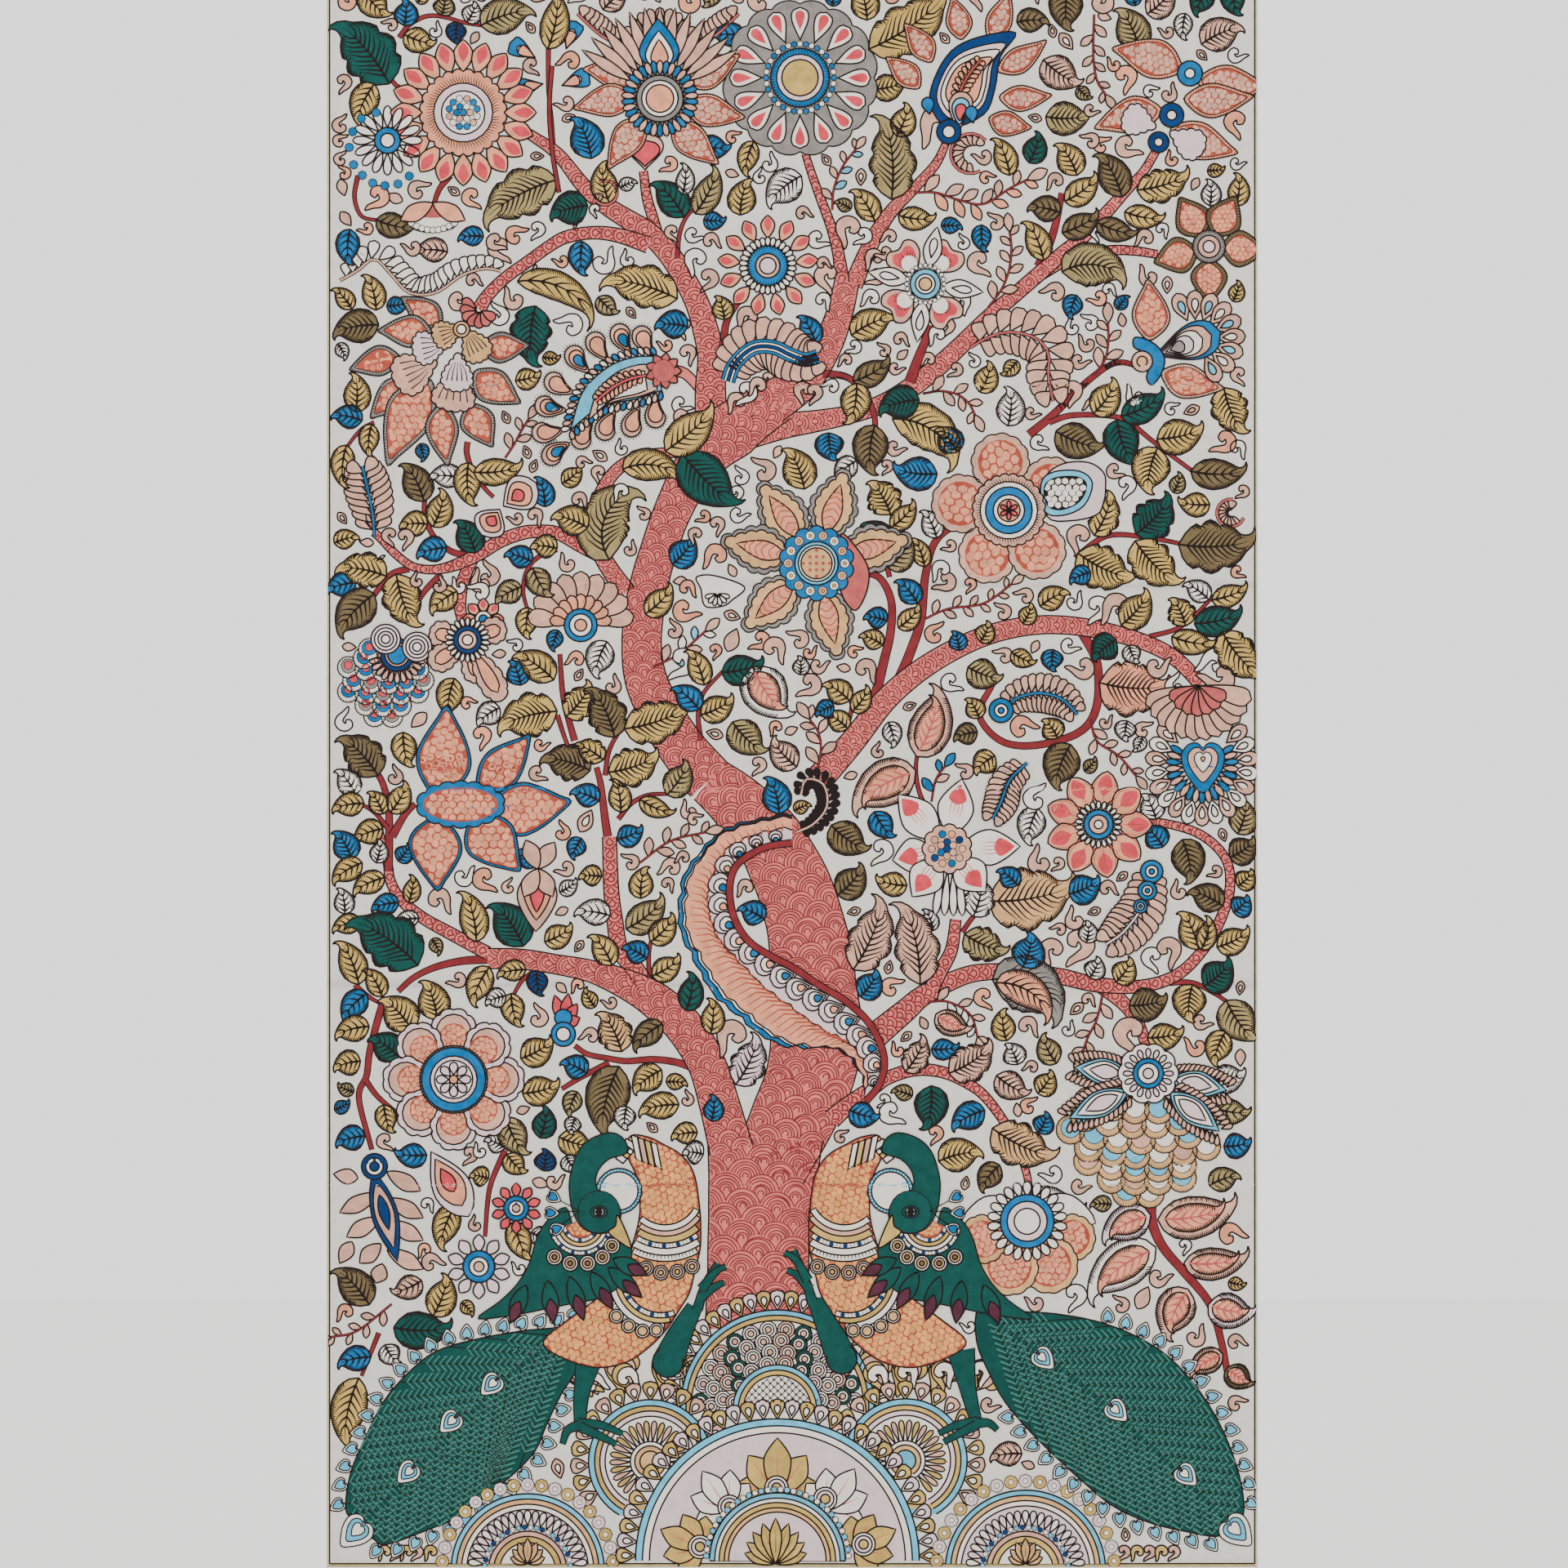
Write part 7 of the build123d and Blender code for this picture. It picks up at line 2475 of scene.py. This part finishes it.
def peacock(p):
    """The bird to the right of the trunk, looking back over its shoulder."""
    p.at()
    outline = curve(SHOULDER, closed=True, per=4)
    p.patch(outline, "orange")
    cells(p, outline, 0.78, "brick", "orange", slant=20)
    p.ring(outline, BOLD)
    # Bands across the neck, the breast and the belly
    banded(p, np.array((13.6, 43.4)), [(6.7, 6.0, "cream"), (6.0, 5.4, "beads"), (5.4, 4.8, "ochre"),
                                       (4.8, 4.1, "cream")], 118, 132)
    for inset in np.arange(4):
        a = 9.9 - inset * 0.75
        strip = np.array([(a, 49.7 - 0.25 * inset), (a - 0.7, 49.5 - 0.28 * inset),
                          (a - 1.25, 46.6 - 0.3 * inset),
                          (a - 0.55, 47 - 0.25 * inset)])
        p.drawn(strip, ("cream", "beige", "ochre", "cream")[inset])
    banded(p, np.array((6, 43.2)), [(8.0, 7.3, "teeth"), (7.3, 6.5, "cream"), (6.5, 5.9, "beads"),
                                    (5.9, 5.1, "ochre"),
                                    (5.1, 4.5, "beige"), (4.5, 3.8, "cream")], 190, 350, outline)
    for x, h in ((2.9, 34.6), (4.6, 34), (6.5, 33.9), (8.2, 34.4)):
        p.at(x, h)
        for r, dye_name in ((0.85, "cream"), (0.62, "beige"), (0.3, "ochre")):
            p.disc(r, dye_name)
    p.at()
    banded(p, np.array((6.5, 33.4)), [(6.6, 6.0, "teeth"), (6.0, 5.3, "cream"), (5.3, 4.7, "ochre"),
                                      (4.7, 4.1, "beads")], 190, 350, outline)
    for x, h in ((7, 27.3), (8.6, 27.2), (10.2, 27.8), (11.6, 28.9)):
        p.at(x, h)
        for r, dye_name in ((0.8, "cream"), (0.55, "sand")):
            p.disc(r, dye_name)
    # The gap inside the turned neck
    p.at(11.3, 43.3)
    p.disc(2.6, "sky")
    p.disc(2.2, "cream")
    p.hatch(disc_outline(2.5, 20), 0.3, 0.4, 0.1, 0)
    # Wing, feathers and tail root
    p.at()
    bow(p, WING, "green", BOLD)
    for x, h, turn, reach in ((12.5, 34.5, 222, 5.2), (14.5, 34, 240, 5), (17, 33.5, 252, 5.4),
                              (19.5, 33, 262, 5),
                              (22, 32.5, 292, 4.8), (12, 35.5, 205, 4.4)):
        p.at()
        bud_at(p, x, h, turn, reach, 1.9, "green", fat=0.5, tip=1)
        bud_at(p, x + 0.42 * reach * math.cos(math.radians(turn)),
               h + 0.42 * reach * math.sin(math.radians(turn)),
               turn, reach * 0.55, 1.3, "maroon", fat=0.5, tip=1)
    # Bib of beads under the chin
    p.at(15.7, 39.6)
    banded(p, np.array((0, 0)), [(3.7, 3.2, "beads"), (3.2, 2.7, "cream"), (2.7, 2.2, "ochre"),
                                 (2.2, 1.7, "beads")],
           195, 350)
    cells(p, np.vstack([arc(1.7, 195, 350, 12), [(0, 0.4)]]), 0.6, "brick", "orange")
    for x, h in ((12.1, 37), (13.2, 35.7), (14.9, 35), (16.9, 35), (18.7, 35.7)):
        p.at(x, h)
        for r, dye_name in ((0.9, "cream"), (0.62, "sand"), (0.3, "brown")):
            p.disc(r, dye_name)
    # Neck and head
    p.at()
    bow(p, NECK, "green", BOLD)
    p.at(13.6, 40.9)
    p.disc(2.45, "green", width=0.1)
    bow(p, [(-2.2, -0.4), (-1.9, -1.6), (-1.1, -2.3), (-2.2, -3.3), (-3.7, -4)], "ochre")
    p.disc(1.0, "green", width=0.14, squash=0.7)
    p.disc(0.62, "cream", squash=0.8)
    p.disc(0.34, "line")
    for x, h, turn in ((19, 42.7, 30), (19.3, 40.8, 5), (18.6, 38.9, -20)):
        p.at()
        p.line(evenly(np.array([(15.8, 41), (x, h)]), count=4), 0.12)
        heart(p, x, h, turn + 180, 1.8, ("cream", "blue"))


class PANEL_OT_peacocks(Painter, bpy.types.Operator):
    """The two peacocks"""
    bl_idname = "panel.peacocks"
    bl_label = "Peacocks"
    group = "peacocks"
    lift = 0.66

    def legs(self, p, claw, thigh, leg, foot):
        """A raised foot on the trunk and a standing one on the mound."""
        p.at()
        for path, widths in ((thigh, (3.4, 2.6, 1.6)), (leg, (3, 1.7, 1.1))):
            line = evenly(curve(path), 0.5)
            width = np.interp(np.linspace(0, 1, len(line)), (0, 0.5, 1), widths)
            p.line(line, width + 0.3)
            p.line(line, width, "green")
        x, h = thigh[0]
        p.drawn(disc_outline(1.75, 18, x, h), "green")
        p.line(evenly(curve(thigh), 0.5), np.linspace(3.0, 1.2, len(evenly(curve(thigh), 0.5))), "green")
        for path in (claw, foot):
            for toe in path:
                line = evenly(curve(toe), 0.3)
                p.line(line, np.linspace(1.3, 0.75, len(line)))
                p.line(line, np.linspace(1.0, 0.45, len(line)), "green")

    def paint(self, p):
        for side in (1, -1):
            p.mirror = None if side == 1 else -4.3
            p.start(0)
            if side == 1:
                self.legs(p, [[(2.3, 30.6), (1.4, 33.5), (0.2, 36.5)], [(2, 32), (0.6, 33.6), (-0.6, 34.2)],
                              [(1.8, 33), (0.4, 35.4), (-0.9, 36.2)]],
                          [(5.7, 24), (4.2, 27.5), (2.6, 30.8)], [(19.4, 25), (20.2, 20.5), (21.2, 16.6)],
                          [[(21.4, 16.8), (19, 16.4), (16.8, 15.4)],
                           [(21.2, 16.4), (19.2, 15.4), (17.4, 14.4)],
                           [(21.2, 16.6), (22.6, 16.6), (23.6, 15.8)]])
            else:
                self.legs(p, [[(2.3, 29.6), (1.4, 32.5), (0, 35)], [(2, 31), (0.4, 32.2), (-0.8, 32.8)],
                              [(1.8, 32), (0.2, 34), (-1, 34.6)]],
                          [(5.7, 23.6), (4.2, 27), (2.6, 30)], [(14.6, 24.6), (15.6, 20), (15.8, 16.4)],
                          [[(16, 16.6), (13.4, 16.4), (10.9, 15.4)],
                           [(15.8, 16.2), (13.6, 15.2), (11.6, 14.2)],
                           [(15.8, 16.4), (17.2, 15.8), (17.8, 14.2)]])
            peacock(p)


class PANEL_OT_fillers(Painter, bpy.types.Operator):
    """The little leaves, curls and buds that fill the gaps"""
    bl_idname = "panel.fillers"
    bl_label = "Fillers"
    group = "fillers"
    lift = 0.06

    def paint(self, p):
        taken = COVER.copy()
        x_margin, h_margin = int(1.2 / CELL), int(0.9 / CELL)
        taken[:x_margin] = taken[-x_margin - 2:] = True
        taken[:, :h_margin] = taken[:, -h_margin - 2:] = True
        for reach in (2.5, 2.1, 1.8, 1.5, 1.25, 1.05, 0.85):
            cells_out = int(reach / CELL)
            near = taken.copy()
            for i in range(-cells_out, cells_out + 1):
                for j in range(-cells_out, cells_out + 1):
                    if math.hypot(i, j) * CELL <= reach:
                        near |= np.roll(taken, (i, j), axis=(0, 1))
            spots = np.argwhere(~near)
            p.random.shuffle(spots)
            chosen = np.empty((0, 2))
            for spot in spots:
                if len(chosen) and np.hypot(*(chosen - spot).T).min() * CELL < 1.85 * reach:
                    continue
                chosen = np.vstack([chosen, spot])
            for column, row in chosen.astype(int):
                span = cells_out + 2
                window = taken[max(0, column - span):column + span + 1, max(0, row - span):row + span + 1]
                away = np.argwhere(window) - span
                heading = math.degrees(math.atan2(-away[:, 1].sum(), -away[:, 0].sum())) if len(away) else 90
                self.fill(p, (column + 0.5) * CELL - HALF_W, (row + 0.5) * CELL, heading, reach)
                i, j = np.ogrid[:taken.shape[0], :taken.shape[1]]
                taken |= np.hypot(i - column, j - row) * CELL < reach

    def fill(self, p, x, h, heading, reach):
        """One motif, as large as the gap."""
        p.start()
        heading += p.random.normal(0, 25)
        x -= 0.95 * reach * math.cos(math.radians(heading))
        h -= 0.95 * reach * math.sin(math.radians(heading))
        flip = p.random.random() < 0.5
        pick = p.random.random()
        if reach > 1.6:
            dye_name = ("ochre", "ochre", "cream", "blue", "olive", "brown", "green", "beige")[int(pick * 8)]
            leaf(p, x, h, heading, 2.3 * reach, 1.6 * reach, dye_name, bend=-0.5 if flip else 0.5)
        elif pick < 0.6:
            curl(p, x, h, heading, 2.15 * reach, ("beige", "beige", "cream", "salmon")[int(pick / 0.6 * 4)],
                 flip)
        elif pick < 0.85 and reach > 1:
            dye_name = ("cream", "blue", "ochre", "olive")[int((pick - 0.6) / 0.25 * 4)]
            leaf(p, x, h, heading, 2.2 * reach, 1.55 * reach, dye_name, bend=-0.5 if flip else 0.5)
        else:
            p.at()
            bud_at(p, x, h, heading, 1.9 * reach, 1.15 * reach, "beige", tip=0.6,
                   eye="cream" if flip else None)


class PANEL_PT_sidebar(bpy.types.Panel):
    """Lists the steps"""
    bl_label = "Painted Tree Panel"
    bl_idname = "PANEL_PT_sidebar"
    bl_space_type = "VIEW_3D"
    bl_region_type = "UI"
    bl_category = "Panel"

    def draw(self, context):
        for name, group in GROUPS.items():
            box = self.layout.box()
            for setting in group.__annotations__:
                box.prop(getattr(context.scene, name), setting)
        for step in STEPS:
            self.layout.operator(step.bl_idname)


STEPS = (PANEL_OT_cloth, PANEL_OT_hems, PANEL_OT_stitches, PANEL_OT_border, PANEL_OT_tree,
         PANEL_OT_leaves, PANEL_OT_curls, PANEL_OT_flowers, PANEL_OT_scroll, PANEL_OT_plumes,
         PANEL_OT_mound, PANEL_OT_trains, PANEL_OT_peacocks, PANEL_OT_fillers, PANEL_OT_stage)
CLASSES = (*GROUPS.values(), *STEPS, PANEL_PT_sidebar)


def register():
    for cls in CLASSES:
        bpy.utils.register_class(cls)
    for name, group in GROUPS.items():
        setattr(bpy.types.Scene, name, PointerProperty(type=group))


def unregister():
    for name in GROUPS:
        delattr(bpy.types.Scene, name)
    for cls in reversed(CLASSES):
        bpy.utils.unregister_class(cls)


def main():
    register()
    for step in STEPS:
        area, name = step.bl_idname.split(".")
        if getattr(getattr(bpy.ops, area), name)() != {"FINISHED"}:
            raise RuntimeError(f"{step.bl_label} was not made")


if __name__ == "__main__":
    main()
